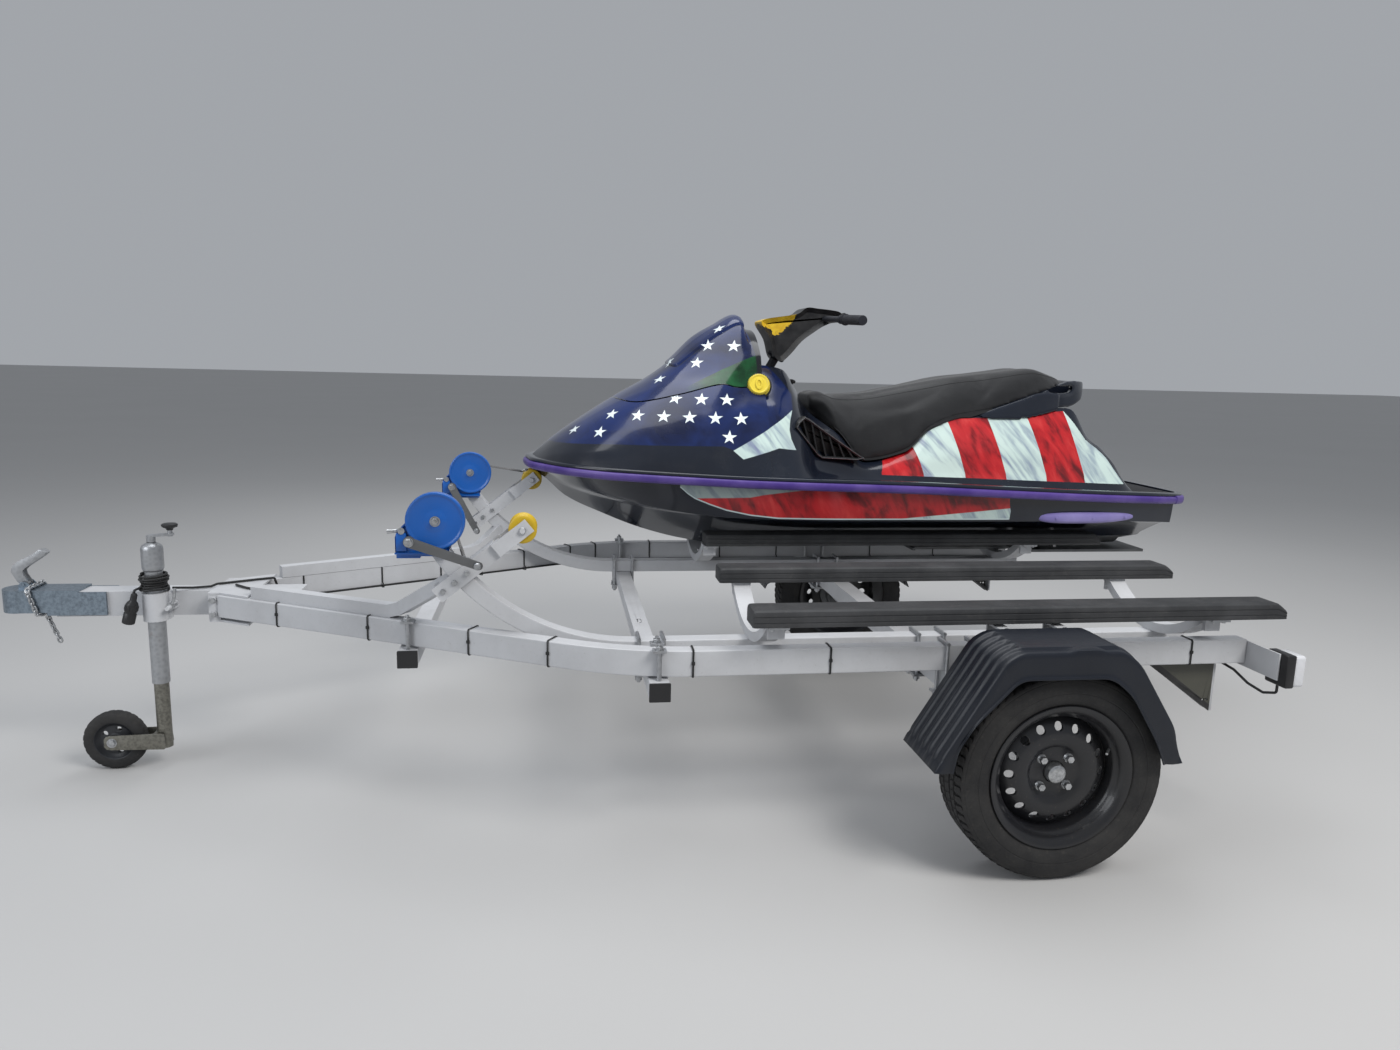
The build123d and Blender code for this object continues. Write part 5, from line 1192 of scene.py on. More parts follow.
def stuffed(ob, voxel_size, cap, pressure=4.0, tension=22.0, keep=None):
    """Cloth skin over the foam shape, blown out a little and held to cap metres of travel."""
    voxel(ob, voxel_size)
    me = ob.data
    start = np.array([v.co for v in me.vertices], float)
    g = ob.vertex_groups.new(name="pin")
    idx = [v.index for v in me.vertices if keep is not None and keep(v.co)]
    g.add(idx, 1.0, "REPLACE")
    md = ob.modifiers.new("cloth", "CLOTH")
    st = md.settings
    st.quality = 6
    st.mass = 0.4
    st.tension_stiffness = st.compression_stiffness = tension
    st.shear_stiffness = tension
    st.bending_stiffness = 2.0
    st.use_pressure = True
    st.uniform_pressure_force = pressure
    st.effector_weights.gravity = 0.0
    st.vertex_group_mass = "pin"
    md.collision_settings.use_collision = False
    md.point_cache.frame_start, md.point_cache.frame_end = 1, 20
    for f in range(1, 21):
        SC.frame_set(f)
    dg = bpy.context.evaluated_depsgraph_get()
    ev = ob.evaluated_get(dg).to_mesh()
    now = np.array([v.co for v in ev.vertices], float)
    ob.evaluated_get(dg).to_mesh_clear()
    ob.modifiers.clear()
    d = now - start
    L = np.linalg.norm(d, axis=1, keepdims=True)
    d *= np.minimum(1.0, cap / np.maximum(L, 1e-9))
    me.vertices.foreach_set("co", (start + d).ravel())
    SC.frame_set(1)
    bm = bmesh.new()
    bm.from_mesh(me)
    for _ in range(2):
        bmesh.ops.smooth_vert(bm, verts=bm.verts, factor=0.5, use_axis_x=True, use_axis_y=True, use_axis_z=True)
    bm.to_mesh(me)
    bm.free()
    return ob


def low_skin(co):
    """The cushion's underside stays glued to its base."""
    x, w, z = co.x * 1000 - SH, abs(co.y * 1000 - LANE), co.z * 1000
    zt = float(np.interp(x, [r[0] for r in PED], [r[10] for r in PED]))
    zs = float(np.interp(x, [r[0] for r in PED], [r[8] for r in PED]))
    return z < zt + 14 and w < 190 or z < zs + 10


stuffed(cushion, 0.008, 0.005, 3.0, 28.0, low_skin)
md = cushion.modifiers.new("sub", "SUBSURF")
md.levels = md.render_levels = 1
place(cushion, M_SEAT, "seat", ["seat"], deg=60)

# piping along the edge where the side of the cover meets its top, found on the finished skin
dg = bpy.context.evaluated_depsgraph_get()
cush_bvh = BVHTree.FromObject(cushion, dg)
parts = []
for s in (-1, 1):
    pts = []
    for x in even(-262, 664, 90):
        w = float(pchip([r[0] for r in SEAT], [r[5] for r in SEAT], [x])[0]) + 6
        z = float(pchip([r[0] for r in SEAT], [r[6] for r in SEAT], [x])[0]) - 4
        q = V(x, LANE + s * (w + 60), z + 40)
        d = (V(x, LANE + s * (w - 20), z - 22) - q).normalized()
        hit = cush_bvh.ray_cast(q, d)
        if hit[0] is not None:
            h = hit[0] * 1000
            pts.append((h.x - SH, h.y, h.z - 0.6))
    if len(pts) > 20:
        parts.append(tube(pts, 1.7, 8))
if parts:
    place(joined("seat_piping", parts), M_SEAT, "seat", deg=60)

# ---------------------------------------------------------------- moulding and grab handle behind the seat
MOULD = [(300, 188, 1054, 1064), (350, 194, 1050, 1082), (388, 197, 1046, 1096), (436, 197, 1042, 1112), (495, 194, 1050, 1132),
         (560, 187, 1066, 1152), (606, 180, 1078, 1153), (640, 172, 1087, 1152)]
rr = []
for x in even(300, 640, 30):
    w, z0, z1 = (float(pchip([r[0] for r in MOULD], [r[k] for r in MOULD], [x])[0]) for k in (1, 2, 3))
    q = [(w - 5, z0), (w - 1, z0 + 2.5), (w, z0 + 8), (w - 3.5, z1 - 6), (w - 7, z1)]
    rr.append([(x, LANE + u, z) for u, z in q] + [(x, LANE - u, z) for u, z in reversed(q)])
rail = new_object("grab_rail", *rings(rr))
loop_side = [(560, 1100), (590, 1092), (640, 1087), (685, 1095), (735, 1107), (786, 1126), (808, 1148), (815, 1172), (810, 1188), (788, 1196), (731, 1199), (690, 1197), (655, 1187), (628, 1179), (596, 1166), (560, 1150)]
ring_obj = new_object("tool", *slab(loop_side, LANE - 170, LANE + 170))
cut_with(ring_obj, slab([(596, 1155), (640, 1152), (670, 1152), (706, 1156), (722, 1167), (708, 1178), (640, 1179), (596, 1178)], LANE - 180, LANE + 180))
outer = spline([(560, 178, 0), (640, 161, 0), (700, 130, 0), (752, 97, 0), (790, 60, 0), (811, 24, 0), (815, 0, 0)], 5)
inner = spline([(500, 140, 0), (640, 124, 0), (700, 98, 0), (742, 70, 0), (770, 40, 0), (781, 16, 0), (783, 0, 0)], 5)
for line, op in ((outer, "INTERSECT"), (inner, "DIFFERENCE")):
    pp = [(x, w) for x, w, _ in line] + [(x, -w) for x, w, _ in reversed(line[:-1])]
    k = len(pp)
    vs = [(x, LANE + w, 1000.0) for x, w in pp] + [(x, LANE + w, 1300.0) for x, w in pp]
    fs = [tuple(range(k)), tuple(range(k, 2 * k))] + [(i, (i + 1) % k, (i + 1) % k + k, i + k) for i in range(k)]
    tool = new_object("tool2", vs, fs)
    boolean(ring_obj, tool, op)
    bpy.data.objects.remove(tool, do_unlink=True)
boolean(rail, ring_obj, "UNION")
bpy.data.objects.remove(ring_obj, do_unlink=True)
cut_with(rail, rings(section_body(ped_grown(3.4), PX, [3, 4, 4, 4, 4], [1.0, 0.4, 0.35, 0.45, 0.8, 0.0])))
voxel(rail, 0.0036)
bm = bmesh.new()
bm.from_mesh(rail.data)
for _ in range(9):
    bmesh.ops.smooth_vert(bm, verts=bm.verts, factor=0.5, use_axis_x=True, use_axis_y=True, use_axis_z=True)
bm.to_mesh(rail.data)
bm.free()
place(rail, M_GLOSS, "seat", ["grab_handle"], deg=70)


# ================================================================ trailer: CAD nodes that stay, with worn edges
def keep(names, mat, width=0.0016, angle=30.0, seg=2):
    for n in names:
        o = NODES[n]
        o.data.materials.clear()
        o.data.materials.append(mat)
        w = o.modifiers.new("weld", "WELD")
        w.merge_threshold = 1e-5
        if width:
            b = o.modifiers.new("edge", "BEVEL")
            b.width, b.segments, b.limit_method, b.angle_limit = width, seg, "ANGLE", math.radians(angle)
            b.use_clamp_overlap = True
            b.harden_normals = False
        k = o.modifiers.new("normals", "WEIGHTED_NORMAL")
        k.keep_sharp = True


keep(["rail_left", "rail_right", "keel_beam_left", "keel_beam_right"], M_FRAME, 0.0028)
keep(["drawbar", "drawbar_bracket", "cross_members", "axle", "cradles", "winch_struts"], M_FRAME, 0.0018)
keep(["bow_arms"], M_FRAME, 0.001)
keep(["rear_brackets"], M_BRACKET, 0.0008)
keep(["end_caps"], M_CAP, 0.002)
keep(["coupler_body"], plain_steel("coupler_zinc", (0.30, 0.36, 0.42), 0.34), 0.0015)
keep(["clamps"], M_GALV, 0.0008)
keep(["jockey_clamp"], M_FRAME, 0.0008)
keep(["jockey_nut"], M_ZINC, 0.0)
keep(["light_cable"], M_CABLE, 0.0)
keep(["engine"], M_METAL_DARK, 0.008)
keep(["jet_pump", "jet_nozzle"], M_ALLOY, 0.0008)
keep(["ride_plate", "intake_grate"], M_METAL_DARK, 0.0008)
keep(["impeller"], M_ZINC, 0.0006)


def rail_y(x):
    a = math.radians(28.8)
    tl = 650.0 * math.tan(a / 2)
    bs, be = -1021.0 + tl, -1021.0 - tl * math.cos(a)
    if x >= bs:
        return -712.5
    if x <= be:
        return -712.5 + (-1021.0 - x) * math.tan(a)
    return -712.5 + 650.0 - math.sqrt(650.0 ** 2 - (bs - x) ** 2)


def rail_dir(x):
    d = rail_y(x + 1.0) - rail_y(x - 1.0)
    return math.atan2(d, 2.0)


# cable ties: a thin band round the rail and the cable beside it
def tie(x, s, tail=True):
    a = rail_dir(x)
    c = Vector((x, s * -rail_y(x), 498.0))
    t = Vector((math.cos(a), s * -math.sin(a), 0)).normalized()
    n = Vector((-t.y, t.x, 0))
    if n.y * s < 0:
        n = -n
    out = []
    hw, zl, zh, r = 22.5, 465.0, 531.0, 2.2
    prof = [(hw + r, zh - 3), (hw - 2, zh + r), (-hw + 2, zh + r), (-hw - r, zh - 3), (-hw - r, 480), (-hw - 13.6, 474), (-hw - 13.6, 464),
            (-hw - r, zl - r), (hw - 2, zl - r), (hw + r, zl + 3)]
    rr = []
    for u, z in prof:
        p = c + n * u
        rr.append((p.x, p.y, z))
    out.append(rings([[tuple(Vector(q) + t * dx + (Vector(q) - Vector((c.x, c.y, 498))).normalized() * dr) for dx, dr in ((-2.4, -0.9), (-2.4, 0.7), (2.4, 0.7), (2.4, -0.9))]
                      for q in rr], close_u=True))
    h = c + n * (hw + 2.5)
    b = rbox(-4.2, 4.2, -3.0, 3.2, -4.5, 4.5, 1.2, 1)
    m = Matrix((t, n, Vector((0, 0, 1)))).transposed()
    out.append(([tuple(Vector((h.x, h.y, 500)) + m @ Vector(v)) for v in b[0]], b[1]))
    return out


parts = []
for x in (-2010, -1790, -1610, -1480, -1330, -1160, -1060, -840, -560, -330, 60, 330, 560):
    parts += tie(x, 1)
for x in (-1975, -1700, -1420, -1215, -870, -520, 200, 480):
    parts += tie(x, -1)
place(joined("cable_ties", parts), M_CABLE, deg=40)

# ---------------------------------------------------------------- bolts and nuts all over the frame
parts = []
for s in (-1, 1):
    for x, half, yo in ((-1595.0, 450.0, 31.0), (-955.0, 760.0, 26.0)):
        ry = -s * rail_y(x)
        for q in (-1, 1):
            yb = ry + q * s * (yo + 7)
            if not (x < -1100 and q < 0):
                parts.append(lathe([(0, 0), (12, 0), (12, 1.6), (0, 1.6)], (x, yb, 537.2), (0, 0, 1), 24))
                parts.append(hexnut((x, yb, 538.6), (0, 0, 1), 17, 8.5))
                parts.append(lathe([(0, 0), (4.6, 0), (5, 5.5), (4.0, 7), (0, 7)], (x, yb, 546.4), (0, 0, 1), 16))
            parts.append(hexnut((x, yb, 414.0), (0, 0, -1), 15, 6.5))
    for x in (-2190.0,):
        for z in (474.0, 517.0):
            parts.append(hexnut((x, s * 105.0, z), (0, s, 0), 17, 6.0))
    for x in (-95.0, 60.0):             # stays to the rail and to the mudguard
        for z in (486, 512):
            parts.append(lathe([(0, 0), (6.5, 0), (6.5, 3.0), (3.5, 4.2), (0, 4.2)], (x, s * 741.4, z), (0, s, 0), 16))
        for y in (822, 852):
            parts.append(lathe([(0, 0), (8.5, 0), (8.0, 2.0), (4.5, 3.4), (0, 3.6)], (x, s * y, 596.2 if y < 848 else 596.2), (0, 0, 1), 18))
    for z in (472, 510):                # lamp plate to the rail's end
        parts.append(hexnut((650.2, s * 712, z), (1, 0, 0), 13, 5.0))
    y = s * LANE                        # cradle to keel beam, bunk to cradle
    for x in (-668.0, 520.0):
        for q in (-1, 1):
            parts.append(hexnut((x, y + q * 14, 529.5), (0, 0, 1), 13, 7.0))
            for dx in (-14, 14):
                parts.append(hexnut((x + dx, y + q * (238 + 22), 595.5), (0, 0, -1), 10, 5.0))
place(joined("frame_bolts", parts), M_ZINC, deg=30)

# ---------------------------------------------------------------- bunks
parts = []
for s, x0, x1 in ((-1, -735.0, 700.0), (1, -690.0, 790.0)):
    for q in (-1, 1):
        yb = s * LANE + q * 238.0
        prof = [(-45, 608), (-44.6, 605), (-41, 603.2), (41, 603.2), (44.6, 605), (45, 608)]
        side = [(45, 613), (43.6, 614.2), (43.6, 616.2), (45, 617.4), (45, 628), (43.6, 629.2), (43.6, 631.2), (45, 632.4), (45, 637.0), (42.6, 642.6), (37.0, 646.0)]
        top = []
        for k in range(9):
            c = 32 - 8 * k
            top += [(c + 1.6, 646.4), (c + 0.9, 645.2), (c - 0.9, 645.2), (c - 1.6, 646.4)]
        full = prof + side + top + [(-u, z) for u, z in reversed(side)]
        rr = []
        for x, k in ((x0, 0.86), (x0 + 1.5, 0.94), (x0 + 5, 0.985), (x0 + 11, 1.0)):
            rr.append([(x, yb + u * k, 603.2 + (z - 603.2) * k) for u, z in full])
        for x in even(x0 + 40, x1 - 60, 14):
            rr.append([(x, yb + u, z) for u, z in full])
        for x, k in ((x1 - 30, 1.0), (x1 - 24, 0.97), (x1 - 12, 0.78), (x1 - 2.5, 0.60), (x1, 0.52)):
            kk = 1.0 if x < x1 - 4 else 0.975
            rr.append([(x, yb + u * kk, 603.2 + (z - 603.2) * k) for u, z in full])
        parts.append(rings(rr))
place(joined("bunk_pads", parts), M_BUNK, repl=["bunks"], deg=28)

# ---------------------------------------------------------------- mudguards
GT = [(-341, 311), (-334, 346), (-192, 577), (-150, 601), (112, 601), (160, 565), (268, 399), (283, 311)]
GA = [(-298, 311), (-288, 372), (-252, 424), (-149, 530), (78, 529), (132, 486), (209, 364), (231, 311)]


def rounded_line(pts, cut=0.22, per=6):
    """Straight runs with rounded corners, same number of points for any outline."""
    out = [pts[0]]
    for i in range(1, len(pts) - 1):
        p, a, b = np.array(pts[i], float), np.array(pts[i - 1], float), np.array(pts[i + 1], float)
        c = min(26.0, cut * min(np.linalg.norm(a - p), np.linalg.norm(b - p)) * 2)
        q0 = p + (a - p) / np.linalg.norm(a - p) * c
        q1 = p + (b - p) / np.linalg.norm(b - p) * c
        for k in range(per + 1):
            t = k / per
            out.append(tuple((1 - t) ** 2 * q0 + 2 * t * (1 - t) * p + t * t * q1))
    out.append(pts[-1])
    return out


gt, ga = rounded_line(GT), rounded_line(GA)
dense_t, dense_a = [], []
for i in range(len(gt) - 1):
    L = math.hypot(gt[i + 1][0] - gt[i][0], gt[i + 1][1] - gt[i][1])
    n = max(1, int(L / 18))
    for k in range(n):
        dense_t.append(tuple(gt[i][j] + (gt[i + 1][j] - gt[i][j]) * k / n for j in (0, 1)))
        dense_a.append(tuple(ga[i][j] + (ga[i + 1][j] - ga[i][j]) * k / n for j in (0, 1)))
dense_t.append(gt[-1])
dense_a.append(ga[-1])
for s, nm in ((-1, "left"), (1, "right")):
    n = len(dense_t)
    rr = []
    for i, (p, q) in enumerate(zip(dense_t, dense_a)):
        a, b = np.array(dense_t[max(i - 1, 0)]), np.array(dense_t[min(i + 1, n - 1)])
        t = (b - a) / np.linalg.norm(b - a)
        nx, nz = -t[1], t[0]
        if nx * (p[0] + 20) + nz * (p[1] - 270) < 0:
            nx, nz = -nx, -nz
        e = min(i, n - 1 - i)
        flare = -5.0 * min(1.0, e / 1.5) if e < 3 else -5.0        # the ends turn outwards into a lip
        endk = min(1.0, e / 3.0)
        flat = min(1.0, max(0.0, (p[0] + 150.0) / 9.0)) * min(1.0, max(0.0, (112.0 - p[0]) / 9.0))
        tongue = min(1.0, max(0.0, (p[0] + 22.0) / 6.0)) * min(1.0, max(0.0, (52.0 - p[0]) / 6.0))
        prof = [(806.5, -13), (806.5, -6)]
        for k in range(64):
            y = 808.5 + k * 3.02
            rib = max(math.exp(-((y - c) / 7.5) ** 4) for c in (836.0, 870.0, 904.0, 938.0, 972.0))
            plate = min(1.0, max(0.0, (y - 822.0) / 4.0)) * max(min(1.0, max(0.0, (984.0 - y) / 4.0)), tongue)
            groove = 0.6 * (0.5 + 0.5 * math.cos(2 * math.pi * y / 13.0)) ** 4
            prof.append((y, -4.0 + (1 - flat) * 5.4 * rib + flat * (6.6 * plate - groove * plate)))
        prof += [(1002.5, -4.4 + 5.0 * tongue * flat), (1006.4, -6.6 + 6.4 * tongue * flat), (1008.4, -10.4 + 4.0 * tongue * flat), (1008.9, -17)]
        row = []
        for y, o in prof:
            oo = o * endk + flare + 2.0
            row.append((p[0] + nx * oo, s * y, p[1] + nz * oo))
        edge = np.array((p[0] + nx * (-17 + flare + 2.0), p[1] + nz * (-17 + flare + 2.0)))
        tgt = np.array(q)
        for t_, y in ((0.2, 1009.2), (0.45, 1009.4), (0.7, 1009.4), (0.8, 1009.6), (0.85, 1010.4), (0.88, 1013.4), (0.94, 1014.6), (0.98, 1014.4), (1.0, 1012.6)):
            w = edge + (tgt - edge) * t_
            row.append((w[0], s * y, w[1]))
        rr.append(row)
    m = len(rr[0])
    vs = [p for r in rr for p in r]
    ob = new_object("guard_" + nm, vs, grid_faces(n, m))
    md = ob.modifiers.new("thick", "SOLIDIFY")
    md.thickness, md.offset = 0.0032, -1.0
    md2 = ob.modifiers.new("edge", "BEVEL")
    md2.width, md2.segments, md2.limit_method, md2.angle_limit = 0.001, 2, "ANGLE", math.radians(55)
    bm = bmesh.new()
    bm.from_mesh(ob.data)
    bmesh.ops.recalc_face_normals(bm, faces=bm.faces)
    top = max(bm.faces, key=lambda f: f.calc_center_median().z)
    if top.normal.z < 0:
        bmesh.ops.reverse_faces(bm, faces=bm.faces)
    bm.to_mesh(ob.data)
    bm.free()
    place(ob, M_GUARD, repl=["mudguard_" + nm], deg=50)

# ---------------------------------------------------------------- tail lamps
parts_b, parts_l, parts_s = [], [], []
for s in (-1, 1):
    y0, y1 = sorted((s * 802.0, s * 878.0))
    parts_b.append(rbox(651.0, 677.0, y0 + 0.5, y1 - 0.5, 440.5, 528.5, 5.0, 3))
    parts_l.append(rbox(672.0, 708.4, y0 + 2.5, y1 - 2.5, 442.5, 526.5, 9.0, 4))
    for z in (456, 513):
        parts_s.append(lathe([(0, -1), (3.6, -1), (4.0, 0.2), (3.0, 1.0), (0, 1.0)], (708.0, s * 840, z), (1, 0, 0), 14))
place(joined("lamp_bases", parts_b), M_BLACK, repl=["tail_lamps"], deg=35)
place(joined("lamp_lenses", parts_l), M_LENS, deg=35)
place(joined("lamp_screws", parts_s), M_ZINC, deg=35)

# ---------------------------------------------------------------- road wheels
WR, WY = 266.6, 905.0


def tread(s):
    prof = [(165.8, 53.5), (167, 55.2), (172, 56.0), (178, 57.6), (184, 60.0), (187.5, 63.4), (190, 66.4), (198, 70.6), (206, 72.9), (214, 73.8), (216, 74.0),
            (217, 73.2), (219, 73.2), (220, 74.0), (232, 73.8), (240, 72.0), (247, 69.8), (249, 69.4), (250, 68.3), (251.4, 68.3), (252.4, 68.2), (257.4, 65.2)]
    cols = [(r, h, 0) for r, h in prof]
    edge = [62.5, 59.5, 54.0, 47.0, 44.2, 43.4, 38.0, 37.2, 33, 27, 20.0, 19.2, 13.4, 12.6, 7, 0]
    dep = [0, 0, 0, 0, 0, 1, 1, 0, 0, 0, 0, 1, 1, 0, 0, 0]
    full = edge + [-e for e in reversed(edge[:-1])]
    fd = dep + list(reversed(dep[:-1]))

    def crown(h):
        a = abs(h)
        return WR - 0.25 - 0.0004 * a * a - (0.0 if a < 46 else 0.018 * (a - 46) ** 2)
    cols += [(crown(h), h, 1 + d) for h, d in zip(full, fd)]
    cols += [(r, -h, 0) for r, h in reversed(prof)]
    pitches, steps = 66, [0.0, 0.06, 0.10, 0.5, 0.54, 0.62]
    rr = []
    for k in range(pitches):
        for i, st in enumerate(steps):
            row = []
            for r, h, kind in cols:
                slant = 0.0
                rad = r
                if kind:
                    slant = 0.55 * math.sin(h / 62.0 * math.pi / 2) + (0.12 if 19 < abs(h) < 38 else 0.0)
                    cut = 0.0
                    if kind == 2:
                        cut = 6.2
                    elif abs(h) > 43.6 and i in (0, 1):
                        cut = 5.4
                    elif 20.5 < abs(h) < 36.5 and i in (3, 4):
                        cut = 4.2
                    elif abs(h) < 12 and i in (0, 1) and abs(h) > 5:
                        cut = 3.6
                    rad = r - cut
                a = 2 * math.pi * (k + st + slant * min(1.0, max(0.0, (rad - 250) / 8))) / pitches
                row.append((rad * math.cos(a), s * WY + h, WR + rad * math.sin(a)))
            rr.append(row)
    vs = [p for r in rr for p in r]
    return vs, grid_faces(len(rr), len(cols), True, True)


RIM = [(28, 24), (62, 24), (66, 26.5), (70, 30.5), (82, 34), (100, 36), (112, 33), (124, 26), (133, 18), (140, 12), (144.5, 7), (146, 9), (146, 33), (148.5, 38),
       (152, 42), (156, 46), (158, 50), (161, 55), (166, 60), (172, 64), (179, 66), (182, 66.1), (183.2, 64.5), (183, 61), (177, 58.6), (171, 56.8), (165.4, 54.5), (165.0, 51), (165.0, 48),
       (158, 41), (151, 36), (151, -42), (158, -47), (165.0, -50), (165.0, -54.5), (171, -56.8), (177, -58.6), (183, -60), (183.2, -64), (182, -66), (179, -66), (172, -64), (166, -60),
       (156, -51), (147, -44), (146, -3), (142, 1.5), (138, 5), (130, 12.5), (122, 19), (111, 26), (100, 29), (82, 27), (70, 23), (62, 17), (28, 17)]
for s, nm in ((-1, "left"), (1, "right")):
    body = "wheel_" + nm
    place(joined("road_tyre_" + nm, [tread(s)]), M_TYRE, body, ["tyre_" + nm], deg=38)
    c = Vector((0, s * WY, WR))
    disc = [(r, h) for r, h in RIM]
    n = 128
    rr = [[(c.x + r * math.cos(2 * math.pi * k / n), c.y + s * h, c.z + r * math.sin(2 * math.pi * k / n)) for k in range(n)] for r, h in disc]
    vs, fs = rings(rr, close_u=True)
    rim = new_object("steel_rim_" + nm, vs, fs)
    for i in range(16):
        t = 2 * math.pi * i / 16
        cut_with(rim, lathe([(11, 6), (11, 48)], (118 * math.cos(t), c.y, c.z + 118 * math.sin(t)), (0, s, 0), 20))
    md = rim.modifiers.new("edge", "BEVEL")
    md.width, md.segments, md.limit_method, md.angle_limit = 0.0012, 2, "ANGLE", math.radians(50)
    place(rim, M_RIM, body, ["rim_" + nm], deg=40)
    parts = [lathe([(0, -58), (56, -58), (58, -56), (58, -20), (78, -14), (78, 17.2), (20, 17.4), (0, 17.4)], c, (0, s, 0), 64)]
    place(joined("brake_hub_" + nm, parts), M_METAL_DARK, body, deg=35)
    parts = [lathe([(0, 18), (25.5, 18), (26, 24), (25, 30), (24.4, 36), (22.6, 41.6), (18, 44.6), (15, 44.9), (14, 44.2), (0, 44.0)], c, (0, s, 0), 48)]
    for i in range(4):
        t = 2 * math.pi * (i + 0.5) / 4
        b = (49 * math.cos(t), c.y, c.z + 49 * math.sin(t))
        parts.append(lathe([(0, 20), (12.5, 20), (12.5, 25), (10.8, 27.6), (0, 27.6)], b, (0, s, 0), 24))
        parts.append(hexnut((b[0], b[1] + s * 27.0, b[2]), (0, s, 0), 17, 12.5))
    parts.append(tube([(150 * math.cos(0.39), c.y + s * 30, c.z + 150 * math.sin(0.39)), (138 * math.cos(0.39), c.y + s * 40, c.z + 138 * math.sin(0.39)),
                       (132 * math.cos(0.39), c.y + s * 47, c.z + 132 * math.sin(0.39))], [3.6, 3.4, 3.2], 12))
    place(joined("hub_cap_bolts_" + nm, parts), M_ZINC, body, deg=32)

# ---------------------------------------------------------------- winches
WX, WZ = -1502.0, 828.0
PXX, PZZ = WX - 62.0, WZ - 49.0
for s, nm in ((-1, "left"), (1, "right")):
    y = s * LANE
    yd = y - 58.0
    parts = []
    cheek = [(WX - 98, WZ - 92), (WX - 94, WZ - 34), (WX - 84, WZ - 16), (WX - 62, WZ + 6), (WX - 40, WZ + 28), (WX - 14, WZ + 36), (WX + 12, WZ + 33),
             (WX + 32, WZ + 8), (WX + 34, WZ - 20), (WX + 28, WZ - 92)]
    for y0, y1 in ((y - 37, y - 33), (y + 33, y + 37)):
        parts.append(prism(cheek, y0, y1, 0.7))
    parts.append(rbox(WX - 98, WX - 40, y - 37, y + 37, WZ - 97, WZ - 91, 1.2, 2))
    for q in (-1, 1):
        parts.append(rbox(WX - 30, WX + 24, y + q * 25.2, y + q * 34, WZ - 91, WZ - 64, 1.0, 1))
    house = [(WX - 98, WZ - 80), (WX - 98, WZ - 40), (WX - 92, WZ - 26), (WX - 76, WZ - 12), (WX - 60, WZ - 2), (WX - 20, WZ + 4), (WX + 20, WZ - 20), (WX + 38, WZ - 58), (WX + 30, WZ - 80)]
    parts.append(puffed(house, yd + 7, y - 36, 5.0, 4, 4, False))
    parts.append(rbox(WX - 99.5, WX + 33, yd + 4, y - 33, WZ - 84, WZ - 79.5, 1.0, 2))
    R = 73.0
    parts.append(lathe([(0, -22), (R - 1.5, -22), (R - 0.4, -20), (R - 0.4, -3.2), (R - 1.6, -0.9), (R - 4.2, 0), (R - 7.0, -0.6), (R - 9.0, -2.4), (R - 12, -3.2), (30, -3.6),
                        (26, -3.2), (20, -1.4), (0, -1.4)], (WX, yd, WZ), (0, -1, 0), 96))
    parts.append(rbox(WX - 96, WX - 70, yd + 3.0, yd + 12, WZ - 76, WZ - 30, 3.0, 2))
    ob = joined("winch_body_" + nm, parts)
    place(ob, M_BLUE, repl=["winch_frames"], deg=30)
    parts = [hexnut((WX, yd + 1.6, WZ), (0, -1, 0), 17, 8.0), lathe([(0, 0), (13, 0), (13, 1.6), (0, 1.6)], (WX, yd + 1.5, WZ), (0, -1, 0), 28),
             lathe([(0, 0), (4.8, 0), (4.6, 4), (0, 4.4)], (WX, yd - 6.0, WZ), (0, -1, 0), 16),
             tube([(WX - 94, yd + 18, WZ - 26), (WX - 104, yd + 18, WZ - 27), (WX - 118, yd + 18, WZ - 28)], [5, 5, 6.2], 14),
             lathe([(0, 0), (8.5, 0), (8.5, 3), (5, 3.4), (0, 3.4)], (WX - 82, yd + 3.5, WZ - 24), (0, -1, 0), 20),
             tube([(WX, y - 34, WZ), (WX, y + 40, WZ)], 8, 18), hexnut((WX, y + 37.2, WZ), (0, 1, 0), 17, 8)]
    for dx, dz in ((-88, -87), (22, -87)):
        parts.append(hexnut((WX + dx, y - 37.2, WZ + dz + 22), (0, -1, 0), 10, 4.5))
    for dx in (-18, 12):
        for q in (-1, 1):
            parts.append(hexnut((WX + dx, y + q * 37.0, WZ - 77), (0, q, 0), 13, 6.0))
    place(joined("winch_bolts_" + nm, parts), M_ZINC, deg=30)
    # drum: two flanges and the wound strap
    parts = [lathe([(8.2, -30), (42.5, -30), (44, -28.8), (44, -27.2), (42.5, -26), (10, -26), (10, 26), (42.5, 26), (44, 27.2), (44, 28.8), (42.5, 30), (8.2, 30)], (WX, y, WZ), (0, 1, 0), 64)]
    place(joined("drum_" + nm, parts), M_GALV, "winch_drum_" + nm, ["winch_drum_" + nm], deg=35)
    wound = []
    for k in range(121):
        a = 2 * math.pi * k / 24
        r = 26.0 + 1.45 * k / 24
        wound.append([(WX + (r + t) * math.cos(a), y + w, WZ + (r + t) * math.sin(a)) for w, t in ((-23, -0.6), (-23, 0.6), (23, 0.6), (23, -0.6))])
    place(joined("strap_roll_" + nm, [rings(wound)]), M_STRAP, "winch_drum_" + nm, deg=40)
    # crank: flat arm with round ends, spacer hub, nuts
    ang = math.radians(-20.0 if s < 0 else -62.0)
    ca, sa = math.cos(ang), math.sin(ang)
    ya = yd - 16.0

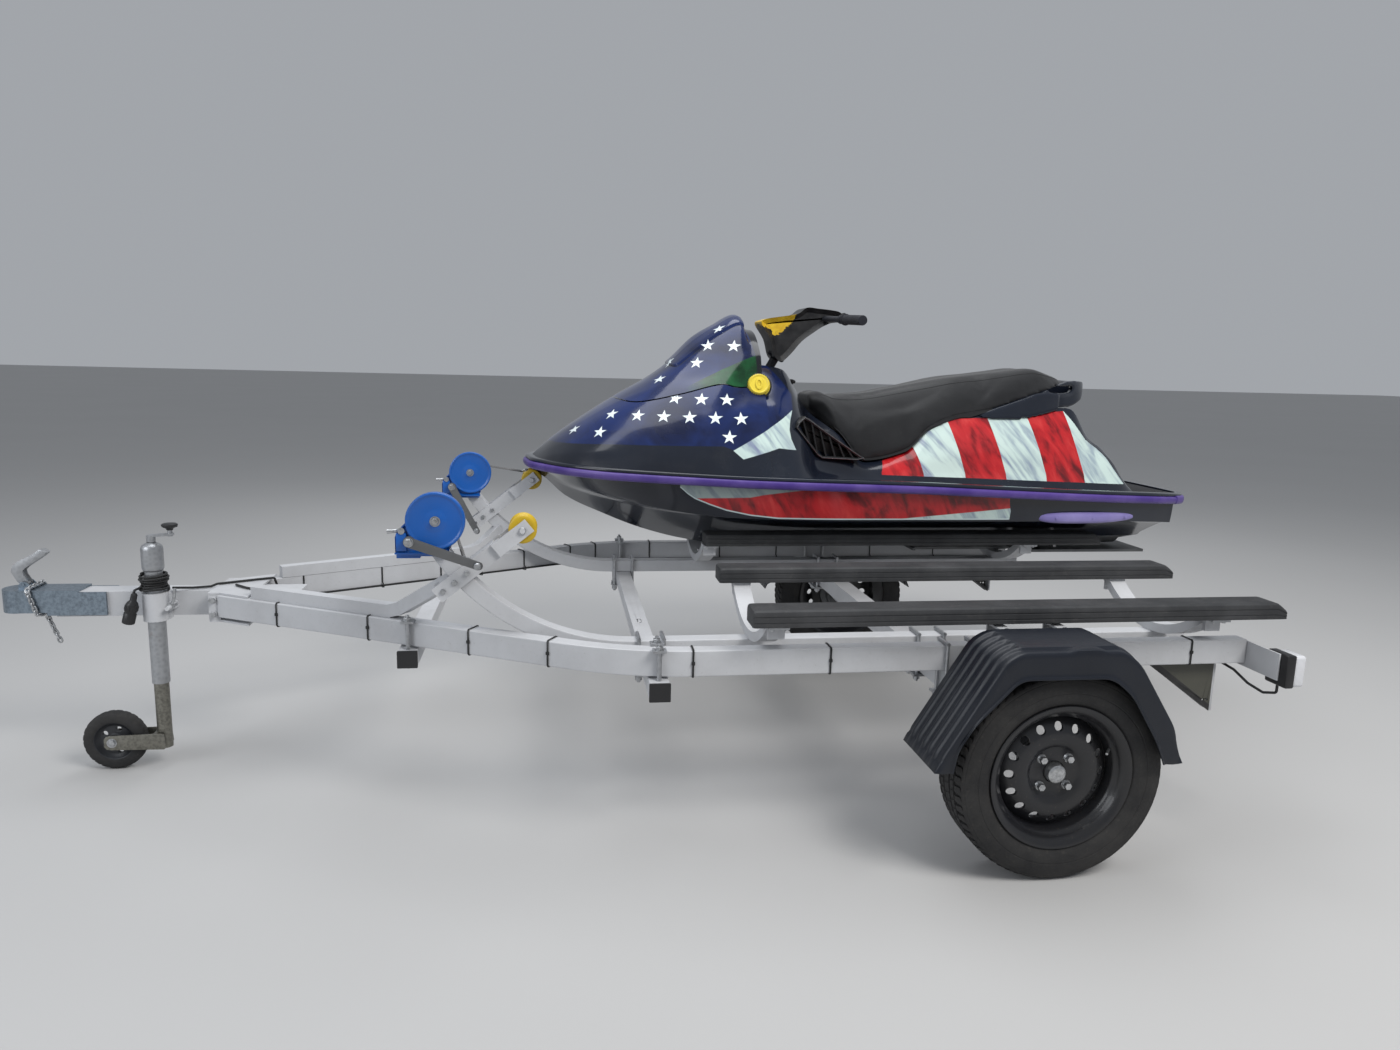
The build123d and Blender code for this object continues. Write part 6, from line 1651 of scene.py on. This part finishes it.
    def along(u, v):
        return (PXX + u * ca - v * sa, PZZ + u * sa + v * ca)
    outline = []
    for k in range(13):
        t = math.pi / 2 + math.pi * k / 12
        outline.append(along(13 * math.cos(t), 13 * math.sin(t)))
    for k in range(13):
        t = -math.pi / 2 + math.pi * k / 12
        outline.append(along(178.5 + 10.5 * math.cos(t), 10.5 * math.sin(t)))
    arm = prism(outline, ya - 3, ya + 3, 1.0)
    place(joined("crank_arm_" + nm, [arm, lathe([(0, 0), (13.6, 0), (14, 1), (14, 8.6), (0, 8.6)], (PXX, yd - 5.0, PZZ), (0, -1, 0), 32)]),
          paint("crank_grey_" + nm, (0.16, 0.165, 0.17), (0.09, 0.085, 0.08), 0.42, metal=0.6), "winch_crank_" + nm, ["winch_crank_" + nm], deg=32)
    e = along(176, 0)
    parts = [lathe([(0, 0), (9, 0), (9, 17), (7.6, 19), (0, 19)], (e[0], ya + 3.5, e[1]), (0, -1, 0), 26),
             lathe([(0, 0), (8.6, 0), (8.6, 2.6), (0, 2.6)], (e[0], ya + 3.0, e[1]), (0, 1, 0), 24),
             hexnut((PXX, ya - 3.0, PZZ), (0, -1, 0), 17, 6.4), lathe([(0, 0), (12, 0), (12, 1.5), (0, 1.5)], (PXX, ya - 2.4, PZZ), (0, -1, 0), 26),
             tube([(PXX, y + 43, PZZ), (PXX, yd - 6, PZZ)], 7.9, 18)]
    place(joined("crank_nuts_" + nm, parts), M_ZINC, "winch_crank_" + nm, deg=32)

# straps, folded and stitched at their end, with a hook
STR = [(1, -1469.0, 851.0, -1322.0, 828.0), (-1, -1463.0, 814.0, -1438.0, 723.0)]
parts, hooks = [], []
for s, x0, z0, x1, z1 in STR:
    y = s * LANE
    a, b = Vector((x0, y, z0)), Vector((x1, y, z1))
    d = (b - a).normalized()
    n = Vector((-d.z, 0, d.x))
    rr = []
    N = 26
    for k in range(N):
        t = k / (N - 1)
        p = a + (b - a) * t
        th = 0.7 if t < 0.70 else 1.42
        wob = 0.3 * math.sin(t * 9)
        rr.append([tuple(p + n * (v + wob) + Vector((0, u, 0))) for u, v in ((-22.8, -th * 0.5), (-21.8, -th), (21.8, -th), (22.8, -th * 0.5), (22.8, th * 0.5), (21.8, th), (-21.8, th), (-22.8, th * 0.5))])
    parts.append(rings(rr))
    for t in (0.74, 0.86, 0.97):
        p = a + (b - a) * t
        parts.append(rings([[tuple(p + d * u + n * (1.5 + 0.25 * math.sin(k * 1.6)) + Vector((0, v, 0))) for u, v in ((-0.8, 0), (0, 0), (0.8, 0))] for k, v in enumerate(np.linspace(-20, 20, 24))], cap=False))
    if s < 0:
        eye = []
        for k in range(25):
            t = 2 * math.pi * k / 24
            q = b + d * (3.0 + 9.0 * math.sin(t)) + Vector((0, 15.0 * math.cos(t), 0))
            eye.append(tuple(q))
        hooks.append(tube(eye[:-1] + [eye[0]], 3.0, 10))
        hook = [b + d * 8, b + d * 18, b + d * 26 + n * 3, b + d * 33 + n * 11, b + d * 30 + n * 20, b + d * 22 + n * 23]
        hooks.append(tube(spline([tuple(q) for q in hook], 5), [4.2] * 20 + [3.6] * 6, 12))
place(joined("winch_straps_web", parts), M_STRAP, repl=["winch_straps"], deg=40)
place(joined("strap_hook", hooks), M_GALV, deg=40)
# bow eye of the craft, where the other strap's hook sits
parts = [tube(spline([(-1262, LANE - 15, 812), (-1290, LANE - 15, 822), (-1307, LANE - 9, 827), (-1311, LANE, 828), (-1307, LANE + 9, 827), (-1290, LANE + 15, 822), (-1262, LANE + 15, 812)], 5), 4.4, 12),
         tube(spline([(-1323, LANE, 828), (-1312, LANE, 834), (-1302, LANE, 830), (-1301, LANE, 822), (-1308, LANE, 818)], 5), 4.0, 12)]
place(joined("bow_eye", parts), M_ZINC, deg=40)

# ---------------------------------------------------------------- bow rollers
for s, nm in ((-1, "left"), (1, "right")):
    c = (-1289.0, s * LANE, 802.0)
    prof = [(7.2, -33), (30, -33), (33.5, -32.4), (35.6, -30.6), (36, -28), (35.6, -25.4), (33, -21), (29, -15.6), (25, -10), (22.6, -5), (22.2, 0)]
    prof = prof + [(r, -h) for r, h in reversed(prof[:-1])]
    parts = [lathe(prof, c, (0, 1, 0), 72)]
    for q in (-1, 1):
        for k in range(6):
            a = math.pi * k / 3
            b = rbox(11, 28, -1.6, 1.6, 32.2, 34.0, 0.6, 1)
            m = Matrix.Rotation(a, 3, "Z")
            mm_ = [m @ Vector(v) for v in b[0]]
            parts.append(([(c[0] + v.x, c[1] + q * v.z * 0.985, c[2] + v.y) for v in mm_], b[1]))
    place(joined("roller_" + nm, parts), M_YELLOW, "bow_roller_" + nm, ["bow_roller_" + nm], deg=32)
    parts = []
    for q in (-1, 1):
        parts.append(hexnut((c[0], c[1] + q * 43.2, c[2]), (0, q, 0), 17, 7.0))
    a = math.atan2(802.0 - 652.0, -1289.0 + 1478.0)
    for u in (-14, 22, 62):
        for q in (-1, 1):
            parts.append(hexnut((-1478.0 + u * math.cos(a), s * LANE + q * 31.8, 652.0 + u * math.sin(a)), (0, q, 0), 13, 5.5))
    place(joined("arm_bolts_" + nm, parts), M_ZINC, deg=30)

# ---------------------------------------------------------------- jockey wheel
JX, JY, JW, JR = -2358.0, -66.0, -2493.0, 88.0
parts = [lathe([(20.9, 262), (24, 262), (24, 598), (26.5, 600), (28.5, 604), (29.4, 610), (29.4, 660), (28.6, 668), (25.5, 674), (18, 679.0), (12.4, 681.6), (12.2, 676), (20.9, 672)], (JX, JY, 0), (0, 0, 1), 56)]
place(joined("jockey_outer_tube", parts), M_GALV, "jockey_column", ["jockey_tube"], deg=35)
parts = [lathe([(0, 300), (8, 300), (8, 684), (12, 684), (12, 702), (9, 703), (0, 703)], (JX, JY, 0), (0, 0, 1), 32)]
outline = [(-10, -9), (-4, -10.5), (56, -8), (62, -4), (62, 4), (56, 8), (-4, 10.5), (-10, 9)]
vs = [(JX + u, JY + v, 697 + (u + 10) * 0.08) for u, v in outline] + [(JX + u, JY + v, 703.5 + (u + 10) * 0.08) for u, v in outline]
n = len(outline)
parts.append((vs, [tuple(range(n)), tuple(range(n, 2 * n))] + [(i, (i + 1) % n, (i + 1) % n + n, i + n) for i in range(n)]))
parts.append(lathe([(0, 700), (7, 700), (6.4, 726), (0, 726)], (JX + 52, JY, 0), (0, 0, 1), 24))
place(joined("jockey_handle", parts), M_GALV, "jockey_spindle", ["jockey_crank"], deg=35)
parts = [lathe([(0, 718), (8.6, 718), (9.6, 722), (16, 725.6), (20.6, 729), (21.8, 732), (21.2, 735), (17, 737.4), (0, 737.8)], (JX + 52, JY, 0), (0, 0, 1), 36)]
for k in range(6):
    a = math.pi * k / 3
    b = rbox(14.5, 21.6, -3.2, 3.2, 726.5, 736, 2.2, 2)
    m = Matrix.Rotation(a, 3, "Z")
    parts.append(([(JX + 52 + (m @ Vector(v)).x, JY + (m @ Vector(v)).y, v[2]) for v in b[0]], b[1]))
place(joined("jockey_knob", parts), M_BLACK, "jockey_spindle", deg=35)
# fork with its sliding stem
parts = [lathe([(16, 62), (20.2, 62), (20.3, 439.4), (9.6, 439.4), (9.6, 432), (16, 431)], (JX, JY, 0), (0, 0, 1), 44)]
for q in (-1, 1):
    o = [(JW - 22, JR - 12), (JW - 16, JR - 20), (JW - 4, JR - 22.4), (JX + 6, JR - 25), (JX + 12, JR - 20), (JX + 8, JR + 22), (JX - 2, JR + 24), (JW - 4, JR + 21.4), (JW - 16, JR + 19), (JW - 22, JR + 11)]
    parts.append(prism(o, JY + q * 27, JY + q * 32, 0.9))
parts.append(rbox(JX - 24, JX - 12, JY - 31, JY + 31, JR - 22, JR + 23, 1.5, 2))
place(joined("jockey_fork_arms", parts), plain_steel("jockey_stem_zinc", (0.27, 0.26, 0.225), 0.42), "jockey_fork", ["jockey_stem"], deg=35)
parts = [tube([(JW, JY - 38, JR), (JW, JY + 38, JR)], 7.9, 20)]
for q in (-1, 1):
    parts.append(hexnut((JW, JY + q * 32.2, JR), (0, q, 0), 19, 7.2))
    parts.append(lathe([(0, 0), (14, 0), (14, 1.6), (0, 1.6)], (JW, JY + q * 31.8, JR), (0, q, 0), 26))
place(joined("jockey_pin", parts), M_ZINC, "jockey_fork", deg=32)
tyre = [(57, -17.6), (61, -19.5), (70, -19.2), (79, -18.2), (84.5, -15), (87.2, -10.4), (87.8, -5), (87.9, 0)]
tyre = tyre + [(r, -h) for r, h in reversed(tyre[:-1])]
rr = []
for k in range(120):
    a = 2 * math.pi * k / 120
    row = []
    for r, h in tyre:
        cut = 1.6 if (k % 5 == 0 and r > 83) else 0.0
        row.append((JW + (r - cut) * math.cos(a), JY + h, JR + (r - cut) * math.sin(a)))
    rr.append(row)
vs = [p for r in rr for p in r]
place(joined("jockey_tyre", [(vs, grid_faces(120, len(tyre), True, True))]), M_TYRE, "jockey_roller", ["jockey_roadwheel"], deg=40)
hub = [(8.2, -21), (17, -21), (18, -20), (18, -12), (22, -8), (44, -5), (52, -10), (55, -16), (58.5, -17.4), (58.5, 17.4), (55, 16), (52, 10), (44, 5), (22, 8), (18, 12), (18, 20), (17, 21), (8.2, 21)]
hubob = new_object("jockey_hub", *lathe(hub, (JW, JY, JR), (0, 1, 0), 60))
for k in range(5):
    a = 2 * math.pi * k / 5
    cut_with(hubob, lathe([(8.5, -20), (8.5, 20)], (JW + 34 * math.cos(a), JY, JR + 34 * math.sin(a)), (0, 1, 0), 20))
place(hubob, plastic("jockey_hub_black", (0.016, 0.017, 0.020), 0.45, 200.0, 0.0002), "jockey_roller", deg=35)
# clamp handle
parts = [lathe([(0, 0), (7.5, 0), (7.5, 26), (10.5, 28), (10.5, 38), (0, 38)], (JX + 46, JY + 18, 494), (0, -1, 0), 24),
         tube(spline([(JX + 46, JY - 14, 494), (JX + 56, JY - 20, 514), (JX + 62, JY - 24, 536), (JX + 63, JY - 25, 550)], 5), 4.6, 12)]
place(joined("clamp_lever", parts), M_ZINC, deg=35)

# ---------------------------------------------------------------- lighting cable's coil and plug, hung on the jockey column
pts = []
turns = 6.6
for k in range(int(turns * 36) + 1):
    a = 2 * math.pi * k / 36
    rr_ = 34.0 + 3.2 * math.sin(a * 0.23 + 1.0)
    z = 541.2 + 7.6 * k / 36 + 0.8 * math.sin(a * 1.7)
    pts.append((JX + rr_ * math.cos(a), JY + rr_ * math.sin(a), z))
place(joined("cable_coil_turns", [tube(pts, 3.6, 10)]), M_CABLE, repl=["cable_coil"], deg=60)
pc0, pc1 = Vector((JX - 62, JY - 40, 452)), Vector((JX - 44, JY - 40, 520))
ax = (pc1 - pc0).normalized()
plug = [(0, 0), (13.5, 0), (16.6, 2), (17, 6), (17, 30), (15.6, 32), (15.6, 36), (17, 38), (16.6, 58), (14, 64), (10, 68), (9, 72), (8.6, 88), (5, 92), (0, 92)]
parts = [lathe(plug, pc0, ax, 40)]
for k in range(10):
    a = 2 * math.pi * k / 10
    s1, u1 = frame_of(ax)
    q = pc0 + ax * 45 + (s1 * math.cos(a) + u1 * math.sin(a)) * 16.7
    parts.append(tube([tuple(q - ax * 5), tuple(q + ax * 10)], 1.6, 6))
parts.append(tube(spline([tuple(pc1 + ax * 12), (JX - 39, JY - 39, 548), (JX - 30, JY - 26, 553), (JX - 24, JY - 24, 560)], 6), 3.6, 10))
place(joined("trailer_plug", parts), M_BLACK, repl=["cable_plug"], deg=38)

# ---------------------------------------------------------------- coupler lever, safety chain
lev = [(-2737, 543), (-2748, 556), (-2762, 584), (-2758, 600), (-2742, 614), (-2700, 636), (-2682, 649), (-2676, 648), (-2665, 641), (-2668, 634), (-2690, 618), (-2722, 596), (-2732, 586),
       (-2730, 574), (-2720, 556), (-2718, 545)]
lev = [(x, z + 2) for x, z in lev]
parts = []
for q in (-1, 1):
    parts.append(prism(lev, q * 12.6 - 1.3, q * 12.6 + 1.3, 0.5))
top = lev[2:9]
spine = [[(x, -12.6, z), (x, 12.6, z), (x + 1.4, 12.6, z - 2.2), (x + 1.4, -12.6, z - 2.2)] for x, z in top]
parts.append(rings(spine))
parts.append(tube([(-2728, -13.4, 549), (-2728, 13.4, 549)], 5.8, 18))
place(joined("release_lever", parts), M_GALV, "coupler_lever", ["coupler_lever"], deg=32)

def link(c, m, L=15.0, W=8.0, r=2.6):
    pts = []
    for k in range(20):
        a = 2 * math.pi * k / 20
        x = (L - W) * (1 if math.cos(a) > 0 else -1) * 0.5 + W * 0.62 * math.cos(a)
        pts.append(tuple(Vector(c) + m @ Vector((x, W * 0.62 * math.sin(a), 0))))
    return tube(pts + [pts[0]], r, 8)


parts = []
p = Vector((-2669, -28, 461))
for k in range(8):
    d = Vector((0.30 + math.sin(k * 0.5) * 0.12, 0.1 * math.cos(k), -1)).normalized()
    s1, u1 = frame_of(d)
    if k % 2:
        s1, u1 = u1, -s1
    m = Matrix((d, s1, u1)).transposed()
    parts.append(link(p, m))
    p = p + d * 11.6
# one turn of the same chain round the coupler
turn = [Vector(q) for q in ((-2684, -51, 466), (-2705, -51, 534), (-2707, -44, 543), (-2707, 44, 543), (-2705, 51, 534), (-2684, 51, 466), (-2680, 42, 463), (-2680, -42, 463))]
turn.append(turn[0])
for q0, q1 in zip(turn[:-1], turn[1:]):
    n = max(1, round((q1 - q0).length / 11.6))
    d = (q1 - q0).normalized()
    for k in range(n):
        s1, u1 = frame_of(d)
        if k % 2:
            s1, u1 = u1, -s1
        parts.append(link(q0 + (q1 - q0) * ((k + 0.5) / n), Matrix((d, s1, u1)).transposed()))
place(joined("safety_chain", parts), M_ZINC, deg=50)

# ================================================================ stars printed on the craft
DG = bpy.context.evaluated_depsgraph_get()
deck_bvh = BVHTree.FromObject(deck, DG)


def skin(objects):
    """One search tree over several objects' finished surfaces."""
    vs, fs = [], []
    for o in objects:
        ev = o.evaluated_get(DG)
        me_ = ev.to_mesh()
        k = len(vs)
        vs += [v.co.copy() for v in me_.vertices]
        fs += [[i + k for i in q.vertices] for q in me_.polygons]
        ev.to_mesh_clear()
    return BVHTree.FromPolygons(vs, fs)


cover_bvh = skin([cover, visor])
CAM = Vector((-0.39839, -2.97621, 1.23599))


def camera_axes(yaw=8.86, pitch=9.73, roll=1.46):
    cy, sy = math.cos(math.radians(yaw)), math.sin(math.radians(yaw))
    cp, sp = math.cos(math.radians(pitch)), math.sin(math.radians(pitch))
    fwd = Vector((sy * cp, cy * cp, -sp))
    right = Vector((cy, -sy, 0))
    up = right.cross(fwd)
    cr, sr = math.cos(math.radians(roll)), math.sin(math.radians(roll))
    return right * cr + up * sr, -right * sr + up * cr, fwd


RX, UX, FX_ = camera_axes()


def star(bvh, hit, nrm, radius, turn):
    """Five-pointed star laid on the surface around hit."""
    s1, u1 = frame_of(nrm)
    if abs(nrm.z) > 0.6:
        u1 = (Vector((1, 0, 0)) - nrm * nrm.x).normalized()
        s1 = u1.cross(nrm)
    out = [hit + nrm * 0.00045]
    for ringk in (0.55, 1.0):
        for k in range(20):
            a = turn + 2 * math.pi * k / 20
            ph = (k % 4) / 4.0
            tip = 1.0
            inner = 0.392
            if k % 4 == 0:
                rad = tip
            elif k % 4 == 2:
                rad = inner
            else:
                # straight edge between tip and notch
                a0, a1 = 0.0, math.pi / 5
                x0, y0 = 1.0, 0.0
                x1, y1 = inner * math.cos(a1), inner * math.sin(a1)
                t = math.pi / 10
                # intersection of the ray at angle t with the edge
                den = (x1 - x0) * math.sin(t) - (y1 - y0) * math.cos(t)
                rad = (y0 * (x1 - x0) - x0 * (y1 - y0)) / den
            rr_ = radius * rad * ringk * MM
            p = hit + s1 * (rr_ * math.cos(a)) + u1 * (rr_ * math.sin(a))
            h = bvh.ray_cast(p + nrm * 0.035, -nrm, 0.09)
            if h[0] is None or h[1].dot(nrm) < 0.3:
                return None
            out.append(h[0] + h[1] * 0.00045)
    faces = []
    for k in range(20):
        faces.append((0, 1 + k, 1 + (k + 1) % 20))
        faces.append((1 + k, 21 + k, 21 + (k + 1) % 20, 1 + (k + 1) % 20))
    return out, faces


def star_grid():
    """Staggered rows over the blue, clear of the white panel, the green, the filler and the rims."""
    cap = [v.co for v in NODES["fuel_cap"].data.vertices]
    cx, cz = (sum(v[i] for v in cap) / len(cap) / MM for i in (0, 2))
    cx -= SH
    for r in range(7):
        z = 990 + 60 * r
        for k in range(9):
            x = -1140 + 84 * k + 42 * (r % 2)
            low = np.interp(x, *zip(*BLUE_LOW)) + 36
            aft = np.interp(z, *zip(*BLUE_AFT)) - 40
            if x > -660:
                low = max(low, np.interp(x, *zip(*PANEL_UP)) + 40)
            green = x > -790 and 1110 < z < np.interp(x, *zip(*GREEN_TOP)) + 34
            rim = z > 1120 and x > -590
            if z < low or x > aft or green or rim or math.hypot(x - cx, z - cz) < 84:
                continue
            yield x, z


sets = {"deck": [], "cover": []}
for x, z in star_grid():
    best = None
    for nm, bvh in (("deck", deck_bvh), ("cover", cover_bvh)):
        h = bvh.ray_cast(Vector(((x + SH) * MM, (LANE - 1500) * MM, z * MM)), Vector((0, 1, 0)))
        if h[0] is not None and (best is None or h[3] < best[3]):
            best = (h[0], h[1], nm, h[3], bvh)
    if best is None:
        continue
    turn = math.pi / 2 + (rng.random() - 0.5) * 0.2
    st = star(best[4], best[0], best[1], 26.0, turn)
    if st:
        sets[best[2]].append(st)
        # the same on the far side
        v, f = st
        sets[best[2]].append(([Vector((p.x, 2 * LANE * MM - p.y, p.z)) for p in v], [list(reversed(q)) for q in f]))
for nm, obbody in (("deck", "trailer"), ("cover", "front_cover")):
    if sets[nm]:
        vs, fs = [], []
        for v, f in sets[nm]:
            k = len(vs)
            vs += [tuple(p) for p in v]
            fs += [[i + k for i in q] for q in f]
        me = bpy.data.meshes.new("stars_" + nm)
        me.from_pydata(vs, [], fs)
        me.validate()
        ob = bpy.data.objects.new("stars_" + nm, me)
        SC.collection.objects.link(ob)
        place(ob, M_STAR, obbody, deg=180)

# ================================================================ floor, light, camera
fl = bpy.data.meshes.new("floor")
fl.from_pydata([(-60, -60, -0.0006), (60, -60, -0.0006), (60, 60, -0.0006), (-60, 60, -0.0006)], [], [(0, 1, 2, 3)])
floor = bpy.data.objects.new("floor", fl)
SC.collection.objects.link(floor)
m = Mat("pale_floor")
n = m.noise(0.5, 3.0, 0.5)
fl.materials.append(m.done(m.mix(n, (0.40, 0.40, 0.40), (0.43, 0.43, 0.43)), 0.65))

world = bpy.data.worlds.new("studio")
world.use_nodes = True
bg = world.node_tree.nodes["Background"]
bg.inputs["Color"].default_value = (0.86, 0.90, 0.96, 1)
bg.inputs["Strength"].default_value = 0.42
SC.world = world
SC.view_settings.view_transform = "Standard"


def area(name, loc, at, size, power, color=(1, 1, 1), shine=True):
    L = bpy.data.lights.new(name, "AREA")
    L.shape = "RECTANGLE"
    L.size, L.size_y = size
    L.energy = power
    L.color = color
    o = bpy.data.objects.new(name, L)
    SC.collection.objects.link(o)
    o.location = loc
    o.rotation_euler = (Vector(at) - Vector(loc)).to_track_quat("-Z", "Y").to_euler()
    o.visible_glossy = shine
    return o


area("key", (2.6, -3.6, 4.6), (0.2, 0.2, 0.5), (2.4, 2.4), 290, (1.0, 0.975, 0.94), False)
area("top", (-0.4, 0.6, 4.8), (0.1, 0.2, 0.4), (5.0, 3.0), 122, (0.96, 0.98, 1.0))
area("left", (-4.2, -2.6, 2.6), (0.0, 0.0, 0.6), (2.5, 2.5), 76, (0.93, 0.96, 1.0))
area("back", (1.0, 4.6, 3.2), (0.2, 0.3, 0.7), (4.0, 2.0), 60, (1.0, 1.0, 1.0), False)

cam_data = bpy.data.cameras.new("photo_camera")
cam_data.sensor_fit = "HORIZONTAL"
cam_data.sensor_width = 36.0
cam_data.lens = 24.555
cam_data.clip_start, cam_data.clip_end = 0.05, 200.0
cam = bpy.data.objects.new("photo_camera", cam_data)
SC.collection.objects.link(cam)
rot = Matrix((RX, UX, -FX_)).transposed()
cam.matrix_world = Matrix.Translation(CAM) @ rot.to_4x4()
SC.camera = cam
